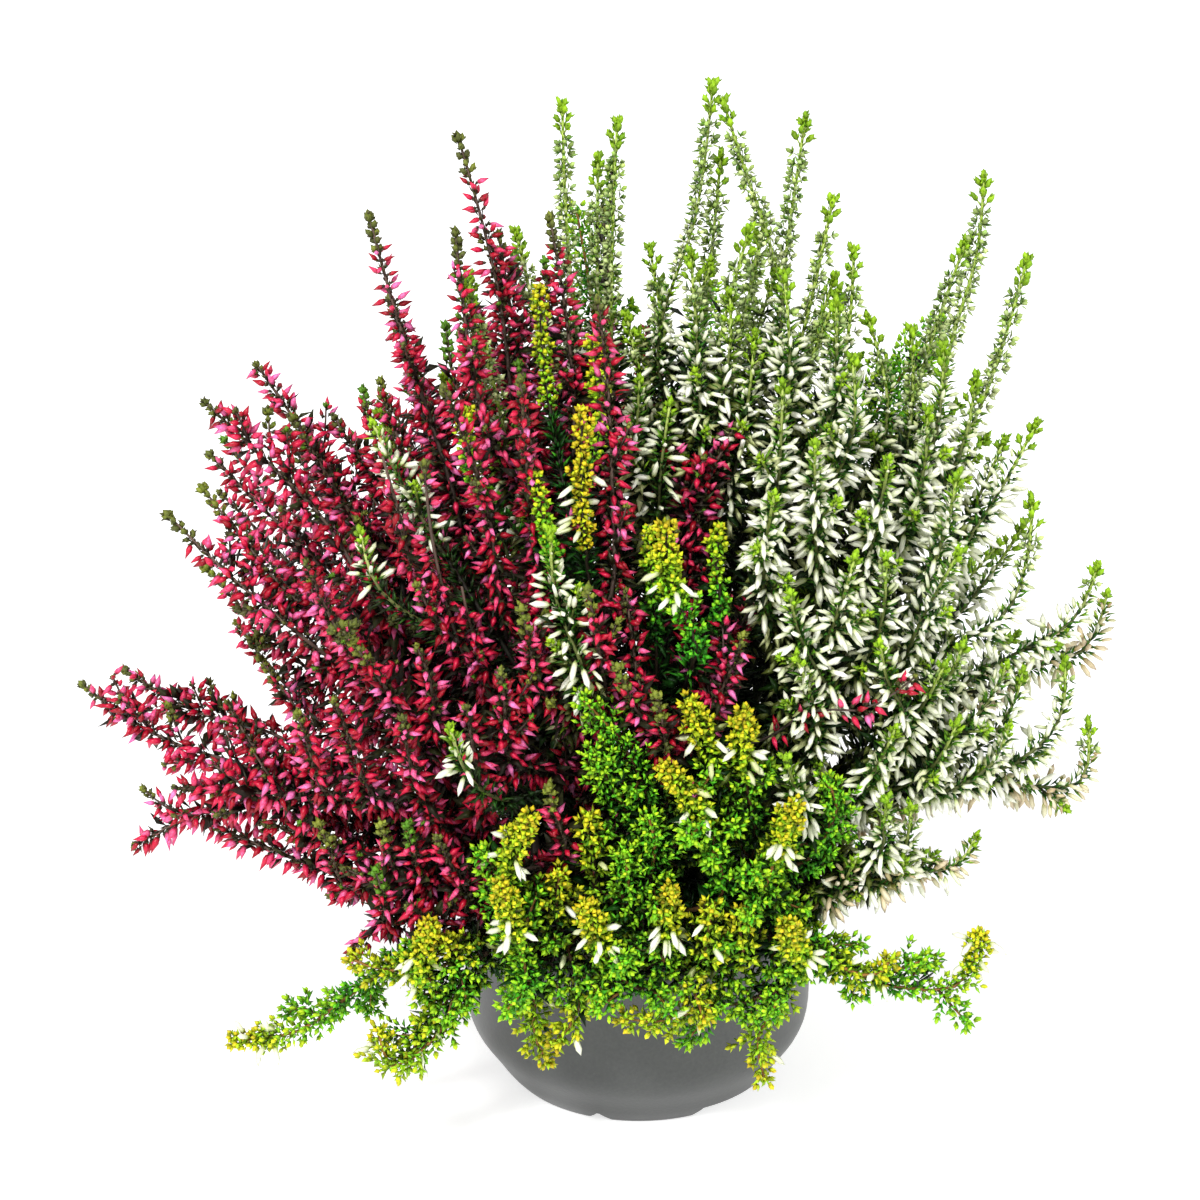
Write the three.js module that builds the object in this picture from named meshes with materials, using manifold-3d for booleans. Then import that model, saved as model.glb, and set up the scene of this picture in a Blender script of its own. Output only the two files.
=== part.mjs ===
// A potted heather: crimson, white and golden bud-flowering heathers planted together in one grey plastic bowl.
// Millimetres, +Z up. The bowl stands on z = 0, and the origin is the middle of the whole plant's box at that level,
// so the bowl's own axis stands a little to the right of it (BOWL_AXIS). -Y is the front.
//
// Each branch is one grown piece: a woody stem that leaves the soil, and the flowering shoots that fork from it.
import * as THREE from "three";
import { mergeVertices } from "three/addons/utils/BufferGeometryUtils.js";
import Module from "manifold-3d";

// ---- driving dimensions --------------------------------------------------------
const BOWL_AXIS = [14.02, -4.09]; // x, y of the bowl's axis
const BOWL_SEGMENTS = 36;
const SOIL_SEGMENTS = 36;
const BOWL_HEIGHT = 62;
const FOOT_OUTER_R = 42.3; // foot ring
const FOOT_INNER_R = 39.2;
const FLOOR_UNDER = 4.6; // underside of the floor above the surface it stands on
const FLOOR_TOP = 6.6;
const RIM_R = 59.2;
const SOIL_TOP = 56;
const SOIL_GAP = 0.4; // between the soil and the bowl
const DRAIN_HOLE_R = 3.2;
const DRAIN_HOLE_CIRCLE_R = 21;
const DRAIN_HOLES = 4;
// Notches in the foot ring: angle of the middle from the front (-Y) towards +X, width at the bottom and at the top, height
const FOOT_NOTCHES = [
  { at: -17, bottom: 12, top: 1.2, height: 3.7 },
  { at: 163, bottom: 12, top: 1.2, height: 3.7 },
  { at: 48, bottom: 49, top: 41, height: 4.2 },
  { at: 228, bottom: 49, top: 41, height: 4.2 },
];
const STEM_SIDES = 6;
const SHOOT_SIDES = 5;
const STEM_RADII = [1.7, 1.55, 1.3]; // from the soil up
// A shoot with its scale leaves: [place along it, radius]; it ends in a pointed tip
const SHOOT_RADII = [[0, 0.95], [0.25, 1.2], [0.55, 1.65], [0.85, 1.85], [1, 0.6]];

// Radius and height of the bowl's wall: up the outside, over the rolled rim, and down the inside
const BOWL_PROFILE = [
  [0, FLOOR_UNDER], [36.9, FLOOR_UNDER], [FOOT_INNER_R, 0], [FOOT_OUTER_R, 0], [45.2, 3], [48.8, 8.5],
  [51.4, 12], [54.3, 16.2], [56.1, 20.5], [56.9, 26], [57.5, 56.6], [RIM_R, 57.8], [RIM_R, 60.8], [58.2, BOWL_HEIGHT],
  [56.6, BOWL_HEIGHT], [55.6, 60.8], [54.8, 26.6], [54, 21.6], [52.3, 17.7], [49.6, 13.7], [46.2, 9.4], [41.5, FLOOR_TOP],
  [0, FLOOR_TOP],
];
const SOIL_PROFILE = [
  [0, FLOOR_TOP + SOIL_GAP], [41.2, FLOOR_TOP + SOIL_GAP], [45.8, 9.8], [49.1, 14], [51.8, 18.1], [53.5, 22],
  [54.3, 26.8], [54.9, SOIL_TOP - 0.8], [54, SOIL_TOP], [0, SOIL_TOP],
];

// The branches: the stem's points from the soil up, and for each shoot the place on the stem where it forks
// (0 at the soil, 1 at the stem's end), its thickness, and its points from the fork to the tip.
const BRANCHES = [
  { name: "crimson_branch_01", stem: [[7.17, -9.63, 56.4], [11.47, -17.8, 107.95], [19.66, -33.35, 157.19]], stemScale: 1.0, shoots: [
    { at: 0.3, scale: 0.78, path: [[9.75, -14.53, 87.33], [13.92, -23.4, 108.02], [18.08, -36.65, 126.09], [21.59, -55.16, 139.47], [28.49, -66.58, 156.22], [41.16, -60.06, 174.33], [51.6, -56.09, 194.63]] },
    { at: 0.97, scale: 1.0, path: [[19.17, -32.42, 154.24], [23.68, -38.98, 175.19], [29.32, -41.88, 196.58], [33.87, -40.11, 218.32], [43.17, -36.09, 237.87]] },
    { at: 0.6, scale: 0.92, path: [[13.11, -20.91, 117.79], [18.05, -29.04, 145.97], [24.44, -35.8, 174.28], [28.83, -39.17, 203.18], [22.84, -35.07, 231.54]] },
  ] },
  { name: "crimson_branch_02", stem: [[10.72, 21.36, 56.4], [15.01, 27.82, 74.43], [22.1, 38.48, 89.26]], stemScale: 1.0, shoots: [
    { at: 0.97, scale: 1.0, path: [[21.67, 37.84, 88.37], [31.14, 53.08, 100.89], [38, 68.38, 115.04], [44.1, 83.39, 129.84], [49.79, 98.23, 144.97]] },
  ] },
  { name: "crimson_branch_03", stem: [[0.53, 23.88, 56.4], [-0.5, 27.79, 91.68], [-2.51, 35.43, 126.27]], stemScale: 1.0, shoots: [
    { at: 0.97, scale: 1.0, path: [[-2.39, 34.97, 124.2], [-6.23, 34.51, 149.24], [-10.18, 43.24, 173.12], [-13.56, 54.63, 196.21], [-17.13, 63.85, 220.21], [-20.76, 72.09, 244.57]] },
    { at: 0.78, scale: 1.0, path: [[-1.62, 32.07, 111.05], [4.4, 35.81, 136.5], [14.38, 42.29, 160.01], [16.6, 54.65, 184.25], [17.68, 65.96, 209.06], [17.67, 76.45, 234.26]] },
    { at: 0.54, scale: 1.0, path: [[-0.66, 28.4, 94.45], [-10.54, 33.2, 129.26], [-25.71, 39.77, 161.93], [-35.33, 53.49, 195.08], [-45.2, 70.24, 226.75]] },
    { at: 0.66, scale: 1.0, path: [[-1.14, 30.24, 102.75], [-1.33, 42.3, 136.22], [-2.82, 60.38, 167.01], [-5.61, 78.48, 197.72], [-8.83, 95.82, 228.83]] },
    { at: 0.42, scale: 1.0, path: [[-0.34, 27.17, 86.03], [-9.08, 39.37, 120.76], [-22.95, 58.97, 150.39], [-31.87, 79.98, 181.21], [-41.56, 99.18, 212.97]] },
    { at: 0.3, scale: 1.0, path: [[-0.09, 26.23, 77.57], [2.65, 38.37, 111.48], [10.68, 58.91, 140.39], [13.81, 81.23, 169.04], [10.18, 100.53, 199.72]] },
  ] },
  { name: "crimson_branch_04", stem: [[-12.71, 23.92, 56.4], [-13.96, 28.83, 77.87], [-16.28, 37.91, 97.79]], stemScale: 1.0, shoots: [
    { at: 0.97, scale: 1.0, path: [[-16.14, 37.36, 96.6], [-22.44, 40.22, 114.04], [-33.58, 43.14, 128.77], [-43.11, 53.99, 142.18], [-51.9, 64.78, 156.14], [-58.64, 73.26, 172.56], [-64.01, 80.54, 190.07]] },
    { at: 0.78, scale: 1.0, path: [[-15.26, 33.91, 89.03], [-13.48, 41.57, 106.32], [-7.35, 50.43, 121.33], [-9.78, 65.18, 133.5], [-13.06, 78, 147.45], [-16.66, 87.04, 164.09], [-20.39, 95.31, 181.11]] },
    { at: 0.66, scale: 1.0, path: [[-14.7, 31.74, 84.25], [-23.53, 47.47, 106.24], [-36.08, 64.14, 126.36], [-46.97, 81.86, 146.53], [-55.99, 101.15, 166.2]] },
    { at: 0.54, scale: 1.0, path: [[-14.15, 29.56, 79.46], [-11.38, 40.2, 95.21], [1.33, 53.33, 102.01], [3.67, 68.87, 113.78], [3.13, 84, 126.39], [1.22, 97.73, 140.36], [-2.23, 110.1, 155.31]] },
    { at: 0.42, scale: 1.0, path: [[-13.76, 28.04, 74.44], [-23.77, 35.93, 92.31], [-41.78, 43.05, 103.96], [-55.54, 55.21, 117.55], [-66.74, 67.61, 133.15], [-77.06, 80.11, 149.29]] },
    { at: 0.3, scale: 1.0, path: [[-13.46, 26.86, 69.28], [-13.34, 41.41, 89.51], [-13.92, 59.86, 106.74], [-20.2, 77.32, 123.65], [-31.59, 93.2, 139.67]] },
  ] },
  { name: "crimson_branch_05", stem: [[1.24, 2.62, 56.4], [-0.28, 4.87, 104.53], [-3.3, 9.35, 152.42]], stemScale: 1.0, shoots: [
    { at: 0.97, scale: 0.88, path: [[-3.12, 9.08, 149.55], [2.43, 7.64, 179.42], [5.13, 9.42, 210.48], [3.66, 13.99, 242.07], [3.86, 16.97, 273.88], [5.18, 18.83, 305.78]] },
    { at: 0.78, scale: 1.0, path: [[-1.97, 7.38, 131.35], [-9.14, 1.55, 169.33], [-17.58, -0.58, 208.1], [-24.25, 1.79, 247.67], [-30.15, 1.63, 287.42]] },
    { at: 0.54, scale: 1.0, path: [[-0.52, 5.23, 108.36], [-3.22, 8.12, 149.8], [-7.15, 10.08, 191.19], [-12.22, 13.79, 232.34], [-16.18, 21.06, 273.14]] },
    { at: 0.42, scale: 1.0, path: [[-0.04, 4.51, 96.83], [-6.39, 6.58, 140.79], [-20.01, 5.4, 183.09], [-27.88, 7.55, 226.91], [-41.85, 14.16, 268.75]] },
    { at: 0.3, scale: 1.0, path: [[0.33, 3.97, 85.28], [-4.01, 11.93, 131.89], [-12.36, 27.63, 175.94], [-24.71, 39.76, 220.22], [-26.42, 52.67, 265.9]] },
    { at: 0.66, scale: 1.0, path: [[-1.25, 6.3, 119.85], [-0.46, 17, 152.03], [4.78, 39.54, 177.17], [3.98, 53.76, 208.59], [3.17, 65.19, 241.14], [2.55, 74.61, 274.35]] },
  ] },
  { name: "crimson_branch_06", stem: [[-20.32, 16.46, 56.4], [-25.59, 18.29, 86.82], [-35.6, 21.76, 115.82]], stemScale: 1.0, shoots: [
    { at: 0.6, scale: 1.0, path: [[-27.59, 18.98, 92.62], [-34.53, 19.06, 118.09], [-41.62, 16.3, 142.81], [-56.65, 20.52, 164.31], [-69.28, 26.49, 186.86], [-79.5, 33.95, 210.24]] },
    { at: 0.75, scale: 1.0, path: [[-30.59, 20.02, 101.32], [-33.25, 26.25, 125.42], [-37, 37.19, 147.78], [-46.65, 47.77, 169.07], [-57.71, 56.76, 190.39], [-69.87, 64.61, 211.58]] },
    { at: 0.97, scale: 1.0, path: [[-35, 21.55, 114.08], [-48.2, 17.77, 129.52], [-65.35, 13.7, 141.42], [-79.34, 17.06, 158.6], [-93.13, 20.92, 175.86], [-107.12, 24.95, 192.91], [-121.07, 29.16, 209.95]] },
    { at: 0.45, scale: 1.0, path: [[-25.06, 18.1, 83.78], [-40.64, 24.64, 117.04], [-63.01, 37.17, 144.21], [-85.48, 50.68, 170.87], [-103.7, 61.16, 201.84]] },
    { at: 0.3, scale: 1.0, path: [[-23.48, 17.55, 74.65], [-36.34, 27.2, 103.47], [-53.9, 41.43, 127.93], [-72.84, 54.45, 152.12], [-90.95, 70.95, 174.83]] },
  ] },
  { name: "crimson_branch_07", stem: [[-8.83, 5.6, 56.4], [-12.86, 7.41, 95.52], [-20.75, 10.95, 133.89]], stemScale: 1.0, shoots: [
    { at: 0.75, scale: 1.0, path: [[-16.8, 9.18, 114.71], [-22.67, 7.61, 142.01], [-31.61, 3.88, 167.87], [-44.23, 7.86, 192.77], [-53.39, 9.86, 219.28], [-59.13, 9.92, 246.9]] },
    { at: 0.97, scale: 1.0, path: [[-20.28, 10.73, 131.59], [-31.26, 15.7, 163.11], [-43.32, 18.68, 194.65], [-55.09, 24.52, 225.84], [-66.52, 34.02, 256.3]] },
    { at: 0.6, scale: 1.0, path: [[-14.44, 8.12, 103.19], [-18.77, 16.49, 138.54], [-24.27, 30.38, 172.08], [-34.09, 41.73, 205.76], [-44.48, 48.96, 240.4]] },
    { at: 0.45, scale: 1.0, path: [[-12.46, 7.23, 91.61], [-23.14, 8.86, 126.51], [-39.82, 10.17, 159.03], [-56.13, 15.2, 191.46], [-69.81, 20.35, 225.08]] },
    { at: 0.3, scale: 1.0, path: [[-11.25, 6.69, 79.87], [-20.37, 12.39, 117.75], [-32.42, 23.67, 153.51], [-46.01, 36.71, 188.1], [-62.33, 42.79, 223.43]] },
  ] },
  { name: "crimson_branch_08", stem: [[-28.68, 10.11, 56.4], [-36.47, 10.68, 80.21], [-50.09, 11.68, 101.16]], stemScale: 1.0, shoots: [
    { at: 0.97, scale: 1.0, path: [[-49.27, 11.62, 99.91], [-57.89, 11.01, 110.55], [-69.59, 7.03, 115.48], [-82.21, 1.57, 116.26], [-94.13, 4.06, 121.03], [-102.92, 11.43, 128.74], [-110.88, 17.91, 138.04]] },
    { at: 0.66, scale: 1.0, path: [[-40.83, 11, 86.92], [-51.6, 7.48, 109.8], [-63.11, 1.17, 131.25], [-81.74, 0.54, 149.44], [-98.74, 3.16, 168.95], [-114.6, 8.01, 189.04]] },
    { at: 0.78, scale: 1.0, path: [[-44.1, 11.24, 91.94], [-59.54, 20.1, 118.43], [-80.41, 30.49, 140.92], [-102.32, 39.25, 163.14], [-124.89, 44.94, 185.71]] },
    { at: 0.54, scale: 1.0, path: [[-37.56, 10.76, 81.89], [-57.82, 9.61, 106.04], [-82.96, 13.78, 124.85], [-107.1, 18.92, 144.67], [-127.97, 22.47, 168.27]] },
    { at: 0.42, scale: 1.0, path: [[-35.22, 10.59, 76.4], [-47.01, 17.37, 95.77], [-59.6, 30.04, 111.59], [-76.29, 39.12, 126.53], [-92.72, 46.92, 142.43], [-109, 53.71, 158.95]] },
    { at: 0.3, scale: 1.0, path: [[-33.36, 10.45, 70.69], [-52.77, 13.86, 92.62], [-78.25, 22.37, 105], [-101.94, 29.91, 120.65], [-119.84, 34.04, 143.93]] },
  ] },
  { name: "crimson_branch_09", stem: [[-19.32, 5.35, 56.4], [-25.07, 3.78, 93.13], [-36.09, 0.75, 128.49]], stemScale: 1.0, shoots: [
    { at: 0.97, scale: 0.96, path: [[-35.43, 0.94, 126.37], [-44.26, -8.16, 146.68], [-57.61, -10.78, 167.28], [-71.08, -11.66, 188.22], [-83.25, -12.32, 210.08], [-94.81, -12.75, 232.39]] },
    { at: 0.3, scale: 1.0, path: [[-22.77, 4.41, 78.44], [-35.88, 2.86, 117.23], [-53.21, 4.57, 154.21], [-75.86, 6.14, 188.32], [-96.69, 12.22, 223.11]] },
  ] },
  { name: "crimson_branch_10", stem: [[-6.34, -4.64, 56.4], [-7.19, -7.39, 124.54], [-17.43, -12.7, 193.82]], stemScale: 1.0, shoots: [
    { at: 0.45, scale: 0.88, path: [[-7.1, -7.12, 117.73], [-14.35, -9.4, 168.23], [-24.17, -7.91, 218.32], [-30.16, -1.21, 268.46], [-42.57, 5.91, 317.19]] },
    { at: 0.97, scale: 1.0, path: [[-16.82, -12.38, 189.67], [-21.56, -16.33, 211.46], [-31.94, -27.38, 228.35], [-37.43, -26.03, 249.34], [-40.46, -20.91, 271.27], [-42.74, -16.09, 293.36]] },
    { at: 0.3, scale: 1.0, path: [[-6.85, -6.29, 97.29], [-11.01, -10.35, 147.12], [-7.35, -15.85, 196.74], [-7.2, -13.64, 245.82], [-14.28, -4.09, 294.62]] },
    { at: 0.75, scale: 0.88, path: [[-12.31, -10.05, 159.18], [-15.75, -11.12, 180.37], [-22.12, -11.28, 200.91], [-33, -10.76, 219.81], [-43.08, -8.37, 238.85], [-46.82, -0.06, 258.34]] },
    { at: 0.6, scale: 1.0, path: [[-9.24, -8.45, 138.4], [-12.32, -10.83, 161.49], [-15.24, -13.76, 184.52], [-17.77, -18.26, 207.25], [-20.29, -22.26, 230.04], [-24, -12.09, 249.8]] },
  ] },
  { name: "crimson_branch_11", stem: [[-28.09, -0.42, 56.4], [-38.23, -6.18, 107.77], [-57.04, -16.87, 155.68]], stemScale: 1.0, shoots: [
    { at: 0.54, scale: 1.0, path: [[-39.73, -7.03, 111.6], [-53.31, -11.08, 146.63], [-64.95, -6.23, 182.29], [-86.29, 0.74, 212.17], [-107.41, 7.91, 242.5]] },
    { at: 0.66, scale: 1.0, path: [[-44.25, -9.6, 123.1], [-53.42, -16.63, 146.25], [-61.37, -30.54, 166.32], [-70.7, -42.31, 186.36], [-84.72, -33.14, 205.87], [-102.92, -25.61, 222.65], [-121.71, -18.09, 238.78]] },
    { at: 0.42, scale: 1.0, path: [[-36.6, -5.26, 99.55], [-48.42, -10.77, 126.64], [-63.45, -14.46, 152.36], [-81.3, -16.13, 176.47], [-101.94, -8.71, 196.1], [-122.84, -0.09, 215.24]] },
    { at: 0.78, scale: 1.0, path: [[-48.76, -12.16, 134.6], [-57.4, -17.92, 152.44], [-68.95, -28.7, 165.21], [-82.28, -42.07, 173.48], [-97.11, -39.4, 185.3], [-110.07, -30.12, 198.29], [-123, -22.09, 212.24]] },
    { at: 0.3, scale: 1.0, path: [[-34.17, -3.87, 87.22], [-45.58, -11.63, 113.36], [-58.75, -23.88, 136.58], [-73.41, -42.08, 154.66], [-90.94, -50.89, 173.65], [-112.71, -37.19, 187.37], [-133.78, -26.09, 204.78]] },
    { at: 0.97, scale: 0.96, path: [[-55.91, -16.23, 152.81], [-60.2, -17.61, 166.35], [-61.39, -12.5, 179.2], [-61.36, -3.88, 190.62], [-67.56, -0.02, 202.7], [-75.91, 1.57, 214.27], [-82.97, 3.91, 226.55]] },
  ] },
  { name: "crimson_branch_12", stem: [[-16.99, -5.84, 56.4], [-25.16, -8.69, 121.1], [-41.02, -14.22, 184.12]], stemScale: 1.0, shoots: [
    { at: 0.97, scale: 1.0, path: [[-40.07, -13.88, 180.34], [-45.4, -13.7, 209.39], [-54.1, -8.32, 236.96], [-62.78, -2.22, 264.63], [-70.38, 3.91, 292.63]] },
    { at: 0.6, scale: 1.0, path: [[-28.33, -9.79, 133.71], [-36.2, -12.37, 162.1], [-46.36, -15.48, 189.69], [-58.2, -18.03, 216.64], [-67.43, -8.09, 242.58]] },
    { at: 0.3, scale: 1.0, path: [[-21.89, -7.55, 95.22], [-30.29, -10.81, 126.1], [-39.77, -15.13, 156.51], [-51.46, -22.08, 185.65], [-63.74, -28.2, 214.7], [-72.12, -18.09, 243.34]] },
  ] },
  { name: "crimson_branch_13", stem: [[-30.5, -10.64, 56.4], [-45.6, -16.11, 88.25], [-70.43, -25.1, 112.09]], stemScale: 1.0, shoots: [
    { at: 0.97, scale: 1.0, path: [[-68.94, -24.56, 110.66], [-82.96, -32.78, 120.64], [-96.22, -46.11, 122.46], [-114.07, -40.02, 125.91], [-131.98, -33.21, 128.63], [-148.69, -26.66, 135.1], [-164.08, -20.09, 144.72]] },
    { at: 0.3, scale: 1.0, path: [[-39.56, -13.92, 75.51], [-59.43, -19.9, 94.11], [-80.07, -22.44, 112.65], [-103.36, -19.97, 126.78], [-129.36, -10.73, 130.47], [-152.98, -2.09, 141.91]] },
  ] },
  { name: "crimson_branch_14", stem: [[-27.77, -20.78, 56.4], [-41.11, -29.03, 84.62], [-62.96, -42.55, 104.03]], stemScale: 1.0, shoots: [
    { at: 0.6, scale: 1.0, path: [[-45.48, -31.74, 88.5], [-62.91, -41.52, 101.97], [-82.94, -50.48, 111.88], [-105.79, -48.47, 115.36], [-127.88, -43.05, 107.98], [-147.76, -38.09, 95.24]] },
    { at: 0.75, scale: 1.0, path: [[-52.03, -35.79, 94.33], [-65.6, -44.57, 105.76], [-79.63, -54.11, 116.01], [-95.17, -62.46, 124.65], [-113.63, -56.16, 123.53], [-132.62, -50.09, 121.5]] },
    { at: 0.3, scale: 1.0, path: [[-35.77, -25.73, 73.33], [-48.04, -34.93, 82.83], [-58.28, -49.16, 86.79], [-73.65, -52.58, 89.4], [-90.42, -47.91, 93.98], [-107.31, -44, 99.06], [-123.92, -40.09, 104.99]] },
    { at: 0.97, scale: 1.0, path: [[-61.65, -41.74, 102.86], [-75.28, -48.92, 114.18], [-91, -54.74, 123.45], [-104.83, -53.96, 135.85], [-114.9, -50.09, 151.54]] },
    { at: 0.45, scale: 1.0, path: [[-39.78, -28.21, 81.8], [-51.05, -35.38, 90.81], [-63.01, -43.78, 97.44], [-75.41, -53.32, 101.28], [-89.08, -55.91, 107.66], [-104.44, -54.09, 111.63]] },
  ] },
  { name: "crimson_branch_15", stem: [[-18.29, -16.26, 56.4], [-28.57, -28.14, 81.03], [-45.23, -47.4, 95.16]], stemScale: 1.0, shoots: [
    { at: 0.97, scale: 1.0, path: [[-44.23, -46.25, 94.31], [-49.57, -53.12, 98.76], [-53.4, -61.28, 102.37], [-57.2, -69.78, 104.5], [-65.7, -70.13, 100.43], [-74.24, -68.78, 95.93], [-83.36, -68.09, 92.46]] },
    { at: 0.3, scale: 1.0, path: [[-24.46, -23.39, 71.18], [-33.14, -34.31, 78.74], [-40.84, -46.08, 86.03], [-45.96, -59.17, 93.37], [-53.5, -71.94, 97.21], [-65.45, -74.51, 87.41], [-77.19, -78.09, 77.38]] },
    { at: 0.6, scale: 1.0, path: [[-31.91, -31.99, 83.85], [-41.1, -41.21, 89.82], [-52.2, -49.37, 93.09], [-65.16, -55.19, 91.43], [-78.19, -60.64, 91.47], [-82.13, -63.16, 104.51], [-85.89, -66.09, 118.01]] },
  ] },
  { name: "crimson_branch_16", stem: [[-21.41, -29.13, 56.4], [-30.44, -39.64, 93.22], [-45.76, -57.46, 124.67]], stemScale: 1.0, shoots: [
    { at: 0.78, scale: 1.0, path: [[-39.02, -49.62, 110.83], [-47.85, -60.06, 129.89], [-55.31, -69.66, 149.95], [-63.8, -79.59, 169.37], [-72.44, -90.18, 188.39]] },
    { at: 0.3, scale: 1.0, path: [[-26.83, -35.44, 78.49], [-37.78, -50.01, 100.73], [-47.61, -69.99, 118.81], [-54.43, -86.34, 140.57], [-57.41, -96.97, 167.09]] },
    { at: 0.66, scale: 1.0, path: [[-35.35, -45.34, 103.28], [-43.65, -53.07, 115.8], [-56.22, -60.62, 123.33], [-71.68, -67.02, 124.93], [-83.9, -73.87, 132.44], [-86.61, -79.49, 147.92], [-89.86, -85.66, 163.1]] },
    { at: 0.54, scale: 1.0, path: [[-31.67, -41.06, 95.74], [-41.07, -51.46, 111.4], [-54.46, -63.93, 121.37], [-68.04, -76.24, 131.14], [-73.27, -82.88, 150.4], [-78.28, -90.14, 169.62]] },
    { at: 0.42, scale: 1.0, path: [[-29, -37.96, 87.33], [-35.95, -49.48, 104.7], [-36.54, -65.48, 119.36], [-33.59, -82.85, 132.42], [-36.23, -91.84, 151.99], [-38.21, -100.76, 171.99]] },
    { at: 0.97, scale: 1.0, path: [[-44.84, -56.39, 122.79], [-55.64, -65.68, 143.71], [-69, -66.23, 165.11], [-79.35, -71.28, 187.22], [-86.18, -80.15, 209.94]] },
  ] },
  { name: "crimson_branch_17", stem: [[-7.87, -15.03, 56.4], [-11.85, -25.96, 110.27], [-19.3, -46.38, 160.81]], stemScale: 1.0, shoots: [
    { at: 0.6, scale: 1.0, path: [[-13.34, -30.05, 120.38], [-14.55, -42.47, 147.62], [-5.57, -59.09, 170.55], [4.91, -70.23, 194.85], [5.07, -60.87, 223.23], [4.04, -53.51, 252.29], [0.5, -46.09, 281.13]] },
    { at: 0.3, scale: 1.0, path: [[-10.26, -21.59, 88.72], [-16.28, -35.44, 120.03], [-26.8, -52.63, 148.23], [-39.7, -70.25, 175.16], [-47.53, -75.86, 208.38], [-50.18, -82.56, 242.35]] },
    { at: 0.45, scale: 1.0, path: [[-11.46, -24.87, 104.88], [-17.88, -41.7, 143.88], [-27.84, -61.39, 180.62], [-32.39, -67.77, 222.35], [-44.9, -74.42, 262.75]] },
    { at: 0.97, scale: 1.0, path: [[-18.86, -45.15, 157.78], [-24.84, -52.98, 176.14], [-40.15, -60.08, 188.4], [-54.35, -66.86, 202.02], [-58.54, -72.61, 222.26], [-62.69, -78.64, 242.49]] },
    { at: 0.75, scale: 1.0, path: [[-15.58, -36.17, 135.54], [-18.61, -49.33, 167.35], [-16.69, -63.29, 198.89], [-20.03, -70.07, 232.54], [-21.87, -76.84, 266.39]] },
  ] },
  { name: "crimson_branch_18", stem: [[-11.03, -27.54, 56.4], [-18.73, -39.93, 80.27], [-31.27, -60.09, 94.91]], stemScale: 1.0, shoots: [
    { at: 0.97, scale: 1.0, path: [[-30.51, -58.88, 94.03], [-37.08, -66.6, 100.03], [-46.75, -72.28, 102.65], [-57.86, -76.24, 102.92], [-62.52, -82.19, 110.76], [-63.28, -88.19, 120.9], [-64.87, -94.53, 130.82]] },
    { at: 0.66, scale: 1.0, path: [[-22.74, -46.38, 84.95], [-30.82, -58.28, 92.89], [-41.17, -69.65, 98.59], [-52.37, -80.39, 103.94], [-55.05, -88.59, 117.71], [-56.6, -96.95, 131.97]] },
    { at: 0.54, scale: 1.0, path: [[-19.74, -41.55, 81.44], [-27.86, -52.68, 88.28], [-38.48, -63.01, 91.43], [-51.35, -71.01, 88.86], [-63.73, -79.51, 88.66], [-64.97, -86.38, 102.04], [-66.75, -94.09, 115.22]] },
    { at: 0.78, scale: 1.0, path: [[-25.75, -51.22, 88.47], [-29.76, -62.98, 97.02], [-23.6, -73.81, 104.57], [-12.88, -82.55, 110.66], [-8.91, -90.97, 121.43], [-12.29, -97.25, 134.71], [-13.76, -104.37, 147.97]] },
    { at: 0.42, scale: 1.0, path: [[-17.5, -37.95, 76.45], [-25.18, -51.58, 85.31], [-31.11, -67.34, 91.32], [-36.51, -82.94, 97.84], [-43.14, -90.19, 112.77], [-47.9, -98.09, 128.2]] },
    { at: 0.3, scale: 1.0, path: [[-15.65, -34.98, 70.72], [-23.42, -47.13, 78.52], [-31.89, -60.17, 83.39], [-40.81, -73.78, 85.06], [-49.14, -84.55, 92.95], [-57.91, -94.09, 102.72]] },
  ] },
  { name: "crimson_branch_19", stem: [[-1.42, -23.32, 56.4], [0.99, -34.83, 95.65], [1.24, -55.96, 131.53]], stemScale: 1.0, shoots: [
    { at: 0.97, scale: 1.0, path: [[1.22, -54.69, 129.38], [0.37, -64.66, 144.36], [-7.51, -74.63, 156.99], [-16.18, -83.63, 170.05], [-19.3, -91.07, 186.56], [-21.75, -98.85, 203.11]] },
    { at: 0.8, scale: 1.0, path: [[1.14, -47.51, 117.18], [2.54, -62.09, 139.51], [3.82, -79.12, 160.05], [1.12, -89.4, 184.36], [-2.41, -98.81, 209.08]] },
    { at: 0.7, scale: 1.0, path: [[1.09, -43.28, 110], [2.85, -52.93, 124.2], [6.97, -64.07, 136.52], [14.53, -76.75, 145.39], [17.41, -88.46, 156.84], [10.3, -95.01, 171.04], [6.38, -102.69, 185.97]] },
    { at: 0.4, scale: 1.0, path: [[0.51, -32.53, 87.8], [2.88, -45.85, 107.67], [9.03, -61.37, 124.69], [19.06, -78.65, 137.91], [20.86, -92.37, 156.06], [17.58, -103.18, 177.22]] },
    { at: 0.5, scale: 1.0, path: [[0.99, -34.83, 95.65], [5.65, -50.65, 120.62], [21.25, -66.14, 140.56], [35.94, -78.37, 163.03], [44.14, -88.09, 190.09]] },
    { at: 0.6, scale: 1.0, path: [[1.04, -39.05, 102.83], [0.22, -49.99, 118.33], [-5.62, -62, 131.27], [-17.21, -74.52, 139.29], [-27.03, -86.33, 149.68], [-26.92, -93.19, 167.03], [-28.04, -101.09, 184.01]] },
    { at: 0.3, scale: 1.0, path: [[0.03, -30.23, 79.95], [0.53, -40.55, 99.61], [-0.57, -48.24, 120.49], [-2.37, -56.12, 141.21], [-6.66, -65.91, 160.63]] },
  ] },
  { name: "white_branch_01", stem: [[33.87, -26.78, 56.4], [41.18, -37.35, 99.35], [54.19, -56.16, 137.79]], stemScale: 1.0, shoots: [
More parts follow.
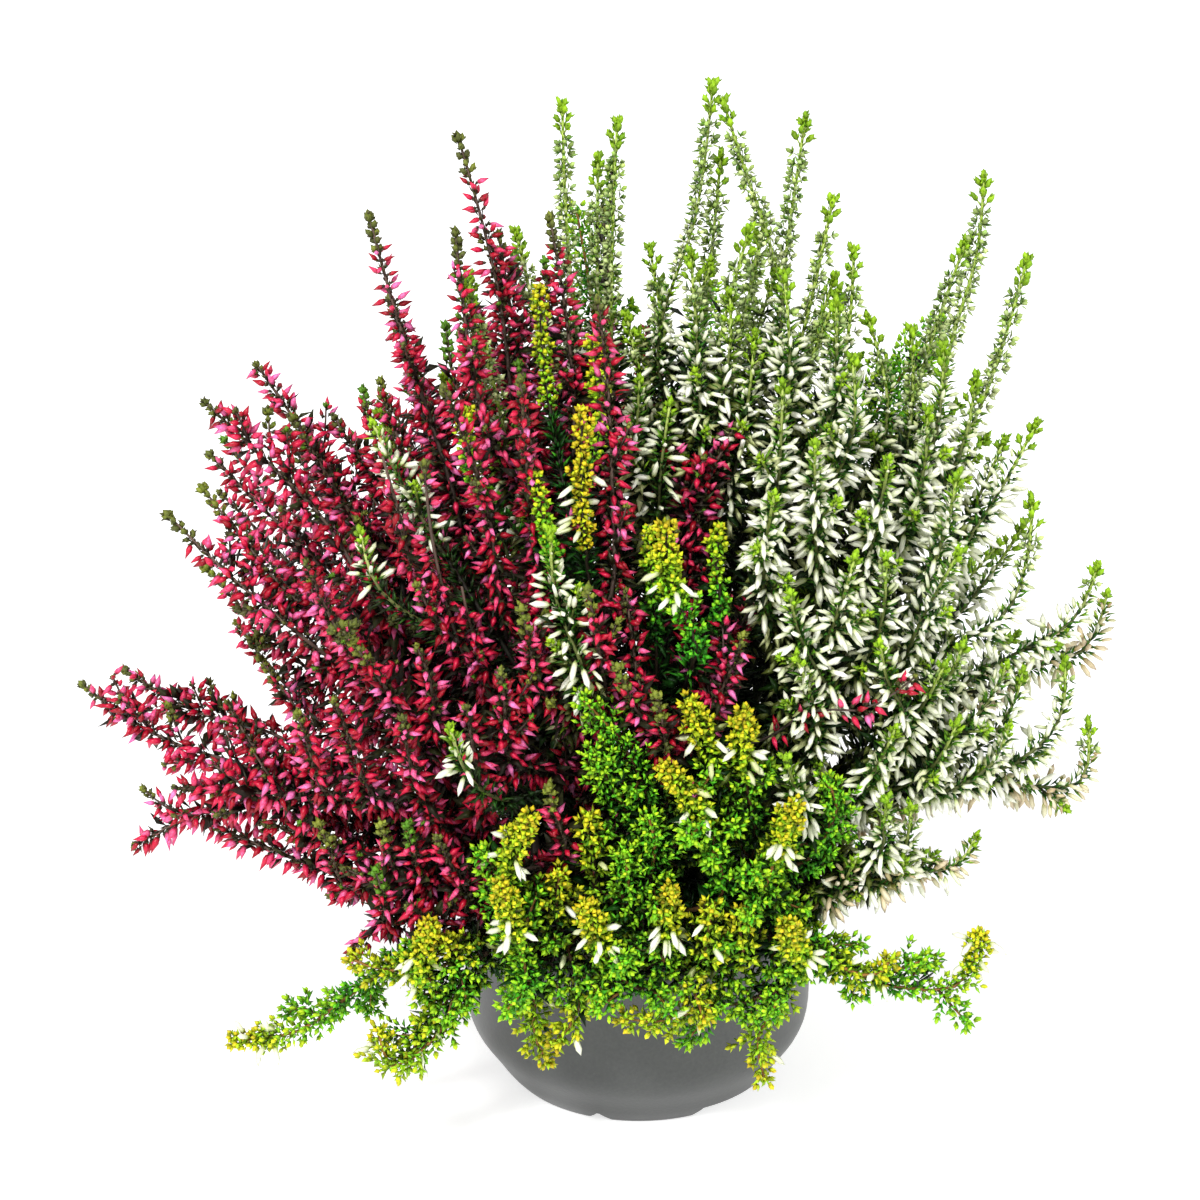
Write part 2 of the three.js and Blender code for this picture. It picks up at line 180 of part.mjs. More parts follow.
    { at: 0.6, scale: 1.0, path: [[43.78, -41.11, 107.04], [52.06, -54.13, 133.27], [59, -68.1, 159.36], [70.73, -76.74, 185.85], [76.99, -84.61, 214.22]] },
    { at: 0.3, scale: 1.0, path: [[38.25, -33.12, 82.17], [46.01, -44.26, 103.44], [55.19, -56.89, 123.22], [66.04, -71.15, 140.98], [65.97, -82.76, 162.03], [59.2, -92.09, 184.37]] },
    { at: 0.97, scale: 1.0, path: [[53.41, -55.03, 135.48], [58.56, -61.74, 147.36], [66.46, -70.14, 155.96], [70.52, -78.54, 166.13], [64.57, -83.27, 178.69], [59.59, -87.9, 191.72], [57.28, -92.88, 205.45]] },
  ] },
  { name: "white_branch_02", stem: [[23.19, -8.09, 56.4], [24.04, -12.29, 124.4], [25.72, -20.63, 191.98]], stemScale: 1.0, shoots: [
    { at: 0.78, scale: 1.0, path: [[24.98, -16.96, 162.25], [26.58, -21.88, 193.87], [32.07, -28.4, 224.83], [31.32, -22.04, 255.51], [28.94, -12.09, 285.84]] },
    { at: 0.97, scale: 1.0, path: [[25.62, -20.13, 187.93], [27.48, -22.31, 206.11], [32.13, -24.96, 223.62], [37.86, -26.74, 240.81], [41.26, -21.97, 257.55], [40.93, -17.59, 274.66]] },
    { at: 0.66, scale: 1.0, path: [[24.58, -14.96, 146.03], [24.44, -17.32, 175.92], [21.34, -15.25, 205.6], [15.96, -9.63, 234.55], [9.19, 1.91, 261.23]] },
    { at: 0.3, scale: 0.92, path: [[23.7, -10.61, 97.2], [23.98, -15.43, 127.42], [23.51, -21.65, 157.37], [21.36, -31.13, 186.43], [19.46, -39.83, 215.66], [22.98, -33.75, 244.82]] },
    { at: 0.42, scale: 1.0, path: [[23.9, -11.62, 113.52], [23.88, -15.6, 141.45], [22.31, -20.72, 169.12], [17.81, -28.37, 195.89], [13.05, -34.36, 222.97], [13.64, -26.09, 249.61]] },
    { at: 0.54, scale: 1.0, path: [[24.17, -12.96, 129.81], [26.03, -17.03, 157.65], [31.18, -22.92, 184.66], [40.36, -31.11, 210.03], [45.84, -30.01, 235.9], [49.11, -22.09, 262.76]] },
  ] },
  { name: "white_branch_03", stem: [[47.19, -28.43, 56.4], [56.4, -38, 91.93], [72.03, -54.25, 122.33]], stemScale: 1.0, shoots: [
    { at: 0.97, scale: 1.0, path: [[71.1, -53.28, 120.51], [78.31, -58.54, 133.2], [89.21, -60.33, 144.11], [100.41, -62.43, 154.76], [107.52, -68.82, 167.3], [110.97, -74.66, 181.6]] },
    { at: 0.66, scale: 1.0, path: [[61.4, -43.2, 101.66], [72.61, -52.84, 120.46], [86, -61.76, 137.84], [98.24, -70.22, 156.15], [105.68, -78.45, 176.99]] },
    { at: 0.42, scale: 1.0, path: [[54.92, -36.47, 86.25], [66.96, -47.36, 105.65], [84.27, -57.88, 120.66], [102.07, -67.98, 135.45], [110.11, -77.24, 157.09]] },
    { at: 0.54, scale: 1.0, path: [[57.65, -39.3, 94.36], [64.31, -49.52, 109.21], [66.05, -65.01, 119.89], [64.12, -82.68, 127.19], [60.12, -94.1, 141.34], [56.18, -104.09, 157.29]] },
    { at: 0.3, scale: 1.0, path: [[52.72, -34.17, 77.72], [63.5, -46.21, 98.5], [73.87, -60.95, 117.66], [83.71, -75.98, 136.84], [90.52, -87.33, 159.57]] },
    { at: 0.78, scale: 1.0, path: [[65.15, -47.1, 108.96], [72.2, -55.14, 121.64], [81.55, -62.81, 133.19], [93.02, -70.25, 142.97], [93.98, -76.96, 156.99], [87.7, -81.82, 171.63], [84.65, -87.27, 187.18]] },
  ] },
  { name: "white_branch_04", stem: [[40.95, -19.03, 56.4], [49.03, -28.27, 109.71], [64, -45.4, 159.34]], stemScale: 1.0, shoots: [
    { at: 0.42, scale: 1.0, path: [[47.73, -26.79, 101.18], [58.01, -38.81, 130.55], [72.29, -56.33, 154.92], [84.76, -72.08, 180.93], [86.13, -81.23, 212.9]] },
    { at: 0.54, scale: 1.0, path: [[50.23, -29.64, 113.68], [59.79, -38.05, 138.48], [75.54, -45, 160.13], [95.42, -50.5, 178.87], [104.37, -56.12, 204.15], [108.53, -61.77, 231.02]] },
    { at: 0.3, scale: 1.0, path: [[45.79, -24.57, 88.39], [55.51, -34.24, 114.38], [70.84, -45.27, 136.64], [89.39, -56.67, 156.31], [98.69, -63.22, 183.14], [109.85, -69.15, 209.49]] },
    { at: 0.78, scale: 1.0, path: [[57.41, -37.86, 137.5], [64.34, -47.58, 164.38], [67.39, -59.06, 191.27], [65.53, -69.04, 218.71], [64.56, -77.54, 246.78]] },
    { at: 0.97, scale: 1.0, path: [[63.1, -44.37, 156.36], [70.32, -51.36, 177.07], [81.01, -57.4, 196.51], [84.85, -64.06, 217.96], [87.27, -71.03, 239.75]] },
    { at: 0.66, scale: 1.0, path: [[53.82, -33.75, 125.59], [58.79, -42.43, 148.1], [57.94, -53.64, 169.78], [51.33, -66.8, 189.54], [50.5, -77.17, 211.37], [52.66, -86.01, 234.25]] },
  ] },
  { name: "white_branch_05", stem: [[51.44, -18.83, 56.4], [58.58, -29.71, 78.51], [70.22, -47.48, 92.76]], stemScale: 1.0, shoots: [
    { at: 0.97, scale: 1.0, path: [[69.52, -46.42, 91.9], [75.99, -56.47, 99.24], [82.95, -67.61, 104.03], [87.7, -77.4, 112.06], [88.09, -83.43, 124.71], [87.67, -90.09, 137.05]] },
    { at: 0.75, scale: 1.0, path: [[64.4, -38.6, 85.63], [70.92, -47.43, 91.61], [79.5, -56.13, 93.49], [88.9, -64.08, 94.49], [94.55, -68.32, 104.56], [96.52, -72.12, 116.41], [96.55, -76.09, 128.5]] },
    { at: 0.3, scale: 1.0, path: [[55.72, -25.36, 69.66], [63.46, -36.05, 78.05], [72.44, -46.42, 85.54], [83.11, -55.71, 92.06], [98.04, -54.67, 94.51], [113.49, -53.36, 96.06], [120.1, -52.09, 107.21]] },
    { at: 0.6, scale: 1.0, path: [[60.91, -33.27, 81.36], [66.06, -42.34, 87.91], [70.86, -52.02, 93.84], [75.1, -62.39, 99.02], [83.6, -68.93, 97.67], [93.42, -71.26, 98.68], [94.78, -74.16, 109.91]] },
    { at: 0.45, scale: 1.0, path: [[57.86, -28.63, 76.3], [63.06, -37.49, 82.46], [67.56, -47.43, 87.29], [70.6, -58.83, 89.26], [73.78, -69.75, 92.52], [77.65, -74.54, 102.6], [80.48, -80.09, 112.79]] },
  ] },
  { name: "white_branch_06", stem: [[32.72, -12.5, 56.4], [39.65, -18.7, 128.32], [53.12, -30.75, 198.48]], stemScale: 1.0, shoots: [
    { at: 0.97, scale: 1.0, path: [[52.31, -30.02, 194.27], [56.52, -32.6, 211.06], [63.58, -34, 226.87], [72.81, -34.22, 241.6], [73.33, -31.45, 258.17], [72.95, -28.09, 275.18]] },
    { at: 0.7, scale: 1.0, path: [[45.04, -23.52, 156.39], [50.7, -28.33, 187.72], [55.63, -31.51, 219.37], [59.13, -30.66, 251.15], [57.53, -18.09, 280.66]] },
    { at: 0.5, scale: 1.0, path: [[39.65, -18.7, 128.32], [44.89, -23.25, 151.59], [50.88, -28.32, 174.55], [59.64, -35.54, 195.99], [69.77, -43.74, 216.48], [77.83, -47.67, 238.35], [77.55, -38.09, 260.32]] },
    { at: 0.3, scale: 1.0, path: [[36.88, -16.22, 99.55], [42.7, -22.65, 131.37], [47.84, -31.06, 162.81], [51.69, -43.76, 192.99], [55.03, -54.82, 223.76], [56.43, -46.09, 255.06]] },
  ] },
  { name: "white_branch_07", stem: [[58.48, -11.03, 56.4], [70.97, -19.6, 92.06], [91.59, -33.73, 121.57]], stemScale: 1.0, shoots: [
    { at: 0.97, scale: 1.0, path: [[90.35, -32.88, 119.8], [99.31, -40.02, 135.63], [101.37, -47.36, 153.48], [110.32, -48.36, 168.48], [126.65, -41.76, 176.66], [133.73, -35.94, 193.26], [134.58, -30.09, 211.9]] },
    { at: 0.729, scale: 1.0, path: [[80.4, -26.06, 105.55], [91.43, -32.47, 121.11], [102.25, -37.74, 137.45], [115.28, -39.38, 152.54], [132.73, -33.53, 160.79], [150.05, -27.71, 169.37], [157.53, -22.09, 186.52]] },
    { at: 0.386, scale: 1.0, path: [[68.12, -17.64, 83.91], [81.73, -24.3, 101.98], [97.55, -24.01, 119.23], [114.68, -18.59, 134.53], [134.95, -13.12, 145.18], [157.04, -7.6, 151.23], [164.07, -2.09, 169.05]] },
    { at: 0.471, scale: 1.0, path: [[70.26, -19.11, 90.02], [82.28, -26.64, 104.27], [96.8, -34.91, 115.22], [113.66, -44.06, 121.21], [131.26, -47.42, 128.84], [145.35, -39.9, 140.45], [146.76, -34.09, 159.26]] },
    { at: 0.3, scale: 1.0, path: [[65.98, -16.17, 77.79], [78.47, -24.36, 93.83], [92.44, -33.93, 107.81], [110.64, -39.97, 117.14], [132.27, -35.86, 115.99], [153.86, -32.96, 115.51], [155.9, -30.09, 135.93]] },
    { at: 0.643, scale: 1.0, path: [[76.86, -23.64, 100.49], [85.95, -29.92, 112.11], [95.67, -37.24, 122.49], [106.17, -47, 129.74], [117.45, -55.82, 136.91], [128.04, -50.63, 146.57], [133.14, -44.09, 160.11]] },
    { at: 0.814, scale: 1.0, path: [[83.93, -28.48, 110.61], [91.51, -34.85, 121.44], [98.68, -42.66, 131.27], [104.24, -53.88, 138.55], [110.63, -64.28, 146.15], [120.53, -59.53, 154.64], [126.91, -54.09, 166.36]] },
    { at: 0.557, scale: 1.0, path: [[73.33, -21.21, 95.43], [82.39, -28.63, 107.16], [91.5, -38.1, 117.15], [99.57, -51.48, 122.59], [108.06, -64.86, 127.23], [120.95, -63.97, 134.62], [127.94, -60.09, 148.84]] },
  ] },
  { name: "white_branch_08", stem: [[50.02, -4.82, 56.4], [61.79, -10.38, 119.64], [83.88, -20.81, 179.27]], stemScale: 1.0, shoots: [
    { at: 0.54, scale: 1.0, path: [[63.56, -11.21, 124.41], [75.66, -15.83, 157.67], [87.5, -18.24, 191.16], [97.43, -15.85, 224.98], [98.54, -2.09, 257.61]] },
    { at: 0.78, scale: 1.0, path: [[74.16, -16.22, 153.03], [82.29, -19.9, 172.92], [92.26, -24.07, 191.8], [104.47, -28.98, 209.16], [113.64, -26.7, 227.95], [117.36, -18.09, 247.57]] },
    { at: 0.3, scale: 1.0, path: [[57.08, -8.15, 94.34], [67.44, -13.1, 119.83], [79.15, -18.78, 144.55], [93.61, -26.67, 167.12], [109.2, -33.89, 189.15], [124.55, -24.48, 209.21], [137.65, -14.09, 230.83]] },
    { at: 0.42, scale: 1.0, path: [[59.9, -9.49, 109.52], [73.2, -14.75, 140.81], [91.41, -19.12, 169.56], [113.03, -22.06, 196.13], [128.14, -12.09, 224.85]] },
    { at: 0.97, scale: 1.0, path: [[82.56, -20.19, 175.69], [88.93, -23.49, 192.6], [95.59, -28.15, 209.04], [102.4, -33.69, 225.15], [105.89, -29.03, 241.94], [106.45, -22.09, 258.91]] },
    { at: 0.66, scale: 1.0, path: [[68.86, -13.72, 138.72], [75.72, -18.2, 156.88], [82.49, -23.54, 174.82], [89, -32.89, 191.06], [95.27, -43.29, 206.74], [99.94, -43.89, 224.6], [101.25, -36.09, 242.71]] },
  ] },
  { name: "white_branch_09", stem: [[39.52, -4.5, 56.4], [47.05, -6.92, 128.74], [61.78, -11.65, 199.8]], stemScale: 1.0, shoots: [
    { at: 0.6, scale: 0.96, path: [[50, -7.86, 142.95], [55.57, -11.03, 174.77], [58.44, -14.99, 206.78], [59.43, -17.73, 239.05], [66.81, -8.07, 268.78], [73.53, 1.91, 298.63]] },
    { at: 0.97, scale: 1.0, path: [[60.9, -11.36, 195.54], [66.39, -12.77, 218.14], [74.91, -14.25, 239.77], [78.62, -9.51, 261.77], [79.82, -2.09, 283.81]] },
    { at: 0.3, scale: 1.0, path: [[44.04, -5.95, 99.81], [52.26, -8.46, 133.96], [62.94, -11.47, 167.34], [78.07, -15.58, 198.87], [90.51, -17.25, 231.11], [83.8, -6.09, 263.44]] },
  ] },
  { name: "white_branch_10", stem: [[58.73, 1.05, 56.4], [68.46, -0.87, 124.09], [88.02, -4.47, 189.02]], stemScale: 1.0, shoots: [
    { at: 0.97, scale: 1.0, path: [[86.85, -4.25, 185.13], [94.88, -6.98, 209.31], [105.34, -11.95, 231.96], [111.19, -5.8, 256.07], [117.95, 0.04, 279.99], [119.91, 5.91, 304.83]] },
    { at: 0.6, scale: 1.0, path: [[72.37, -1.59, 137.08], [83.09, -2.09, 173.77], [95.2, 1.92, 209.78], [104.8, 8.41, 246.11], [116.74, 15.91, 281.38]] },
    { at: 0.3, scale: 1.0, path: [[64.56, -0.1, 97.02], [79.51, -3.81, 144.47], [98.71, -11.82, 189.77], [119.69, -11.25, 233.69], [134.15, 1.91, 279.4]] },
  ] },
  { name: "white_branch_11", stem: [[47.32, 5.33, 56.4], [49.04, 4.5, 95.99], [52.46, 2.86, 135.44]], stemScale: 1.0, shoots: [
    { at: 0.97, scale: 0.96, path: [[52.26, 2.96, 133.08], [49.03, -1.82, 156.99], [43.1, -8.93, 178.69], [49.74, -11.61, 202.91], [57.76, -13.29, 226.96], [66.56, -13.5, 250.7], [75.46, -12.35, 274.32]] },
    { at: 0.75, scale: 1.0, path: [[50.75, 3.68, 115.72], [48.93, 1.5, 143.56], [50.56, -0.42, 170.43], [62.45, 0.77, 195.85], [73.19, 1.11, 221.66], [82.96, 0.72, 247.8]] },
    { at: 0.6, scale: 1.0, path: [[49.73, 4.17, 103.88], [57.19, -2.76, 138.88], [73.5, -4.01, 171.67], [92.43, -2.53, 203.48], [113.89, -5.92, 233.48]] },
    { at: 0.45, scale: 1.0, path: [[48.87, 4.59, 92.03], [54.6, 10.36, 131.91], [70.19, 24.28, 166.89], [91.38, 33.41, 200.9], [110.37, 39.98, 236.79]] },
    { at: 0.3, scale: 1.0, path: [[48.35, 4.84, 80.16], [56.3, 3.47, 119.9], [73.5, 4.34, 156.7], [95.39, 7.51, 190.76], [121.32, 10.2, 222]] },
  ] },
  { name: "white_branch_12", stem: [[56.32, 11.27, 56.4], [60.04, 12.98, 77.08], [67.05, 16.21, 96.66]], stemScale: 1.0, shoots: [
    { at: 0.97, scale: 1.0, path: [[66.63, 16.02, 95.49], [71.32, 11.41, 113.28], [84.74, 10.22, 127.01], [101.14, 13.88, 138.39], [116.79, 17.42, 150.77], [129.18, 19.49, 166.63], [139.62, 20.92, 183.97]] },
    { at: 0.7, scale: 1.0, path: [[62.85, 14.28, 84.91], [73.24, 20.69, 110.86], [94.64, 29.96, 128.18], [115.31, 37.68, 147.05], [134.43, 43.53, 168.16]] },
    { at: 0.5, scale: 1.0, path: [[60.04, 12.98, 77.08], [65.53, 21.96, 93.48], [73.35, 36.43, 103.34], [89.8, 44.35, 111.99], [105.49, 52.06, 122.07], [117.32, 60.55, 136.03], [127.76, 69.03, 151.12]] },
    { at: 0.3, scale: 1.0, path: [[58.55, 12.3, 68.81], [69.1, 13.15, 89], [87.82, 17.9, 100.35], [107.55, 25.16, 109.5], [124.39, 28.14, 124.8], [140.15, 29.95, 141.47]] },
  ] },
  { name: "white_branch_13", stem: [[47.39, 16.79, 56.4], [50.54, 18.36, 84.46], [56.68, 21.4, 111.87]], stemScale: 1.0, shoots: [
    { at: 0.97, scale: 1.0, path: [[56.31, 21.22, 110.23], [64.23, 16.89, 128.21], [76.38, 15.79, 145.05], [88.17, 18.97, 162.42], [100.45, 22.7, 179.32], [113.97, 27.23, 195.04], [127.94, 32.2, 210.24]] },
    { at: 0.6, scale: 1.0, path: [[51.77, 18.97, 89.94], [62.64, 24.07, 120.7], [77.95, 35.17, 147.91], [96.25, 45.9, 173.27], [120.23, 53.74, 194.76]] },
    { at: 0.3, scale: 1.0, path: [[49.28, 17.73, 73.24], [52.6, 21.75, 93.86], [50.88, 30.36, 113.08], [61.48, 42.1, 127.06], [74.1, 52.89, 140.37], [84.08, 59.82, 157.83], [93.28, 65.36, 176.25]] },
  ] },
  { name: "white_branch_14", stem: [[32.11, 2.93, 56.4], [35.63, 2.84, 134.94], [33.98, -5.77, 208.95]], stemScale: 1.0, shoots: [
    { at: 0.45, scale: 0.78, path: [[35.28, 2.85, 127.09], [34.45, -0.62, 169.17], [27.69, -3.38, 210.7], [19.34, -3.8, 251.92], [31.01, 5.24, 291.21], [36.18, 13.91, 332.14]] },
    { at: 0.97, scale: 1.0, path: [[34.08, -5.26, 204.51], [37.96, -5.12, 226.7], [52.47, -7.14, 243.56], [58.13, -5.39, 263.83], [53.29, 0.01, 285.35], [45.91, 4.96, 306.16], [38.89, 9.91, 327.18]] },
    { at: 0.6, scale: 0.96, path: [[35.3, 1.12, 149.74], [37.75, 1.14, 184.77], [45.91, 2.83, 218.77], [56.13, 6.08, 252.11], [60.57, 12.04, 286.28], [65.26, 17.91, 320.37]] },
    { at: 0.3, scale: 0.75, path: [[34.22, 2.88, 103.53], [33.9, 3.85, 148.28], [30.32, 3.76, 192.9], [23.8, 3.76, 237.13], [16.76, 15.91, 279.1]] },
    { at: 0.75, scale: 1.0, path: [[34.81, -1.46, 171.95], [34.8, -1.92, 193.85], [33.8, -3.04, 215.73], [30.97, -5.9, 237.26], [30.5, -5.51, 258.78], [36.52, 3.91, 277.83]] },
  ] },
  { name: "white_branch_15", stem: [[21.63, 2.35, 56.4], [21.72, 2.79, 104.2], [21.9, 3.66, 151.99]], stemScale: 1.0, shoots: [
    { at: 0.97, scale: 0.96, path: [[21.89, 3.61, 149.13], [23.06, 6.09, 189.52], [29.81, 7.85, 229.48], [35.33, 9.69, 269.67], [39.05, 12.82, 310]] },
    { at: 0.75, scale: 1.0, path: [[21.81, 3.23, 128.1], [25.18, -5.28, 169.42], [31.39, -12.69, 210.89], [37.57, -14.14, 253.42], [47.21, -17.73, 295.17]] },
    { at: 0.45, scale: 1.0, path: [[21.71, 2.75, 99.42], [19.08, 5.69, 141.3], [14.99, 13.55, 182.19], [20.03, 21.22, 223.29], [20.86, 24.81, 265.3]] },
    { at: 0.6, scale: 0.75, path: [[21.75, 2.96, 113.76], [26.68, 1.23, 154.58], [36.92, 1.23, 194.58], [45.65, 4.42, 234.97], [56.7, 4.54, 274.97]] },
    { at: 0.3, scale: 1.0, path: [[21.68, 2.62, 85.08], [18.79, 6.82, 125.26], [10.55, 18.39, 163.17], [12.13, 26.38, 202.99], [14.67, 36.27, 242.33]] },
  ] },
  { name: "white_branch_16", stem: [[38.43, 11.32, 56.4], [38.54, 13.4, 99.58], [36.91, 10.5, 147.29]], stemScale: 1.0, shoots: [
    { at: 0.97, scale: 1.0, path: [[37.01, 10.67, 144.43], [30.79, 10.71, 171.96], [34.55, 15.19, 200.25], [42.1, 21.37, 227.95], [48.31, 27.23, 256.03], [53.89, 32.97, 284.25]] },
    { at: 0.6, scale: 0.92, path: [[38.21, 12.82, 109.12], [39.42, 10.32, 150.21], [49.2, 8.69, 190.11], [63.18, 13.62, 228.95], [75.77, 20.37, 267.98]] },
    { at: 0.75, scale: 0.72, path: [[37.72, 11.95, 123.44], [35.31, 19.4, 154.41], [33.87, 30.19, 183.79], [41.38, 40.76, 213.08], [48.65, 49.64, 243], [54.66, 54.68, 274.12]] },
    { at: 0.45, scale: 1.0, path: [[38.52, 13.19, 95.26], [40.28, 16.17, 137.35], [52.02, 19.66, 177.33], [70.05, 25.16, 215], [79.35, 38.05, 254.03]] },
    { at: 0.3, scale: 1.0, path: [[38.49, 12.57, 82.31], [39.41, 18.82, 125.14], [46.51, 32.72, 165.14], [63.31, 48.16, 201.9], [75.13, 57.58, 242.49]] },
  ] },
  { name: "white_branch_17", stem: [[38.17, 21.82, 56.4], [39.26, 24.1, 89.24], [41.42, 28.62, 121.78]], stemScale: 1.0, shoots: [
    { at: 0.97, scale: 1.0, path: [[41.29, 28.35, 119.83], [35.4, 31.96, 137.4], [34.82, 40.27, 154.9], [39.11, 49.33, 172.23], [44.29, 57.61, 189.72], [50.76, 64.47, 207.38], [57.63, 70.98, 225.03]] },
    { at: 0.6, scale: 1.0, path: [[39.69, 25.01, 95.75], [46.78, 25.68, 128.7], [61.65, 32.84, 158.18], [77.07, 43.69, 186.56], [92.37, 54.18, 215.14]] },
    { at: 0.3, scale: 1.0, path: [[38.82, 23.19, 76.1], [42.07, 30.36, 112.11], [51.57, 45.05, 144.07], [66.86, 62.65, 172.59], [81.79, 75.71, 203.7]] },
  ] },
  { name: "white_branch_18", stem: [[28.52, 28.64, 56.4], [29.16, 34.27, 81], [28.81, 37.81, 106.86]], stemScale: 1.0, shoots: [
    { at: 0.97, scale: 1.0, path: [[28.83, 37.59, 105.3], [23.78, 40.6, 128.14], [22.93, 47.16, 151.01], [25.87, 56.8, 172.92], [30.69, 69.84, 192.6], [36.38, 84.23, 211.12]] },
    { at: 0.7, scale: 1.0, path: [[29.02, 35.68, 91.34], [30.8, 41.43, 118.23], [37.52, 55.34, 140.98], [45.23, 69.6, 163.21], [54.14, 82.92, 185.61]] },
    { at: 0.5, scale: 1.0, path: [[29.16, 34.27, 81], [25.31, 44.54, 102.32], [20.2, 60.8, 118.8], [23.8, 75.05, 138.26], [27.75, 90.91, 156.28], [31.96, 107.86, 173.19]] },
    { at: 0.3, scale: 0.92, path: [[28.91, 32.02, 71.16], [32.68, 37.25, 92.94], [43.21, 45.23, 111.07], [51.4, 60.4, 125.98], [61.34, 71.98, 142.97], [72.49, 80.34, 161.32]] },
  ] },
  { name: "white_branch_19", stem: [[16.31, 11.4, 56.4], [12.48, 10.95, 134.78], [2.37, 13.19, 212.77]], stemScale: 1.0, shoots: [
    { at: 0.7, scale: 0.88, path: [[8.43, 11.85, 165.98], [2.94, 11.42, 205.67], [-4.94, 8.39, 244.75], [-9, 15.14, 283.81], [-10.44, 23.91, 322.95]] },
    { at: 0.3, scale: 0.88, path: [[14.01, 11.13, 103.43], [9.5, 9.46, 157.53], [6.3, 6.52, 211.69], [4.95, 7.71, 265.69], [6.8, 20.16, 318.54]] },
    { at: 0.5, scale: 1.0, path: [[12.48, 10.95, 134.78], [7.7, 11.61, 177.45], [3.41, 15.7, 219.95], [0.73, 21.99, 262.31], [0.76, 29.91, 304.35]] },
    { at: 0.97, scale: 1.0, path: [[2.98, 13.05, 208.09], [-0.37, 12.73, 224.99], [-7.85, 10.44, 240], [-17.57, 7.44, 253.44], [-21.47, 12.46, 268.46], [-25.28, 17.91, 283.72]] },
  ] },
  { name: "white_branch_20", stem: [[11.4, -0.03, 56.4], [4.29, -0.14, 99.75], [-9.35, -0.35, 141.44]], stemScale: 1.0, shoots: [
    { at: 0.97, scale: 0.88, path: [[-8.53, -0.34, 138.94], [-18.07, -10.23, 171.72], [-24.52, -15.02, 206.92], [-31.28, -17, 242.2], [-40.91, -16.81, 276.86]] },
    { at: 0.5, scale: 1.0, path: [[4.29, -0.14, 99.75], [-10.12, -2.05, 135.44], [-25.14, -4.02, 170.6], [-34.46, -0.65, 207.87], [-47.82, -5.46, 243.69]] },
    { at: 0.7, scale: 1.0, path: [[-1.17, -0.22, 116.42], [-13.26, 7.9, 152.79], [-24.23, 18.43, 189.01], [-34.72, 23.63, 226.85], [-40.54, 32.53, 264.99]] },
    { at: 0.3, scale: 1.0, path: [[7.13, -0.09, 82.41], [-9.79, -0.6, 120.3], [-35.03, -1.76, 153.26], [-52.58, -2.03, 190.97], [-68.65, 0.61, 229.27]] },
  ] },
  { name: "white_branch_21", stem: [[12.5, -17.93, 56.4], [0.45, -30.54, 108.07], [-17.5, -55.65, 153.86]], stemScale: 1.0, shoots: [
    { at: 0.5, scale: 1.0, path: [[0.45, -30.54, 108.07], [-6.22, -42.14, 127.7], [-8.65, -56.77, 145.96], [-4.77, -74.9, 160.79], [-3.5, -89.55, 177.9], [-11.5, -85.5, 198.78], [-13.34, -84.09, 221.92]] },
    { at: 0.97, scale: 1.0, path: [[-16.43, -54.15, 151.11], [-27.57, -63.19, 174.48], [-41.75, -60.11, 197.23], [-55.86, -53.87, 219.47], [-67.65, -48.09, 243.03]] },
    { at: 0.7, scale: 1.0, path: [[-6.73, -40.58, 126.39], [-14.66, -49.04, 142.73], [-23.64, -57.17, 158.66], [-36.33, -64, 172.47], [-50.8, -69.99, 184.88], [-64.67, -74.48, 198.38], [-70.59, -70.09, 216.58]] },
    { at: 0.3, scale: 1.0, path: [[5.27, -25.5, 87.4], [-2.67, -36.83, 104.77], [-11.01, -50.43, 120.11], [-19.63, -68.99, 128.76], [-28.2, -88.48, 135.34], [-37.36, -101.8, 148.79], [-43.01, -108.09, 169.1]] },
  ] },
  { name: "golden_branch_01", stem: [[22.22, -48.34, 56.4], [23.17, -57.19, 71.35], [24.81, -72.44, 79.24]], stemScale: 1.0, shoots: [
    { at: 0.3, scale: 1.0, path: [[22.79, -53.65, 65.37], [22.54, -63.52, 78.01], [20.87, -77.8, 78.23], [15.02, -90.6, 71.98], [5.03, -96.99, 82.35], [0.7, -103.46, 96.89], [-3.4, -110.09, 111.42]] },
    { at: 0.54, scale: 1.0, path: [[23.31, -58.41, 71.98], [23.21, -67.55, 79.9], [22.11, -78.63, 80.91], [20.71, -89.5, 80.69], [21.45, -94.06, 91.7], [22.01, -98.9, 102.64], [22.43, -104.09, 113.44]] },
    { at: 0.97, scale: 1.0, path: [[24.71, -71.53, 78.77], [23.55, -80.42, 84.14], [15.82, -85.43, 88.89], [10.25, -89.72, 96.16], [10.26, -93.71, 105.89], [9.57, -97.87, 115.54], [8.59, -102.09, 125.13]] },
    { at: 0.66, scale: 1.0, path: [[23.7, -62.07, 73.87], [26.12, -69.36, 78.81], [29.01, -77.81, 81.09], [32.65, -86.18, 79.73], [34.04, -91.17, 86.76], [34.52, -94.36, 95.85], [35.32, -98.09, 104.73]] },
    { at: 0.78, scale: 1.0, path: [[24.09, -65.73, 75.77], [27.31, -73.68, 82.19], [35.4, -79.17, 81.61], [44.49, -82.61, 78.16], [45.51, -87.45, 84.24], [43.87, -91.58, 93.15], [44.51, -96.09, 102.04]] },
    { at: 0.42, scale: 1.0, path: [[23.02, -55.77, 68.95], [24.62, -61.52, 75.49], [24.97, -68.28, 81.5], [25.85, -76.87, 80.01], [27.68, -84.12, 75.03], [30.85, -90.74, 70.06], [33.68, -96.09, 63.6]] },
  ] },
  { name: "golden_branch_02", stem: [[16.66, -33.97, 56.4], [21.5, -42.99, 108.07], [28.18, -57.85, 159.56]], stemScale: 1.0, shoots: [
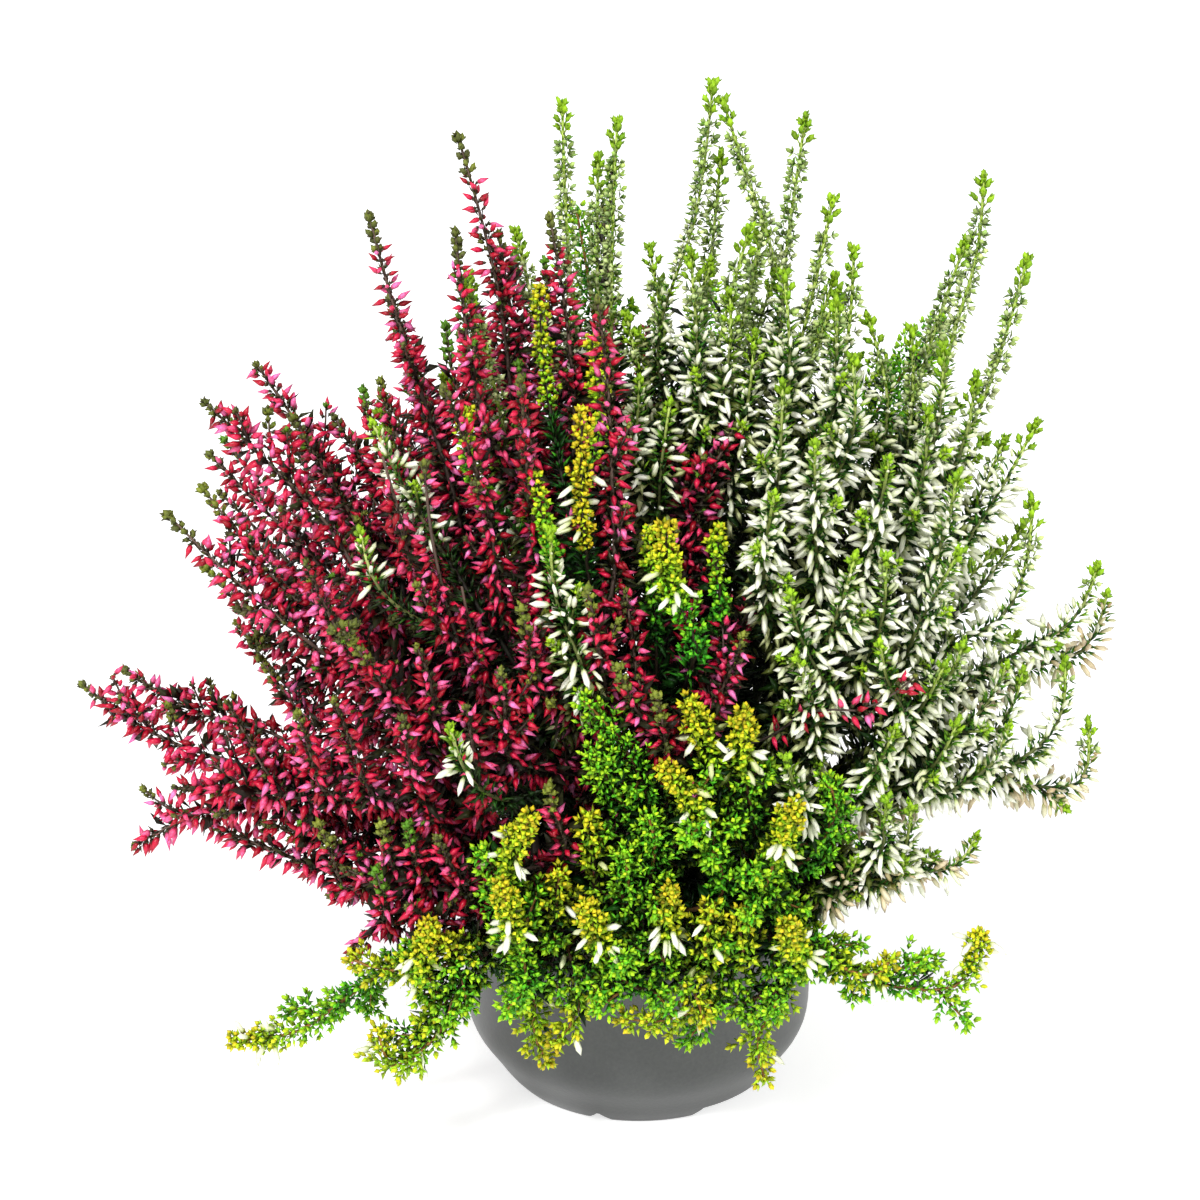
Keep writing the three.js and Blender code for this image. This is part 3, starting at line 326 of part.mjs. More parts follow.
    { at: 0.6, scale: 0.88, path: [[22.84, -45.96, 118.36], [24.65, -52.52, 137.66], [26.23, -61.39, 155.75], [28.29, -74.44, 171.01], [29.75, -87.44, 186.31], [22.95, -87.73, 204.43], [20.47, -88.09, 224.08]] },
    { at: 0.97, scale: 1.0, path: [[27.78, -56.96, 156.47], [28.83, -62.43, 169.58], [32.37, -69.34, 181.29], [37.42, -76.76, 192.06], [36.24, -76.76, 205.79], [36.72, -76.09, 219.82]] },
    { at: 0.3, scale: 0.78, path: [[19.57, -39.38, 87.4], [19.26, -49.99, 117.85], [18.81, -58.62, 149.26], [18.26, -65.08, 181.41], [15.79, -66.09, 214.09]] },
  ] },
  { name: "golden_branch_03", stem: [[26.92, -36.18, 56.4], [35.49, -45.57, 73.93], [46.53, -60.25, 78.47]], stemScale: 1.0, shoots: [
    { at: 0.97, scale: 1.0, path: [[45.87, -59.37, 78.19], [54.92, -70.01, 80.1], [60.63, -75.87, 67.62], [48.76, -81.46, 63.2], [34.68, -86.25, 63.45], [20.97, -91.31, 61.27], [8.15, -96.09, 64.99]] },
    { at: 0.3, scale: 1.0, path: [[32.06, -41.82, 66.92], [38.87, -49.93, 76.95], [47.37, -60.13, 81.17], [55.89, -70.12, 73.83], [57.1, -76.91, 61.75], [50.88, -77.88, 48.37], [53.27, -80.09, 33.98]] },
  ] },
  { name: "golden_branch_04", stem: [[31.49, -44.49, 56.4], [36.23, -54.9, 80.14], [45.94, -67.55, 99.84]], stemScale: 1.0, shoots: [
    { at: 0.97, scale: 1.0, path: [[45.36, -66.79, 98.65], [49.39, -77.86, 115.15], [46.9, -87.71, 132.77], [43.88, -94.74, 151.65], [44.22, -102.09, 170.64]] },
    { at: 0.3, scale: 1.0, path: [[34.34, -50.74, 70.65], [40.96, -62.89, 84.25], [46.9, -79.89, 91.29], [51.36, -90.13, 106.38], [55.83, -96.68, 124.09], [59.75, -104.09, 141.61]] },
    { at: 0.6, scale: 1.0, path: [[38.17, -57.43, 84.08], [44.14, -64.44, 94.25], [53.94, -69.89, 101.95], [65.49, -74.14, 108.16], [70.65, -79.43, 119.41], [73.35, -84.69, 131.77], [68.83, -90.09, 143.02]] },
  ] },
  { name: "golden_branch_05", stem: [[37.99, -36.44, 56.4], [45.3, -45.75, 72.23], [56.87, -60.48, 78.38]], stemScale: 1.0, shoots: [
    { at: 0.6, scale: 1.0, path: [[47.62, -48.7, 73.46], [54.78, -57.9, 80.8], [62.04, -68.44, 78.97], [67.38, -78.59, 71.86], [64.48, -87.97, 79.97], [60.4, -95.62, 90.58], [57.53, -104.09, 101.01]] },
    { at: 0.3, scale: 1.0, path: [[42.38, -42.02, 65.9], [50.13, -52.6, 80.16], [58.87, -68.54, 77.27], [76.01, -69.95, 68.82], [94.61, -70.01, 62.03], [113.98, -70.06, 62.84], [120.33, -70.09, 81.28]] },
    { at: 0.97, scale: 1.0, path: [[56.18, -59.6, 78.01], [61.3, -65.34, 81.76], [67.4, -70.48, 80.83], [72.99, -73.74, 75.32], [79.41, -76.63, 70.61], [87.58, -78.39, 70.64], [91.94, -80.09, 77.37]] },
  ] },
  { name: "golden_branch_06", stem: [[27.74, 12.48, 56.4], [28.54, 15.39, 97.75], [33.26, 15.11, 139.6]], stemScale: 1.0, shoots: [
    { at: 0.3, scale: 1.0, path: [[28.22, 14.23, 81.21], [29.79, 21.09, 125.47], [22.74, 35.19, 167.27], [29.76, 48.15, 209.85], [38.2, 65.98, 250.36]] },
    { at: 0.97, scale: 0.72, path: [[32.98, 15.13, 137.09], [46.32, 10.98, 153.87], [63.29, 7.82, 168.72], [73.29, 12.09, 190.71], [83.56, 16.3, 212.61], [96.76, 18.58, 233.24], [111.15, 20.07, 253.18]] },
  ] },
  { name: "golden_branch_07", stem: [[21.2, 20.69, 56.4], [23.2, 23.98, 70.12], [31.48, 29.04, 76.82]], stemScale: 1.0, shoots: [
    { at: 0.6, scale: 0.92, path: [[24.85, 24.99, 71.46], [31.79, 32.02, 81.99], [38.55, 39.73, 70.1], [46.88, 51.69, 71.08], [54.23, 64.38, 65.18], [60.21, 73.63, 54.03], [64.63, 79.13, 39.76]] },
    { at: 0.3, scale: 1.0, path: [[22.4, 22.67, 64.63], [25.57, 29.81, 81.52], [18.87, 43.3, 72.57], [18.3, 60.77, 74.57], [14.65, 75.34, 64.15], [15.11, 86, 48.46], [16.12, 96.07, 32.39]] },
    { at: 0.97, scale: 1.0, path: [[30.98, 28.74, 76.41], [42.29, 28.47, 76.73], [51.59, 21.12, 68], [61.76, 30.7, 72.37], [72.87, 38.65, 69.27], [82.8, 42.25, 58.56], [85.91, 50.21, 46.28]] },
  ] },
  { name: "golden_branch_08", stem: [[5.83, 12.07, 56.4], [4.64, 13.69, 105.22], [3.08, 17.35, 155.63]], stemScale: 1.0, shoots: [
    { at: 0.97, scale: 1.0, path: [[3.17, 17.13, 152.61], [0.61, 21.02, 185.64], [1.09, 25.22, 218.78], [-0.94, 32.01, 251.38], [-6.31, 42.07, 282.82]] },
  ] },
  { name: "golden_branch_09", stem: [[-6.11, 15.75, 56.4], [-8.79, 17.95, 68.86], [-15.55, 23.52, 77.68]], stemScale: 1.0, shoots: [
    { at: 0.6, scale: 1.0, path: [[-10.14, 19.07, 70.63], [-6.03, 33.07, 71.89], [-7.14, 47.16, 73.25], [-12.6, 59.77, 70.08], [-15.32, 70.97, 61.09], [-20.17, 82.09, 52.88], [-25.25, 93.13, 44.71]] },
    { at: 0.3, scale: 1.0, path: [[-7.72, 17.07, 63.88], [-21.96, 26.28, 68.49], [-34.87, 37.38, 71.92], [-47.51, 48.07, 66.75], [-56.05, 54.93, 53.14], [-63.32, 60.65, 38.19]] },
    { at: 0.97, scale: 1.0, path: [[-15.14, 23.19, 77.15], [-24.64, 23.46, 79.73], [-31.55, 17.59, 70.19], [-40.9, 20.47, 71.53], [-52.31, 24.87, 67.99], [-63.01, 27.73, 60.91], [-68.13, 27.83, 49.21]] },
  ] },
  { name: "golden_branch_10", stem: [[-6.56, -40.02, 56.4], [-15.43, -50.52, 74.09], [-29.33, -66.99, 79.98]], stemScale: 1.0, shoots: [
    { at: 0.3, scale: 1.0, path: [[-11.88, -46.32, 67.01], [-24.35, -58.7, 80.35], [-38.39, -75.51, 79.47], [-59.83, -76.05, 75.35], [-76.94, -75.25, 61.74], [-94.54, -74.67, 48.37], [-114.45, -74.09, 45.3]] },
    { at: 0.97, scale: 1.0, path: [[-28.5, -66, 79.63], [-35.04, -74.73, 81.76], [-42.31, -82.48, 79.57], [-49.54, -88.67, 73.96], [-53.84, -93.48, 78.84], [-52.35, -96.6, 89.21], [-49.81, -100.09, 99.32]] },
    { at: 0.78, scale: 1.0, path: [[-23.21, -59.74, 77.39], [-30.78, -67.57, 82.18], [-38.89, -75.33, 82.37], [-46.61, -82.28, 78.26], [-56.37, -84.88, 75.47], [-66.77, -84.11, 75.75], [-76.45, -84.09, 79.45]] },
    { at: 0.42, scale: 1.0, path: [[-14.01, -48.84, 71.26], [-20.96, -58.57, 78.24], [-28.21, -70.13, 81.18], [-35.14, -81.3, 77.54], [-43.67, -83.63, 67.48], [-51.96, -83.54, 56.23], [-58.43, -84.19, 43.68]] },
    { at: 0.66, scale: 1.0, path: [[-19.88, -55.79, 75.97], [-28.39, -66.65, 81.42], [-36.45, -76.69, 74.69], [-43.01, -83.03, 62.66], [-51.6, -86.6, 51.11], [-62.67, -87.2, 42.59], [-67.46, -88.09, 57.17]] },
    { at: 0.54, scale: 1.0, path: [[-16.54, -51.84, 74.56], [-23.16, -60.62, 80.95], [-29.64, -70.17, 84.08], [-35.67, -80.13, 82.22], [-41.93, -88.85, 84.39], [-47.37, -96.09, 91.15]] },
  ] },
  { name: "golden_branch_11", stem: [[8.93, -28.79, 56.4], [4.16, -34.95, 123.55], [-4.91, -43.19, 190.28]], stemScale: 1.0, shoots: [
    { at: 0.3, scale: 1.0, path: [[6.07, -32.49, 96.69], [2.21, -38.5, 128.98], [-0.45, -48.22, 160.35], [-1.34, -63.19, 189.73], [-3.8, -70.72, 220.79], [-3.94, -66.09, 253.07]] },
    { at: 0.75, scale: 1.0, path: [[-0.37, -39.07, 156.92], [-4.64, -40.59, 187.4], [-9.88, -32.02, 216.45], [-14.98, -20.92, 244.83], [-17.35, -12.09, 274.02]] },
    { at: 0.97, scale: 1.0, path: [[-4.36, -42.7, 186.28], [-5.51, -44.21, 202.22], [-3.91, -43.28, 218.05], [0.62, -39.76, 233.05], [0.78, -35.25, 248.1], [-1.04, -30.09, 263.11]] },
    { at: 0.6, scale: 1.0, path: [[2.35, -36.6, 136.9], [-1.5, -39.79, 157.09], [-6.32, -43.29, 177], [-15.16, -48.11, 195.14], [-26.28, -53.67, 211.82], [-37.24, -58.6, 228.76], [-38.74, -54.09, 248.29]] },
    { at: 0.45, scale: 1.0, path: [[4.64, -34.33, 116.84], [1.59, -38.53, 137.79], [-1.61, -43.55, 158.53], [-5.49, -52.29, 177.85], [-9.73, -63.39, 195.91], [-14.1, -74.16, 214.13], [-17.76, -72.04, 234.4]] },
  ] },
  { name: "golden_branch_12", stem: [[1.1, -47.2, 56.4], [-3.13, -55.89, 75.32], [-10.83, -71.96, 88.49]], stemScale: 1.0, shoots: [
    { at: 0.97, scale: 1.0, path: [[-10.37, -71, 87.7], [-14.79, -80.51, 94.9], [-23.62, -88.14, 99.04], [-31.19, -94.83, 105.17], [-28.15, -98.97, 116.86], [-23.92, -103.44, 128.19], [-19.1, -108.09, 139.23]] },
    { at: 0.5, scale: 1.0, path: [[-3.13, -55.89, 75.32], [-8.51, -68.28, 82.21], [-14.17, -81.87, 79.87], [-19.55, -95.33, 76.51], [-22.68, -100.7, 89.89], [-25.43, -105.02, 104.27], [-28.47, -110.09, 118.41]] },
    { at: 0.3, scale: 0.85, path: [[-1.44, -52.41, 67.75], [-5.87, -65.85, 77.01], [-10.51, -80.44, 84.6], [-12.04, -88.53, 99.4], [-10.71, -96.09, 114.86]] },
    { at: 0.7, scale: 1.0, path: [[-6.21, -62.32, 80.58], [-7.84, -70.58, 87.78], [-5.15, -77.33, 95.95], [0.11, -82.47, 104.33], [-0.44, -87.24, 113.94], [-2.21, -91.59, 123.81], [-2.22, -96.09, 133.89]] },
  ] },
  { name: "golden_branch_13", stem: [[7.3, -38.72, 56.4], [3.31, -48.92, 73.41], [-4.06, -67.42, 81.25]], stemScale: 1.0, shoots: [
    { at: 0.97, scale: 0.85, path: [[-3.62, -66.31, 80.78], [-9.9, -75.27, 84.77], [-20.32, -80.55, 85.04], [-21.4, -82.93, 76.12], [-18.67, -83.05, 64.82], [-19.24, -83.56, 53.25], [-14.55, -84.09, 42.27]] },
    { at: 0.6, scale: 0.96, path: [[1.83, -52.62, 74.98], [-1.46, -63.02, 80.17], [-4.88, -74.05, 82.85], [-8.82, -84.92, 81.93], [-4.78, -87.23, 72.12], [-6.22, -88.43, 61.39], [-13.5, -90.09, 51.95]] },
    { at: 0.3, scale: 1.0, path: [[4.9, -44.84, 66.61], [3.04, -51.76, 73.62], [1.26, -59.16, 80.23], [0.8, -69.11, 81.68], [1.58, -79.05, 78.66], [0.83, -88.65, 75.13], [1.39, -96.09, 70.54]] },
  ] },
  { name: "golden_branch_14", stem: [[11.72, -48.24, 56.4], [14.67, -56.61, 82.13], [19.76, -71.09, 104.53]], stemScale: 1.0, shoots: [
    { at: 0.97, scale: 1.0, path: [[19.45, -70.22, 103.18], [24.31, -77.58, 115.03], [36.11, -81.65, 122.51], [42.11, -86.06, 133.54], [36.75, -90.57, 146.56], [32.07, -95.26, 159.79], [27.4, -100.09, 172.99]] },
    { at: 0.6, scale: 1.0, path: [[15.68, -59.51, 86.61], [19.31, -73.77, 107.18], [17.26, -85.01, 128.94], [9.52, -90.1, 152.07], [-4.25, -96.09, 172.21]] },
    { at: 0.75, scale: 1.0, path: [[17.21, -63.85, 93.33], [17.62, -73.24, 109.04], [11.08, -81.84, 124.36], [4.92, -89.94, 140.22], [-0.99, -98.09, 156.2]] },
    { at: 0.3, scale: 1.0, path: [[13.49, -53.26, 71.84], [18.77, -64.72, 86.36], [29.33, -78.87, 93.43], [38.28, -90.94, 103.61], [36.65, -95.01, 122.25], [29.79, -100.41, 139.39], [19.44, -106.09, 154.62]] },
    { at: 0.45, scale: 1.0, path: [[14.37, -55.77, 79.55], [16.73, -64.8, 91.6], [17.12, -76.73, 100.87], [16.73, -89.18, 109.47], [17.89, -95.39, 123.22], [15.73, -102.09, 136.72]] },
  ] },
];

// ---- solids --------------------------------------------------------------------
const wasm = await Module();
wasm.setup();

function toSolid(geometry) {
  const g = geometry.index ? geometry.toNonIndexed() : geometry.clone();
  for (const name of Object.keys(g.attributes)) if (name !== "position") g.deleteAttribute(name);
  const merged = mergeVertices(g, 1e-4);
  const triVerts = new Uint32Array(merged.index.array);
  const make = (t) => new wasm.Manifold(new wasm.Mesh({ numProp: 3, vertProperties: merged.attributes.position.array, triVerts: t }));
  const solid = make(triVerts);
  if (solid.volume() > 0) return solid;
  for (let i = 0; i < triVerts.length; i += 3) [triVerts[i + 1], triVerts[i + 2]] = [triVerts[i + 2], triVerts[i + 1]];
  return make(triVerts);
}

function toGeometry(solid) {
  const mesh = solid.getMesh();
  const position = new Float32Array(mesh.numVert * 3);
  for (let i = 0; i < mesh.numVert; i++)
    for (let k = 0; k < 3; k++) position[i * 3 + k] = mesh.vertProperties[i * mesh.numProp + k];
  const g = new THREE.BufferGeometry();
  g.setAttribute("position", new THREE.BufferAttribute(position, 3));
  g.setIndex(new THREE.BufferAttribute(new Uint32Array(mesh.triVerts), 1));
  g.computeVertexNormals();
  return g;
}

// A body of revolution about the bowl's axis
function turned(profile, segments) {
  const g = new THREE.LatheGeometry(profile.map(([r, z]) => new THREE.Vector2(r, z)), segments);
  g.rotateX(Math.PI / 2);
  g.translate(BOWL_AXIS[0], BOWL_AXIS[1], 0);
  return toSolid(g);
}

// A closed tube through the points, with a ring of its own radius at each. The first ring can be level, where a stem
// stands on the soil. A pointed tube ends in its last point, a blunt one in a flat ring.
function tube(points, radii, sides, { level = false, pointed = false } = {}) {
  const P = points.map((p) => new THREE.Vector3(...p));
  const rings = pointed ? P.length - 1 : P.length;
  const position = [];
  const index = [];
  const tangentAt = (i) => {
    if (i === 0) return level ? new THREE.Vector3(0, 0, 1) : P[1].clone().sub(P[0]).normalize();
    if (i === P.length - 1) return P[i].clone().sub(P[i - 1]).normalize();
    const before = P[i].clone().sub(P[i - 1]).normalize();
    const after = P[i + 1].clone().sub(P[i]).normalize();
    return before.add(after).normalize();
  };
  let tangent = tangentAt(0);
  let side = new THREE.Vector3(1, 0, 0);
  if (Math.abs(tangent.x) > 0.8) side.set(0, 1, 0);
  side.addScaledVector(tangent, -side.dot(tangent)).normalize();
  for (let i = 0; i < rings; i++) {
    const next = tangentAt(i);
    side.applyQuaternion(new THREE.Quaternion().setFromUnitVectors(tangent, next));
    side.addScaledVector(next, -side.dot(next)).normalize();
    tangent = next;
    const other = new THREE.Vector3().crossVectors(tangent, side);
    for (let k = 0; k < sides; k++) {
      const a = (2 * Math.PI * k) / sides;
      const v = P[i].clone().addScaledVector(side, radii[i] * Math.cos(a)).addScaledVector(other, radii[i] * Math.sin(a));
      position.push(v.x, v.y, v.z);
    }
  }
  for (let i = 0; i + 1 < rings; i++)
    for (let k = 0; k < sides; k++) {
      const a = i * sides + k;
      const b = i * sides + ((k + 1) % sides);
      index.push(a, b, a + sides, b, b + sides, a + sides);
    }
  for (let k = 1; k + 1 < sides; k++) index.push(0, k + 1, k);
  const last = (rings - 1) * sides;
  if (pointed) {
    const tip = P[P.length - 1];
    position.push(tip.x, tip.y, tip.z);
    const apex = rings * sides;
    for (let k = 0; k < sides; k++) index.push(last + k, last + ((k + 1) % sides), apex);
  } else for (let k = 1; k + 1 < sides; k++) index.push(last, last + k, last + k + 1);
  const g = new THREE.BufferGeometry();
  g.setAttribute("position", new THREE.Float32BufferAttribute(position, 3));
  g.setIndex(index);
  return toSolid(g);
}

// A block that cuts one notch in the foot ring: a wedge or trapezium seen along the radius
function notchCutter({ at, bottom, top, height }) {
  const inner = 34;
  const outer = 49;
  const steps = 8;
  const position = [];
  const index = [];
  // corners for each angle step: inner low, outer low, outer high, inner high
  for (let i = 0; i <= steps; i++) {
    const u = i / steps - 0.5;
    for (const [r, z, width] of [[inner, -1, bottom + (bottom - top) / height], [outer, -1, bottom + (bottom - top) / height], [outer, height, top], [inner, height, top]]) {
      const a = ((at + u * width) * Math.PI) / 180;
      position.push(BOWL_AXIS[0] + r * Math.sin(a), BOWL_AXIS[1] - r * Math.cos(a), z);
    }
  }
  for (let i = 0; i < steps; i++)
    for (let k = 0; k < 4; k++) {
      const a = i * 4 + k;
      const b = i * 4 + ((k + 1) % 4);
      index.push(a, a + 4, b, b, a + 4, b + 4);
    }
  index.push(0, 1, 2, 0, 2, 3);
  const e = steps * 4;
  index.push(e, e + 2, e + 1, e, e + 3, e + 2);
  const g = new THREE.BufferGeometry();
  g.setAttribute("position", new THREE.Float32BufferAttribute(position, 3));
  g.setIndex(index);
  return toSolid(g);
}

function bowlSolid() {
  let solid = turned(BOWL_PROFILE, BOWL_SEGMENTS);
  for (const notch of FOOT_NOTCHES) solid = solid.subtract(notchCutter(notch));
  for (let i = 0; i < DRAIN_HOLES; i++) {
    const a = (2 * Math.PI * (i + 0.5)) / DRAIN_HOLES;
    const hole = new THREE.CylinderGeometry(DRAIN_HOLE_R, DRAIN_HOLE_R, 8, 12);
    hole.rotateX(Math.PI / 2);
    hole.translate(BOWL_AXIS[0] + DRAIN_HOLE_CIRCLE_R * Math.cos(a), BOWL_AXIS[1] + DRAIN_HOLE_CIRCLE_R * Math.sin(a), 5);
    solid = solid.subtract(toSolid(hole));
  }
  return solid;
}

function shootRadius(t) {
  for (let i = 1; i < SHOOT_RADII.length; i++) {
    const [t0, r0] = SHOOT_RADII[i - 1];
    const [t1, r1] = SHOOT_RADII[i];
    if (t <= t1) return r0 + ((r1 - r0) * (t - t0)) / (t1 - t0);
  }
  return SHOOT_RADII[SHOOT_RADII.length - 1][1];
}

function branchSolid({ stem, stemScale, shoots }) {
  let solid = tube(stem, STEM_RADII.map((r) => r * stemScale), STEM_SIDES, { level: true });
  for (const { path, scale } of shoots)
    solid = solid.add(tube(path, path.map((_, i) => shootRadius(i / (path.length - 1)) * scale), SHOOT_SIDES, { pointed: true }));
  return solid;
}

// ---- the assembly ----------------------------------------------------------------
const material = (color, roughness) => new THREE.MeshStandardMaterial({ color, roughness, metalness: 0 });
const bowlPlastic = material(0x66676a, 0.45);
const peat = material(0x2c2019, 1);
const shootMaterials = {
  crimson_branch: material(0xb21f49, 0.6),
  white_branch: material(0xd9dcc0, 0.6),
  golden_branch: material(0x9dab1c, 0.65),
};

const heather = new THREE.Group();
function addMesh(name, solid, mat) {
  const mesh = new THREE.Mesh(toGeometry(solid), mat);
  mesh.name = name;
  heather.add(mesh);
}

addMesh("bowl_pot", bowlSolid(), bowlPlastic);
addMesh("potting_soil", turned(SOIL_PROFILE, SOIL_SEGMENTS), peat);
for (const branch of BRANCHES)
  addMesh(branch.name, branchSolid(branch), shootMaterials[branch.name.slice(0, -3)]);

export default heather;
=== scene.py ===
# The look of a potted heather: crimson, white and golden bud-flowering heathers in one grey plastic bowl.
# Lengths in the tables are in millimetres, and every mesh is made in metres. +Z is up, -Y is the front.
import math

import bpy
import numpy as np
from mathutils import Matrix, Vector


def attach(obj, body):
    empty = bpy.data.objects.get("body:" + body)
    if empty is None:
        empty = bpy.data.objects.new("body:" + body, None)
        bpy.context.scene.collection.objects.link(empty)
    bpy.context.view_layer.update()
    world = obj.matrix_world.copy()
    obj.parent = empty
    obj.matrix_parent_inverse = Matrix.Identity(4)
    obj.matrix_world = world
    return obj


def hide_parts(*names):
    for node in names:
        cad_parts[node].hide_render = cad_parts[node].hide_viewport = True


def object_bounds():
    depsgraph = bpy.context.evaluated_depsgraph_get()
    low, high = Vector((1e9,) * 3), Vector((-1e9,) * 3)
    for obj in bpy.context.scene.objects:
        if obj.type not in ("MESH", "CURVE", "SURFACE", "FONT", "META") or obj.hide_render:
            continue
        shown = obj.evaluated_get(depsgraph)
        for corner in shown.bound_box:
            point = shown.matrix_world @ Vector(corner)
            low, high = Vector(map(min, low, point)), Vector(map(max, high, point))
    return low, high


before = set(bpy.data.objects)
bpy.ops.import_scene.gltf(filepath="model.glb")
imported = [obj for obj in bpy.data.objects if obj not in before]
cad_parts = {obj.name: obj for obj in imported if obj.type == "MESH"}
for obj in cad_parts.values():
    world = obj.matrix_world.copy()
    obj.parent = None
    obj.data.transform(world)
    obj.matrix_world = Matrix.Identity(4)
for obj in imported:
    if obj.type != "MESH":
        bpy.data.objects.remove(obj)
cad_low, cad_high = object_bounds()

# ---- sizes (mm) --------------------------------------------------------------------
AXIS = (14.02, -4.09)  # the bowl's axis
SOIL_TOP = 56.0
CRIMSON_BUD = (4.6, 1.88)  # length, width
WHITE_BUD = (6.9, 1.95)

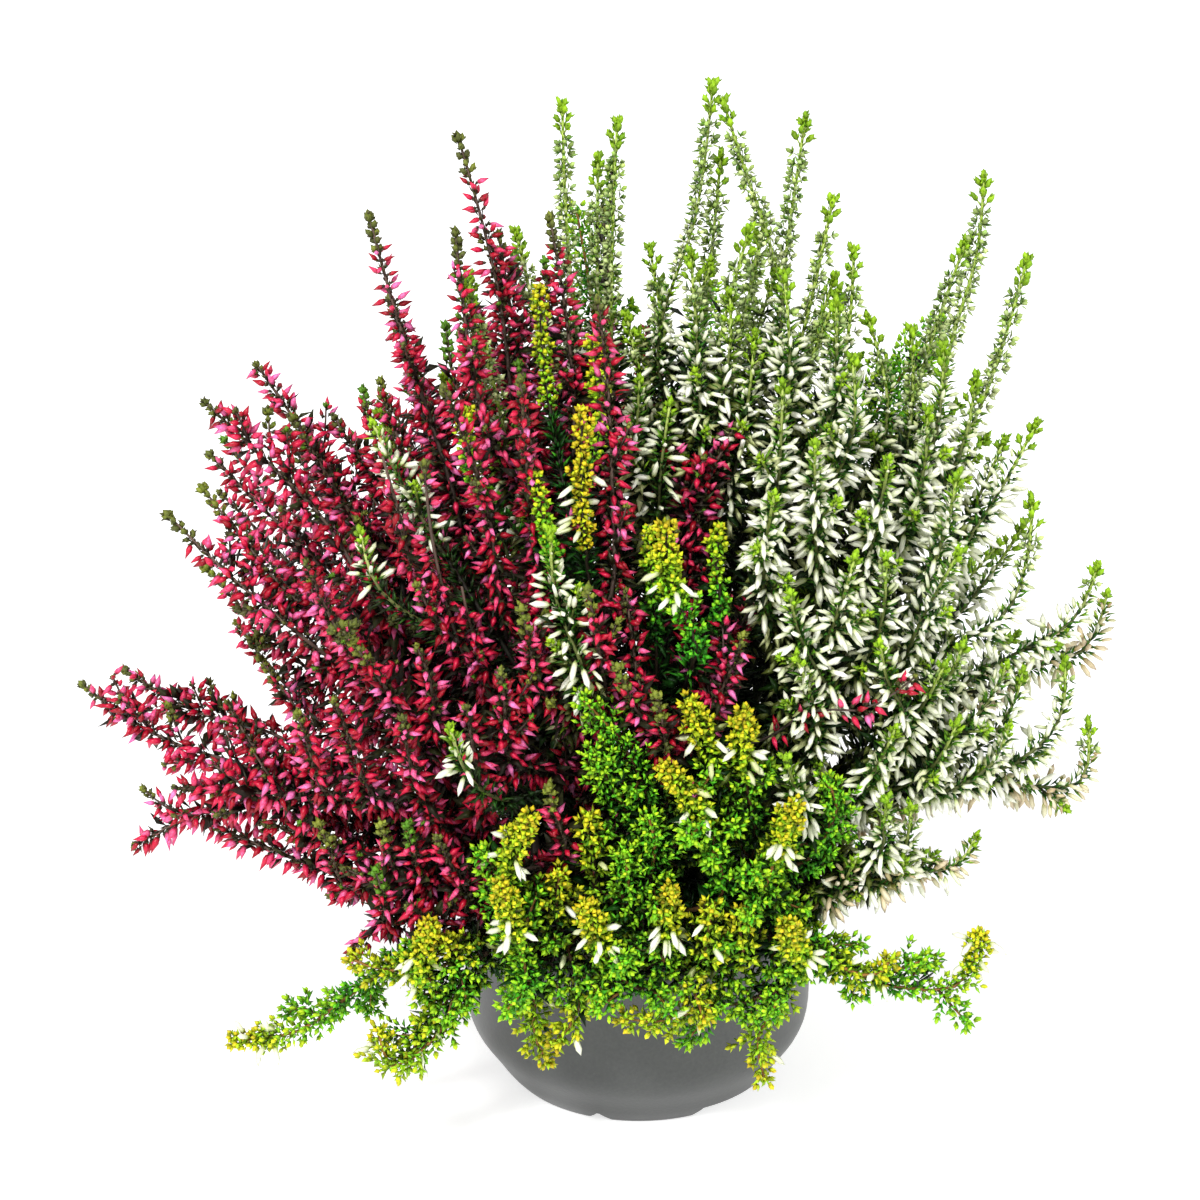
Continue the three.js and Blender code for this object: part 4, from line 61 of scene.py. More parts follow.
# name, stem scale, stem points, shoots: (place on stem, scale, unopened tip, loose length under it, tip hue, tan, style, points)
BRANCHES = [
    ("crimson_branch_01", 1.0, [(7.2, -9.6, 56.4), (11.5, -17.8, 108), (19.7, -33.4, 157.2)], [
        (0.3, 0.78, 3.7, 0.0, 0, 0, "crimson", [(9.8, -14.5, 87.3), (13.9, -23.4, 108), (18.1, -36.7, 126.1), (21.6, -55.2, 139.5), (28.5, -66.6, 156.2), (41.2, -60.1, 174.3), (51.6, -56.1, 194.6)]),
        (0.97, 1.0, 1.9, 0.0, 0, 0, "crimson", [(19.2, -32.4, 154.2), (23.7, -39, 175.2), (29.3, -41.9, 196.6), (33.9, -40.1, 218.3), (43.2, -36.1, 237.9)]),
        (0.6, 0.92, 1.9, 0.0, 0, 0, "crimson", [(13.1, -20.9, 117.8), (18.1, -29, 146), (24.4, -35.8, 174.3), (28.8, -39.2, 203.2), (22.8, -35.1, 231.5)]),
    ]),
    ("crimson_branch_02", 1.0, [(10.7, 21.4, 56.4), (15, 27.8, 74.4), (22.1, 38.5, 89.3)], [
        (0.97, 1.0, 4.2, 0.0, 0, 0, "crimson", [(21.7, 37.8, 88.4), (31.1, 53.1, 100.9), (38, 68.4, 115), (44.1, 83.4, 129.8), (49.8, 98.2, 145)]),
    ]),
    ("crimson_branch_03", 1.0, [(0.5, 23.9, 56.4), (-0.5, 27.8, 91.7), (-2.5, 35.4, 126.3)], [
        (0.97, 1.0, 1.2, 0.0, 1, 0, "crimson", [(-2.4, 35, 124.2), (-6.2, 34.5, 149.2), (-10.2, 43.2, 173.1), (-13.6, 54.6, 196.2), (-17.1, 63.8, 220.2), (-20.8, 72.1, 244.6)]),
        (0.78, 1.0, 1.2, 0.0, 2, 0, "crimson", [(-1.6, 32.1, 111), (4.4, 35.8, 136.5), (14.4, 42.3, 160), (16.6, 54.7, 184.2), (17.7, 66, 209.1), (17.7, 76.5, 234.3)]),
        (0.54, 1.0, 7.1, 0.0, 1, 0, "crimson", [(-0.7, 28.4, 94.5), (-10.5, 33.2, 129.3), (-25.7, 39.8, 161.9), (-35.3, 53.5, 195.1), (-45.2, 70.2, 226.8)]),
        (0.66, 1.0, 2.4, 0.0, 2, 0, "crimson", [(-1.1, 30.2, 102.8), (-1.3, 42.3, 136.2), (-2.8, 60.4, 167), (-5.6, 78.5, 197.7), (-8.8, 95.8, 228.8)]),
        (0.42, 1.0, 5.0, 0.0, 0, 0, "crimson", [(-0.3, 27.2, 86), (-9.1, 39.4, 120.8), (-22.9, 59, 150.4), (-31.9, 80, 181.2), (-41.6, 99.2, 213)]),
        (0.3, 1.0, 2.3, 0.0, 0, 0, "crimson", [(-0.1, 26.2, 77.6), (2.7, 38.4, 111.5), (10.7, 58.9, 140.4), (13.8, 81.2, 169), (10.2, 100.5, 199.7)]),
    ]),
    ("crimson_branch_04", 1.0, [(-12.7, 23.9, 56.4), (-14, 28.8, 77.9), (-16.3, 37.9, 97.8)], [
        (0.97, 1.0, 4.1, 0.0, 0, 0, "crimson", [(-16.1, 37.4, 96.6), (-22.4, 40.2, 114), (-33.6, 43.1, 128.8), (-43.1, 54, 142.2), (-51.9, 64.8, 156.1), (-58.6, 73.3, 172.6), (-64, 80.5, 190.1)]),
        (0.78, 1.0, 3.3, 12.0, 0, 0, "crimson", [(-15.3, 33.9, 89), (-13.5, 41.6, 106.3), (-7.4, 50.4, 121.3), (-9.8, 65.2, 133.5), (-13.1, 78, 147.4), (-16.7, 87, 164.1), (-20.4, 95.3, 181.1)]),
        (0.66, 1.0, 7.7, 0.0, 2, 0, "crimson", [(-14.7, 31.7, 84.2), (-23.5, 47.5, 106.2), (-36.1, 64.1, 126.4), (-47, 81.9, 146.5), (-56, 101.1, 166.2)]),
        (0.54, 1.0, 6.3, 12.0, 0, 0, "crimson", [(-14.2, 29.6, 79.5), (-11.4, 40.2, 95.2), (1.3, 53.3, 102), (3.7, 68.9, 113.8), (3.1, 84, 126.4), (1.2, 97.7, 140.4), (-2.2, 110.1, 155.3)]),
        (0.42, 1.0, 5.5, 12.0, 0, 0, "crimson", [(-13.8, 28, 74.4), (-23.8, 35.9, 92.3), (-41.8, 43, 104), (-55.5, 55.2, 117.5), (-66.7, 67.6, 133.2), (-77.1, 80.1, 149.3)]),
        (0.3, 1.0, 2.8, 0.0, 0, 0, "crimson", [(-13.5, 26.9, 69.3), (-13.3, 41.4, 89.5), (-13.9, 59.9, 106.7), (-20.2, 77.3, 123.7), (-31.6, 93.2, 139.7)]),
    ]),
    ("crimson_branch_05", 1.0, [(1.2, 2.6, 56.4), (-0.3, 4.9, 104.5), (-3.3, 9.3, 152.4)], [
        (0.97, 0.88, 70, 0.0, 2, 0, "crimson", [(-3.1, 9.1, 149.6), (2.4, 7.6, 179.4), (5.1, 9.4, 210.5), (3.7, 14, 242.1), (3.9, 17, 273.9), (5.2, 18.8, 305.8)]),
        (0.78, 1.0, 4.6, 12.0, 0, 0, "crimson", [(-2, 7.4, 131.3), (-9.1, 1.5, 169.3), (-17.6, -0.6, 208.1), (-24.3, 1.8, 247.7), (-30.2, 1.6, 287.4)]),
        (0.54, 1.0, 4.0, 0.0, 2, 0, "crimson", [(-0.5, 5.2, 108.4), (-3.2, 8.1, 149.8), (-7.2, 10.1, 191.2), (-12.2, 13.8, 232.3), (-16.2, 21.1, 273.1)]),
        (0.42, 1.0, 7.3, 0.0, 2, 0, "crimson", [(-0, 4.5, 96.8), (-6.4, 6.6, 140.8), (-20, 5.4, 183.1), (-27.9, 7.6, 226.9), (-41.8, 14.2, 268.8)]),
        (0.3, 1.0, 4.5, 0.0, 2, 0, "crimson", [(0.3, 4, 85.3), (-4, 11.9, 131.9), (-12.4, 27.6, 175.9), (-24.7, 39.8, 220.2), (-26.4, 52.7, 265.9)]),
        (0.66, 1.0, 56, 12.0, 0, 0, "crimson", [(-1.2, 6.3, 119.8), (-0.5, 17, 152), (4.8, 39.5, 177.2), (4, 53.8, 208.6), (3.2, 65.2, 241.1), (2.5, 74.6, 274.4)]),
    ]),
    ("crimson_branch_06", 1.0, [(-20.3, 16.5, 56.4), (-25.6, 18.3, 86.8), (-35.6, 21.8, 115.8)], [
        (0.6, 1.0, 3.7, 0.0, 2, 0, "crimson", [(-27.6, 19, 92.6), (-34.5, 19.1, 118.1), (-41.6, 16.3, 142.8), (-56.7, 20.5, 164.3), (-69.3, 26.5, 186.9), (-79.5, 34, 210.2)]),
        (0.75, 1.0, 2.7, 0.0, 0, 0, "crimson", [(-30.6, 20, 101.3), (-33.2, 26.2, 125.4), (-37, 37.2, 147.8), (-46.7, 47.8, 169.1), (-57.7, 56.8, 190.4), (-69.9, 64.6, 211.6)]),
        (0.97, 1.0, 5.8, 12.0, 2, 0, "crimson", [(-35, 21.6, 114.1), (-48.2, 17.8, 129.5), (-65.4, 13.7, 141.4), (-79.3, 17.1, 158.6), (-93.1, 20.9, 175.9), (-107.1, 24.9, 192.9), (-121.1, 29.2, 209.9)]),
        (0.45, 1.0, 6.7, 12.0, 0, 0, "crimson", [(-25.1, 18.1, 83.8), (-40.6, 24.6, 117), (-63, 37.2, 144.2), (-85.5, 50.7, 170.9), (-103.7, 61.2, 201.8)]),
        (0.3, 1.0, 1.3, 0.0, 2, 0, "crimson", [(-23.5, 17.6, 74.7), (-36.3, 27.2, 103.5), (-53.9, 41.4, 127.9), (-72.8, 54.5, 152.1), (-91, 71, 174.8)]),
    ]),
    ("crimson_branch_07", 1.0, [(-8.8, 5.6, 56.4), (-12.9, 7.4, 95.5), (-20.8, 10.9, 133.9)], [
        (0.75, 1.0, 7.4, 12.0, 0, 0, "crimson", [(-16.8, 9.2, 114.7), (-22.7, 7.6, 142), (-31.6, 3.9, 167.9), (-44.2, 7.9, 192.8), (-53.4, 9.9, 219.3), (-59.1, 9.9, 246.9)]),
        (0.97, 1.0, 4.8, 0.0, 0, 0, "crimson", [(-20.3, 10.7, 131.6), (-31.3, 15.7, 163.1), (-43.3, 18.7, 194.7), (-55.1, 24.5, 225.8), (-66.5, 34, 256.3)]),
        (0.6, 1.0, 7.0, 0.0, 2, 0, "crimson", [(-14.4, 8.1, 103.2), (-18.8, 16.5, 138.5), (-24.3, 30.4, 172.1), (-34.1, 41.7, 205.8), (-44.5, 49, 240.4)]),
        (0.45, 1.0, 7.1, 12.0, 1, 0, "crimson", [(-12.5, 7.2, 91.6), (-23.1, 8.9, 126.5), (-39.8, 10.2, 159), (-56.1, 15.2, 191.5), (-69.8, 20.4, 225.1)]),
        (0.3, 1.0, 3.0, 12.0, 2, 0, "crimson", [(-11.2, 6.7, 79.9), (-20.4, 12.4, 117.8), (-32.4, 23.7, 153.5), (-46, 36.7, 188.1), (-62.3, 42.8, 223.4)]),
    ]),
    ("crimson_branch_08", 1.0, [(-28.7, 10.1, 56.4), (-36.5, 10.7, 80.2), (-50.1, 11.7, 101.2)], [
        (0.97, 1.0, 7.4, 0.0, 1, 0, "crimson", [(-49.3, 11.6, 99.9), (-57.9, 11, 110.5), (-69.6, 7, 115.5), (-82.2, 1.6, 116.3), (-94.1, 4.1, 121), (-102.9, 11.4, 128.7), (-110.9, 17.9, 138)]),
        (0.66, 1.0, 3.6, 12.0, 0, 0, "crimson", [(-40.8, 11, 86.9), (-51.6, 7.5, 109.8), (-63.1, 1.2, 131.2), (-81.7, 0.5, 149.4), (-98.7, 3.2, 168.9), (-114.6, 8, 189)]),
        (0.78, 1.0, 2.1, 0.0, 0, 0, "crimson", [(-44.1, 11.2, 91.9), (-59.5, 20.1, 118.4), (-80.4, 30.5, 140.9), (-102.3, 39.2, 163.1), (-124.9, 44.9, 185.7)]),
        (0.54, 1.0, 7.5, 0.0, 1, 0, "crimson", [(-37.6, 10.8, 81.9), (-57.8, 9.6, 106), (-83, 13.8, 124.8), (-107.1, 18.9, 144.7), (-128, 22.5, 168.3)]),
        (0.42, 1.0, 3.4, 12.0, 0, 0, "crimson", [(-35.2, 10.6, 76.4), (-47, 17.4, 95.8), (-59.6, 30, 111.6), (-76.3, 39.1, 126.5), (-92.7, 46.9, 142.4), (-109, 53.7, 158.9)]),
        (0.3, 1.0, 2.2, 0.0, 1, 0, "crimson", [(-33.4, 10.4, 70.7), (-52.8, 13.9, 92.6), (-78.2, 22.4, 105), (-101.9, 29.9, 120.7), (-119.8, 34, 143.9)]),
    ]),
    ("crimson_branch_09", 1.0, [(-19.3, 5.3, 56.4), (-25.1, 3.8, 93.1), (-36.1, 0.8, 128.5)], [
        (0.97, 0.96, 6.2, 0.0, 0, 0, "crimson", [(-35.4, 0.9, 126.4), (-44.3, -8.2, 146.7), (-57.6, -10.8, 167.3), (-71.1, -11.7, 188.2), (-83.2, -12.3, 210.1), (-94.8, -12.8, 232.4)]),
        (0.3, 1.0, 4.3, 0.0, 1, 0, "crimson", [(-22.8, 4.4, 78.4), (-35.9, 2.9, 117.2), (-53.2, 4.6, 154.2), (-75.9, 6.1, 188.3), (-96.7, 12.2, 223.1)]),
    ]),
    ("crimson_branch_10", 1.0, [(-6.3, -4.6, 56.4), (-7.2, -7.4, 124.5), (-17.4, -12.7, 193.8)], [
        (0.45, 0.88, 17.2, 18.8, 0, 0, "crimson", [(-7.1, -7.1, 117.7), (-14.4, -9.4, 168.2), (-24.2, -7.9, 218.3), (-30.2, -1.2, 268.5), (-42.6, 5.9, 317.2)]),
        (0.97, 1.0, 8.6, 0.0, 0, 0, "crimson", [(-16.8, -12.4, 189.7), (-21.6, -16.3, 211.5), (-31.9, -27.4, 228.3), (-37.4, -26, 249.3), (-40.5, -20.9, 271.3), (-42.7, -16.1, 293.4)]),
        (0.3, 1.0, 7.5, 0.0, 0, 0, "crimson", [(-6.9, -6.3, 97.3), (-11, -10.3, 147.1), (-7.4, -15.8, 196.7), (-7.2, -13.6, 245.8), (-14.3, -4.1, 294.6)]),
        (0.75, 0.88, 8.1, 0.0, 2, 0, "crimson", [(-12.3, -10.1, 159.2), (-15.8, -11.1, 180.4), (-22.1, -11.3, 200.9), (-33, -10.8, 219.8), (-43.1, -8.4, 238.8), (-46.8, -0.1, 258.3)]),
        (0.6, 1.0, 4.4, 0.0, 2, 0, "crimson", [(-9.2, -8.4, 138.4), (-12.3, -10.8, 161.5), (-15.2, -13.8, 184.5), (-17.8, -18.3, 207.2), (-20.3, -22.3, 230), (-24, -12.1, 249.8)]),
    ]),
    ("crimson_branch_11", 1.0, [(-28.1, -0.4, 56.4), (-38.2, -6.2, 107.8), (-57, -16.9, 155.7)], [
        (0.54, 1.0, 1.3, 0.0, 0, 0, "crimson", [(-39.7, -7, 111.6), (-53.3, -11.1, 146.6), (-65, -6.2, 182.3), (-86.3, 0.7, 212.2), (-107.4, 7.9, 242.5)]),
        (0.66, 1.0, 4.3, 0.0, 0, 0, "crimson", [(-44.2, -9.6, 123.1), (-53.4, -16.6, 146.2), (-61.4, -30.5, 166.3), (-70.7, -42.3, 186.4), (-84.7, -33.1, 205.9), (-102.9, -25.6, 222.7), (-121.7, -18.1, 238.8)]),
        (0.42, 1.0, 5.1, 0.0, 0, 0, "crimson", [(-36.6, -5.3, 99.5), (-48.4, -10.8, 126.6), (-63.5, -14.5, 152.4), (-81.3, -16.1, 176.5), (-101.9, -8.7, 196.1), (-122.8, -0.1, 215.2)]),
        (0.78, 1.0, 12.6, 0.0, 1, 0, "crimson", [(-48.8, -12.2, 134.6), (-57.4, -17.9, 152.4), (-69, -28.7, 165.2), (-82.3, -42.1, 173.5), (-97.1, -39.4, 185.3), (-110.1, -30.1, 198.3), (-123, -22.1, 212.2)]),
        (0.3, 1.0, 8.2, 12.6, 0, 0, "crimson", [(-34.2, -3.9, 87.2), (-45.6, -11.6, 113.4), (-58.8, -23.9, 136.6), (-73.4, -42.1, 154.7), (-90.9, -50.9, 173.7), (-112.7, -37.2, 187.4), (-133.8, -26.1, 204.8)]),
        (0.97, 0.96, 3.2, 0.0, 0, 0, "crimson", [(-55.9, -16.2, 152.8), (-60.2, -17.6, 166.3), (-61.4, -12.5, 179.2), (-61.4, -3.9, 190.6), (-67.6, -0, 202.7), (-75.9, 1.6, 214.3), (-83, 3.9, 226.6)]),
    ]),
    ("crimson_branch_12", 1.0, [(-17, -5.8, 56.4), (-25.2, -8.7, 121.1), (-41, -14.2, 184.1)], [
        (0.97, 1.0, 8.1, 15.5, 0, 0, "crimson", [(-40.1, -13.9, 180.3), (-45.4, -13.7, 209.4), (-54.1, -8.3, 237), (-62.8, -2.2, 264.6), (-70.4, 3.9, 292.6)]),
        (0.6, 1.0, 4.4, 0.0, 1, 0, "crimson", [(-28.3, -9.8, 133.7), (-36.2, -12.4, 162.1), (-46.4, -15.5, 189.7), (-58.2, -18, 216.6), (-67.4, -8.1, 242.6)]),
        (0.3, 1.0, 3.7, 0.0, 2, 0, "crimson", [(-21.9, -7.5, 95.2), (-30.3, -10.8, 126.1), (-39.8, -15.1, 156.5), (-51.5, -22.1, 185.7), (-63.7, -28.2, 214.7), (-72.1, -18.1, 243.3)]),
    ]),
    ("crimson_branch_13", 1.0, [(-30.5, -10.6, 56.4), (-45.6, -16.1, 88.2), (-70.4, -25.1, 112.1)], [
        (0.97, 1.0, 5.3, 6.6, 0, 0, "crimson", [(-68.9, -24.6, 110.7), (-83, -32.8, 120.6), (-96.2, -46.1, 122.5), (-114.1, -40, 125.9), (-132, -33.2, 128.6), (-148.7, -26.7, 135.1), (-164.1, -20.1, 144.7)]),
        (0.3, 1.0, 5.3, 0.0, 0, 0, "crimson", [(-39.6, -13.9, 75.5), (-59.4, -19.9, 94.1), (-80.1, -22.4, 112.7), (-103.4, -20, 126.8), (-129.4, -10.7, 130.5), (-153, -2.1, 141.9)]),
    ]),
    ("crimson_branch_14", 1.0, [(-27.8, -20.8, 56.4), (-41.1, -29, 84.6), (-63, -42.5, 104)], [
        (0.6, 1.0, 0.0, 0.0, 0, 0, "crimson", [(-45.5, -31.7, 88.5), (-62.9, -41.5, 102), (-82.9, -50.5, 111.9), (-105.8, -48.5, 115.4), (-127.9, -43, 108), (-147.8, -38.1, 95.2)]),
        (0.75, 1.0, 2.7, 0.0, 0, 0, "crimson", [(-52, -35.8, 94.3), (-65.6, -44.6, 105.8), (-79.6, -54.1, 116), (-95.2, -62.5, 124.7), (-113.6, -56.2, 123.5), (-132.6, -50.1, 121.5)]),
        (0.3, 1.0, 0.0, 0.0, 0, 0, "crimson", [(-35.8, -25.7, 73.3), (-48, -34.9, 82.8), (-58.3, -49.2, 86.8), (-73.7, -52.6, 89.4), (-90.4, -47.9, 94), (-107.3, -44, 99.1), (-123.9, -40.1, 105)]),
        (0.97, 1.0, 2.5, 0.0, 0, 0, "crimson", [(-61.7, -41.7, 102.9), (-75.3, -48.9, 114.2), (-91, -54.7, 123.5), (-104.8, -54, 135.8), (-114.9, -50.1, 151.5)]),
        (0.45, 1.0, 1.3, 0.0, 0, 0, "crimson", [(-39.8, -28.2, 81.8), (-51, -35.4, 90.8), (-63, -43.8, 97.4), (-75.4, -53.3, 101.3), (-89.1, -55.9, 107.7), (-104.4, -54.1, 111.6)]),
    ]),
    ("crimson_branch_15", 1.0, [(-18.3, -16.3, 56.4), (-28.6, -28.1, 81), (-45.2, -47.4, 95.2)], [
        (0.97, 1.0, 1.3, 0.0, 0, 0, "crimson", [(-44.2, -46.2, 94.3), (-49.6, -53.1, 98.8), (-53.4, -61.3, 102.4), (-57.2, -69.8, 104.5), (-65.7, -70.1, 100.4), (-74.2, -68.8, 95.9), (-83.4, -68.1, 92.5)]),
        (0.3, 1.0, 0.0, 0.0, 0, 0, "crimson", [(-24.5, -23.4, 71.2), (-33.1, -34.3, 78.7), (-40.8, -46.1, 86), (-46, -59.2, 93.4), (-53.5, -71.9, 97.2), (-65.5, -74.5, 87.4), (-77.2, -78.1, 77.4)]),
        (0.6, 1.0, 8.3, 0.0, 1, 0, "crimson", [(-31.9, -32, 83.8), (-41.1, -41.2, 89.8), (-52.2, -49.4, 93.1), (-65.2, -55.2, 91.4), (-78.2, -60.6, 91.5), (-82.1, -63.2, 104.5), (-85.9, -66.1, 118)]),
    ]),
    ("crimson_branch_16", 1.0, [(-21.4, -29.1, 56.4), (-30.4, -39.6, 93.2), (-45.8, -57.5, 124.7)], [
        (0.78, 1.0, 7.6, 0.0, 1, 0, "crimson", [(-39, -49.6, 110.8), (-47.8, -60.1, 129.9), (-55.3, -69.7, 149.9), (-63.8, -79.6, 169.4), (-72.4, -90.2, 188.4)]),
        (0.3, 1.0, 3.5, 0.0, 0, 0, "crimson", [(-26.8, -35.4, 78.5), (-37.8, -50, 100.7), (-47.6, -70, 118.8), (-54.4, -86.3, 140.6), (-57.4, -97, 167.1)]),
        (0.66, 1.0, 3.3, 0.0, 1, 0, "crimson", [(-35.3, -45.3, 103.3), (-43.7, -53.1, 115.8), (-56.2, -60.6, 123.3), (-71.7, -67, 124.9), (-83.9, -73.9, 132.4), (-86.6, -79.5, 147.9), (-89.9, -85.7, 163.1)]),
        (0.54, 1.0, 2.4, 0.0, 0, 0, "crimson", [(-31.7, -41.1, 95.7), (-41.1, -51.5, 111.4), (-54.5, -63.9, 121.4), (-68, -76.2, 131.1), (-73.3, -82.9, 150.4), (-78.3, -90.1, 169.6)]),
        (0.42, 1.0, 2.7, 0.0, 0, 0, "crimson", [(-29, -38, 87.3), (-36, -49.5, 104.7), (-36.5, -65.5, 119.4), (-33.6, -82.9, 132.4), (-36.2, -91.8, 152), (-38.2, -100.8, 172)]),
        (0.97, 1.0, 2.3, 0.0, 0, 0, "crimson", [(-44.8, -56.4, 122.8), (-55.6, -65.7, 143.7), (-69, -66.2, 165.1), (-79.4, -71.3, 187.2), (-86.2, -80.2, 209.9)]),
    ]),
    ("crimson_branch_17", 1.0, [(-7.9, -15, 56.4), (-11.9, -26, 110.3), (-19.3, -46.4, 160.8)], [
        (0.6, 1.0, 6.0, 0.0, 0, 0, "crimson", [(-13.3, -30.1, 120.4), (-14.6, -42.5, 147.6), (-5.6, -59.1, 170.6), (4.9, -70.2, 194.8), (5.1, -60.9, 223.2), (4, -53.5, 252.3), (0.5, -46.1, 281.1)]),
        (0.3, 1.0, 4.9, 0.0, 0, 0, "crimson", [(-10.3, -21.6, 88.7), (-16.3, -35.4, 120), (-26.8, -52.6, 148.2), (-39.7, -70.2, 175.2), (-47.5, -75.9, 208.4), (-50.2, -82.6, 242.3)]),
        (0.45, 1.0, 4.1, 0.0, 0, 0, "crimson", [(-11.5, -24.9, 104.9), (-17.9, -41.7, 143.9), (-27.8, -61.4, 180.6), (-32.4, -67.8, 222.3), (-44.9, -74.4, 262.8)]),
        (0.97, 1.0, 2.2, 0.0, 0, 0, "crimson", [(-18.9, -45.2, 157.8), (-24.8, -53, 176.1), (-40.2, -60.1, 188.4), (-54.4, -66.9, 202), (-58.5, -72.6, 222.3), (-62.7, -78.6, 242.5)]),
        (0.75, 1.0, 3.5, 0.0, 0, 0, "crimson", [(-15.6, -36.2, 135.5), (-18.6, -49.3, 167.3), (-16.7, -63.3, 198.9), (-20, -70.1, 232.5), (-21.9, -76.8, 266.4)]),
    ]),
    ("crimson_branch_18", 1.0, [(-11, -27.5, 56.4), (-18.7, -39.9, 80.3), (-31.3, -60.1, 94.9)], [
        (0.97, 1.0, 12.6, 0.0, 1, 0, "crimson", [(-30.5, -58.9, 94), (-37.1, -66.6, 100), (-46.8, -72.3, 102.7), (-57.9, -76.2, 102.9), (-62.5, -82.2, 110.8), (-63.3, -88.2, 120.9), (-64.9, -94.5, 130.8)]),
        (0.66, 1.0, 13.9, 0.0, 2, 0, "crimson", [(-22.7, -46.4, 85), (-30.8, -58.3, 92.9), (-41.2, -69.7, 98.6), (-52.4, -80.4, 103.9), (-55, -88.6, 117.7), (-56.6, -97, 132)]),
        (0.54, 1.0, 12.8, 0.0, 2, 0, "crimson", [(-19.7, -41.5, 81.4), (-27.9, -52.7, 88.3), (-38.5, -63, 91.4), (-51.4, -71, 88.9), (-63.7, -79.5, 88.7), (-65, -86.4, 102), (-66.8, -94.1, 115.2)]),
        (0.78, 1.0, 8.0, 0.0, 1, 0, "crimson", [(-25.8, -51.2, 88.5), (-29.8, -63, 97), (-23.6, -73.8, 104.6), (-12.9, -82.5, 110.7), (-8.9, -91, 121.4), (-12.3, -97.2, 134.7), (-13.8, -104.4, 148)]),
        (0.42, 1.0, 3.7, 0.0, 0, 0, "crimson", [(-17.5, -38, 76.5), (-25.2, -51.6, 85.3), (-31.1, -67.3, 91.3), (-36.5, -82.9, 97.8), (-43.1, -90.2, 112.8), (-47.9, -98.1, 128.2)]),
        (0.3, 1.0, 0.0, 0.0, 0, 0, "crimson", [(-15.7, -35, 70.7), (-23.4, -47.1, 78.5), (-31.9, -60.2, 83.4), (-40.8, -73.8, 85.1), (-49.1, -84.5, 93), (-57.9, -94.1, 102.7)]),
    ]),
    ("crimson_branch_19", 1.0, [(-1.4, -23.3, 56.4), (1, -34.8, 95.7), (1.2, -56, 131.5)], [
        (0.97, 1.0, 6.9, 0.0, 1, 0, "crimson", [(1.2, -54.7, 129.4), (0.4, -64.7, 144.4), (-7.5, -74.6, 157), (-16.2, -83.6, 170.1), (-19.3, -91.1, 186.6), (-21.8, -98.9, 203.1)]),
        (0.8, 1.0, 6.5, 0.0, 1, 0, "crimson", [(1.1, -47.5, 117.2), (2.5, -62.1, 139.5), (3.8, -79.1, 160.1), (1.1, -89.4, 184.4), (-2.4, -98.8, 209.1)]),
        (0.7, 1.0, 6.3, 0.0, 1, 0, "crimson", [(1.1, -43.3, 110), (2.8, -52.9, 124.2), (7, -64.1, 136.5), (14.5, -76.8, 145.4), (17.4, -88.5, 156.8), (10.3, -95, 171), (6.4, -102.7, 186)]),
        (0.4, 1.0, 6.7, 0.0, 1, 0, "crimson", [(0.5, -32.5, 87.8), (2.9, -45.8, 107.7), (9, -61.4, 124.7), (19.1, -78.7, 137.9), (20.9, -92.4, 156.1), (17.6, -103.2, 177.2)]),
        (0.5, 1.0, 4.7, 0.0, 1, 0, "crimson", [(1, -34.8, 95.7), (5.7, -50.7, 120.6), (21.2, -66.1, 140.6), (35.9, -78.4, 163), (44.1, -88.1, 190.1)]),
        (0.6, 1.0, 3.6, 0.0, 0, 0, "crimson", [(1, -39, 102.8), (0.2, -50, 118.3), (-5.6, -62, 131.3), (-17.2, -74.5, 139.3), (-27, -86.3, 149.7), (-26.9, -93.2, 167), (-28, -101.1, 184)]),
        (0.3, 1.0, 2.9, 0.0, 0, 0, "crimson", [(0, -30.2, 80), (0.5, -40.5, 99.6), (-0.6, -48.2, 120.5), (-2.4, -56.1, 141.2), (-6.7, -65.9, 160.6)]),
    ]),
    ("white_branch_01", 1.0, [(33.9, -26.8, 56.4), (41.2, -37.3, 99.3), (54.2, -56.2, 137.8)], [
        (0.6, 1.0, 8.7, 0.0, 0, 0, "white", [(43.8, -41.1, 107), (52.1, -54.1, 133.3), (59, -68.1, 159.4), (70.7, -76.7, 185.8), (77, -84.6, 214.2)]),
        (0.3, 1.0, 8.7, 0.0, 0, 0, "white", [(38.2, -33.1, 82.2), (46, -44.3, 103.4), (55.2, -56.9, 123.2), (66, -71.2, 141), (66, -82.8, 162), (59.2, -92.1, 184.4)]),
        (0.97, 1.0, 3.2, 0.0, 0, 0, "white", [(53.4, -55, 135.5), (58.6, -61.7, 147.4), (66.5, -70.1, 156), (70.5, -78.5, 166.1), (64.6, -83.3, 178.7), (59.6, -87.9, 191.7), (57.3, -92.9, 205.4)]),
    ]),
    ("white_branch_02", 1.0, [(23.2, -8.1, 56.4), (24, -12.3, 124.4), (25.7, -20.6, 192)], [
        (0.78, 1.0, 18.4, 0.0, 0, 0, "white", [(25, -17, 162.2), (26.6, -21.9, 193.9), (32.1, -28.4, 224.8), (31.3, -22, 255.5), (28.9, -12.1, 285.8)]),
        (0.97, 1.0, 15.3, 0.0, 0, 0, "white", [(25.6, -20.1, 187.9), (27.5, -22.3, 206.1), (32.1, -25, 223.6), (37.9, -26.7, 240.8), (41.3, -22, 257.6), (40.9, -17.6, 274.7)]),
        (0.66, 1.0, 18.7, 0.0, 0, 0, "white", [(24.6, -15, 146), (24.4, -17.3, 175.9), (21.3, -15.2, 205.6), (16, -9.6, 234.6), (9.2, 1.9, 261.2)]),
        (0.3, 0.92, 7.4, 0.0, 0, 0, "white", [(23.7, -10.6, 97.2), (24, -15.4, 127.4), (23.5, -21.6, 157.4), (21.4, -31.1, 186.4), (19.5, -39.8, 215.7), (23, -33.8, 244.8)]),
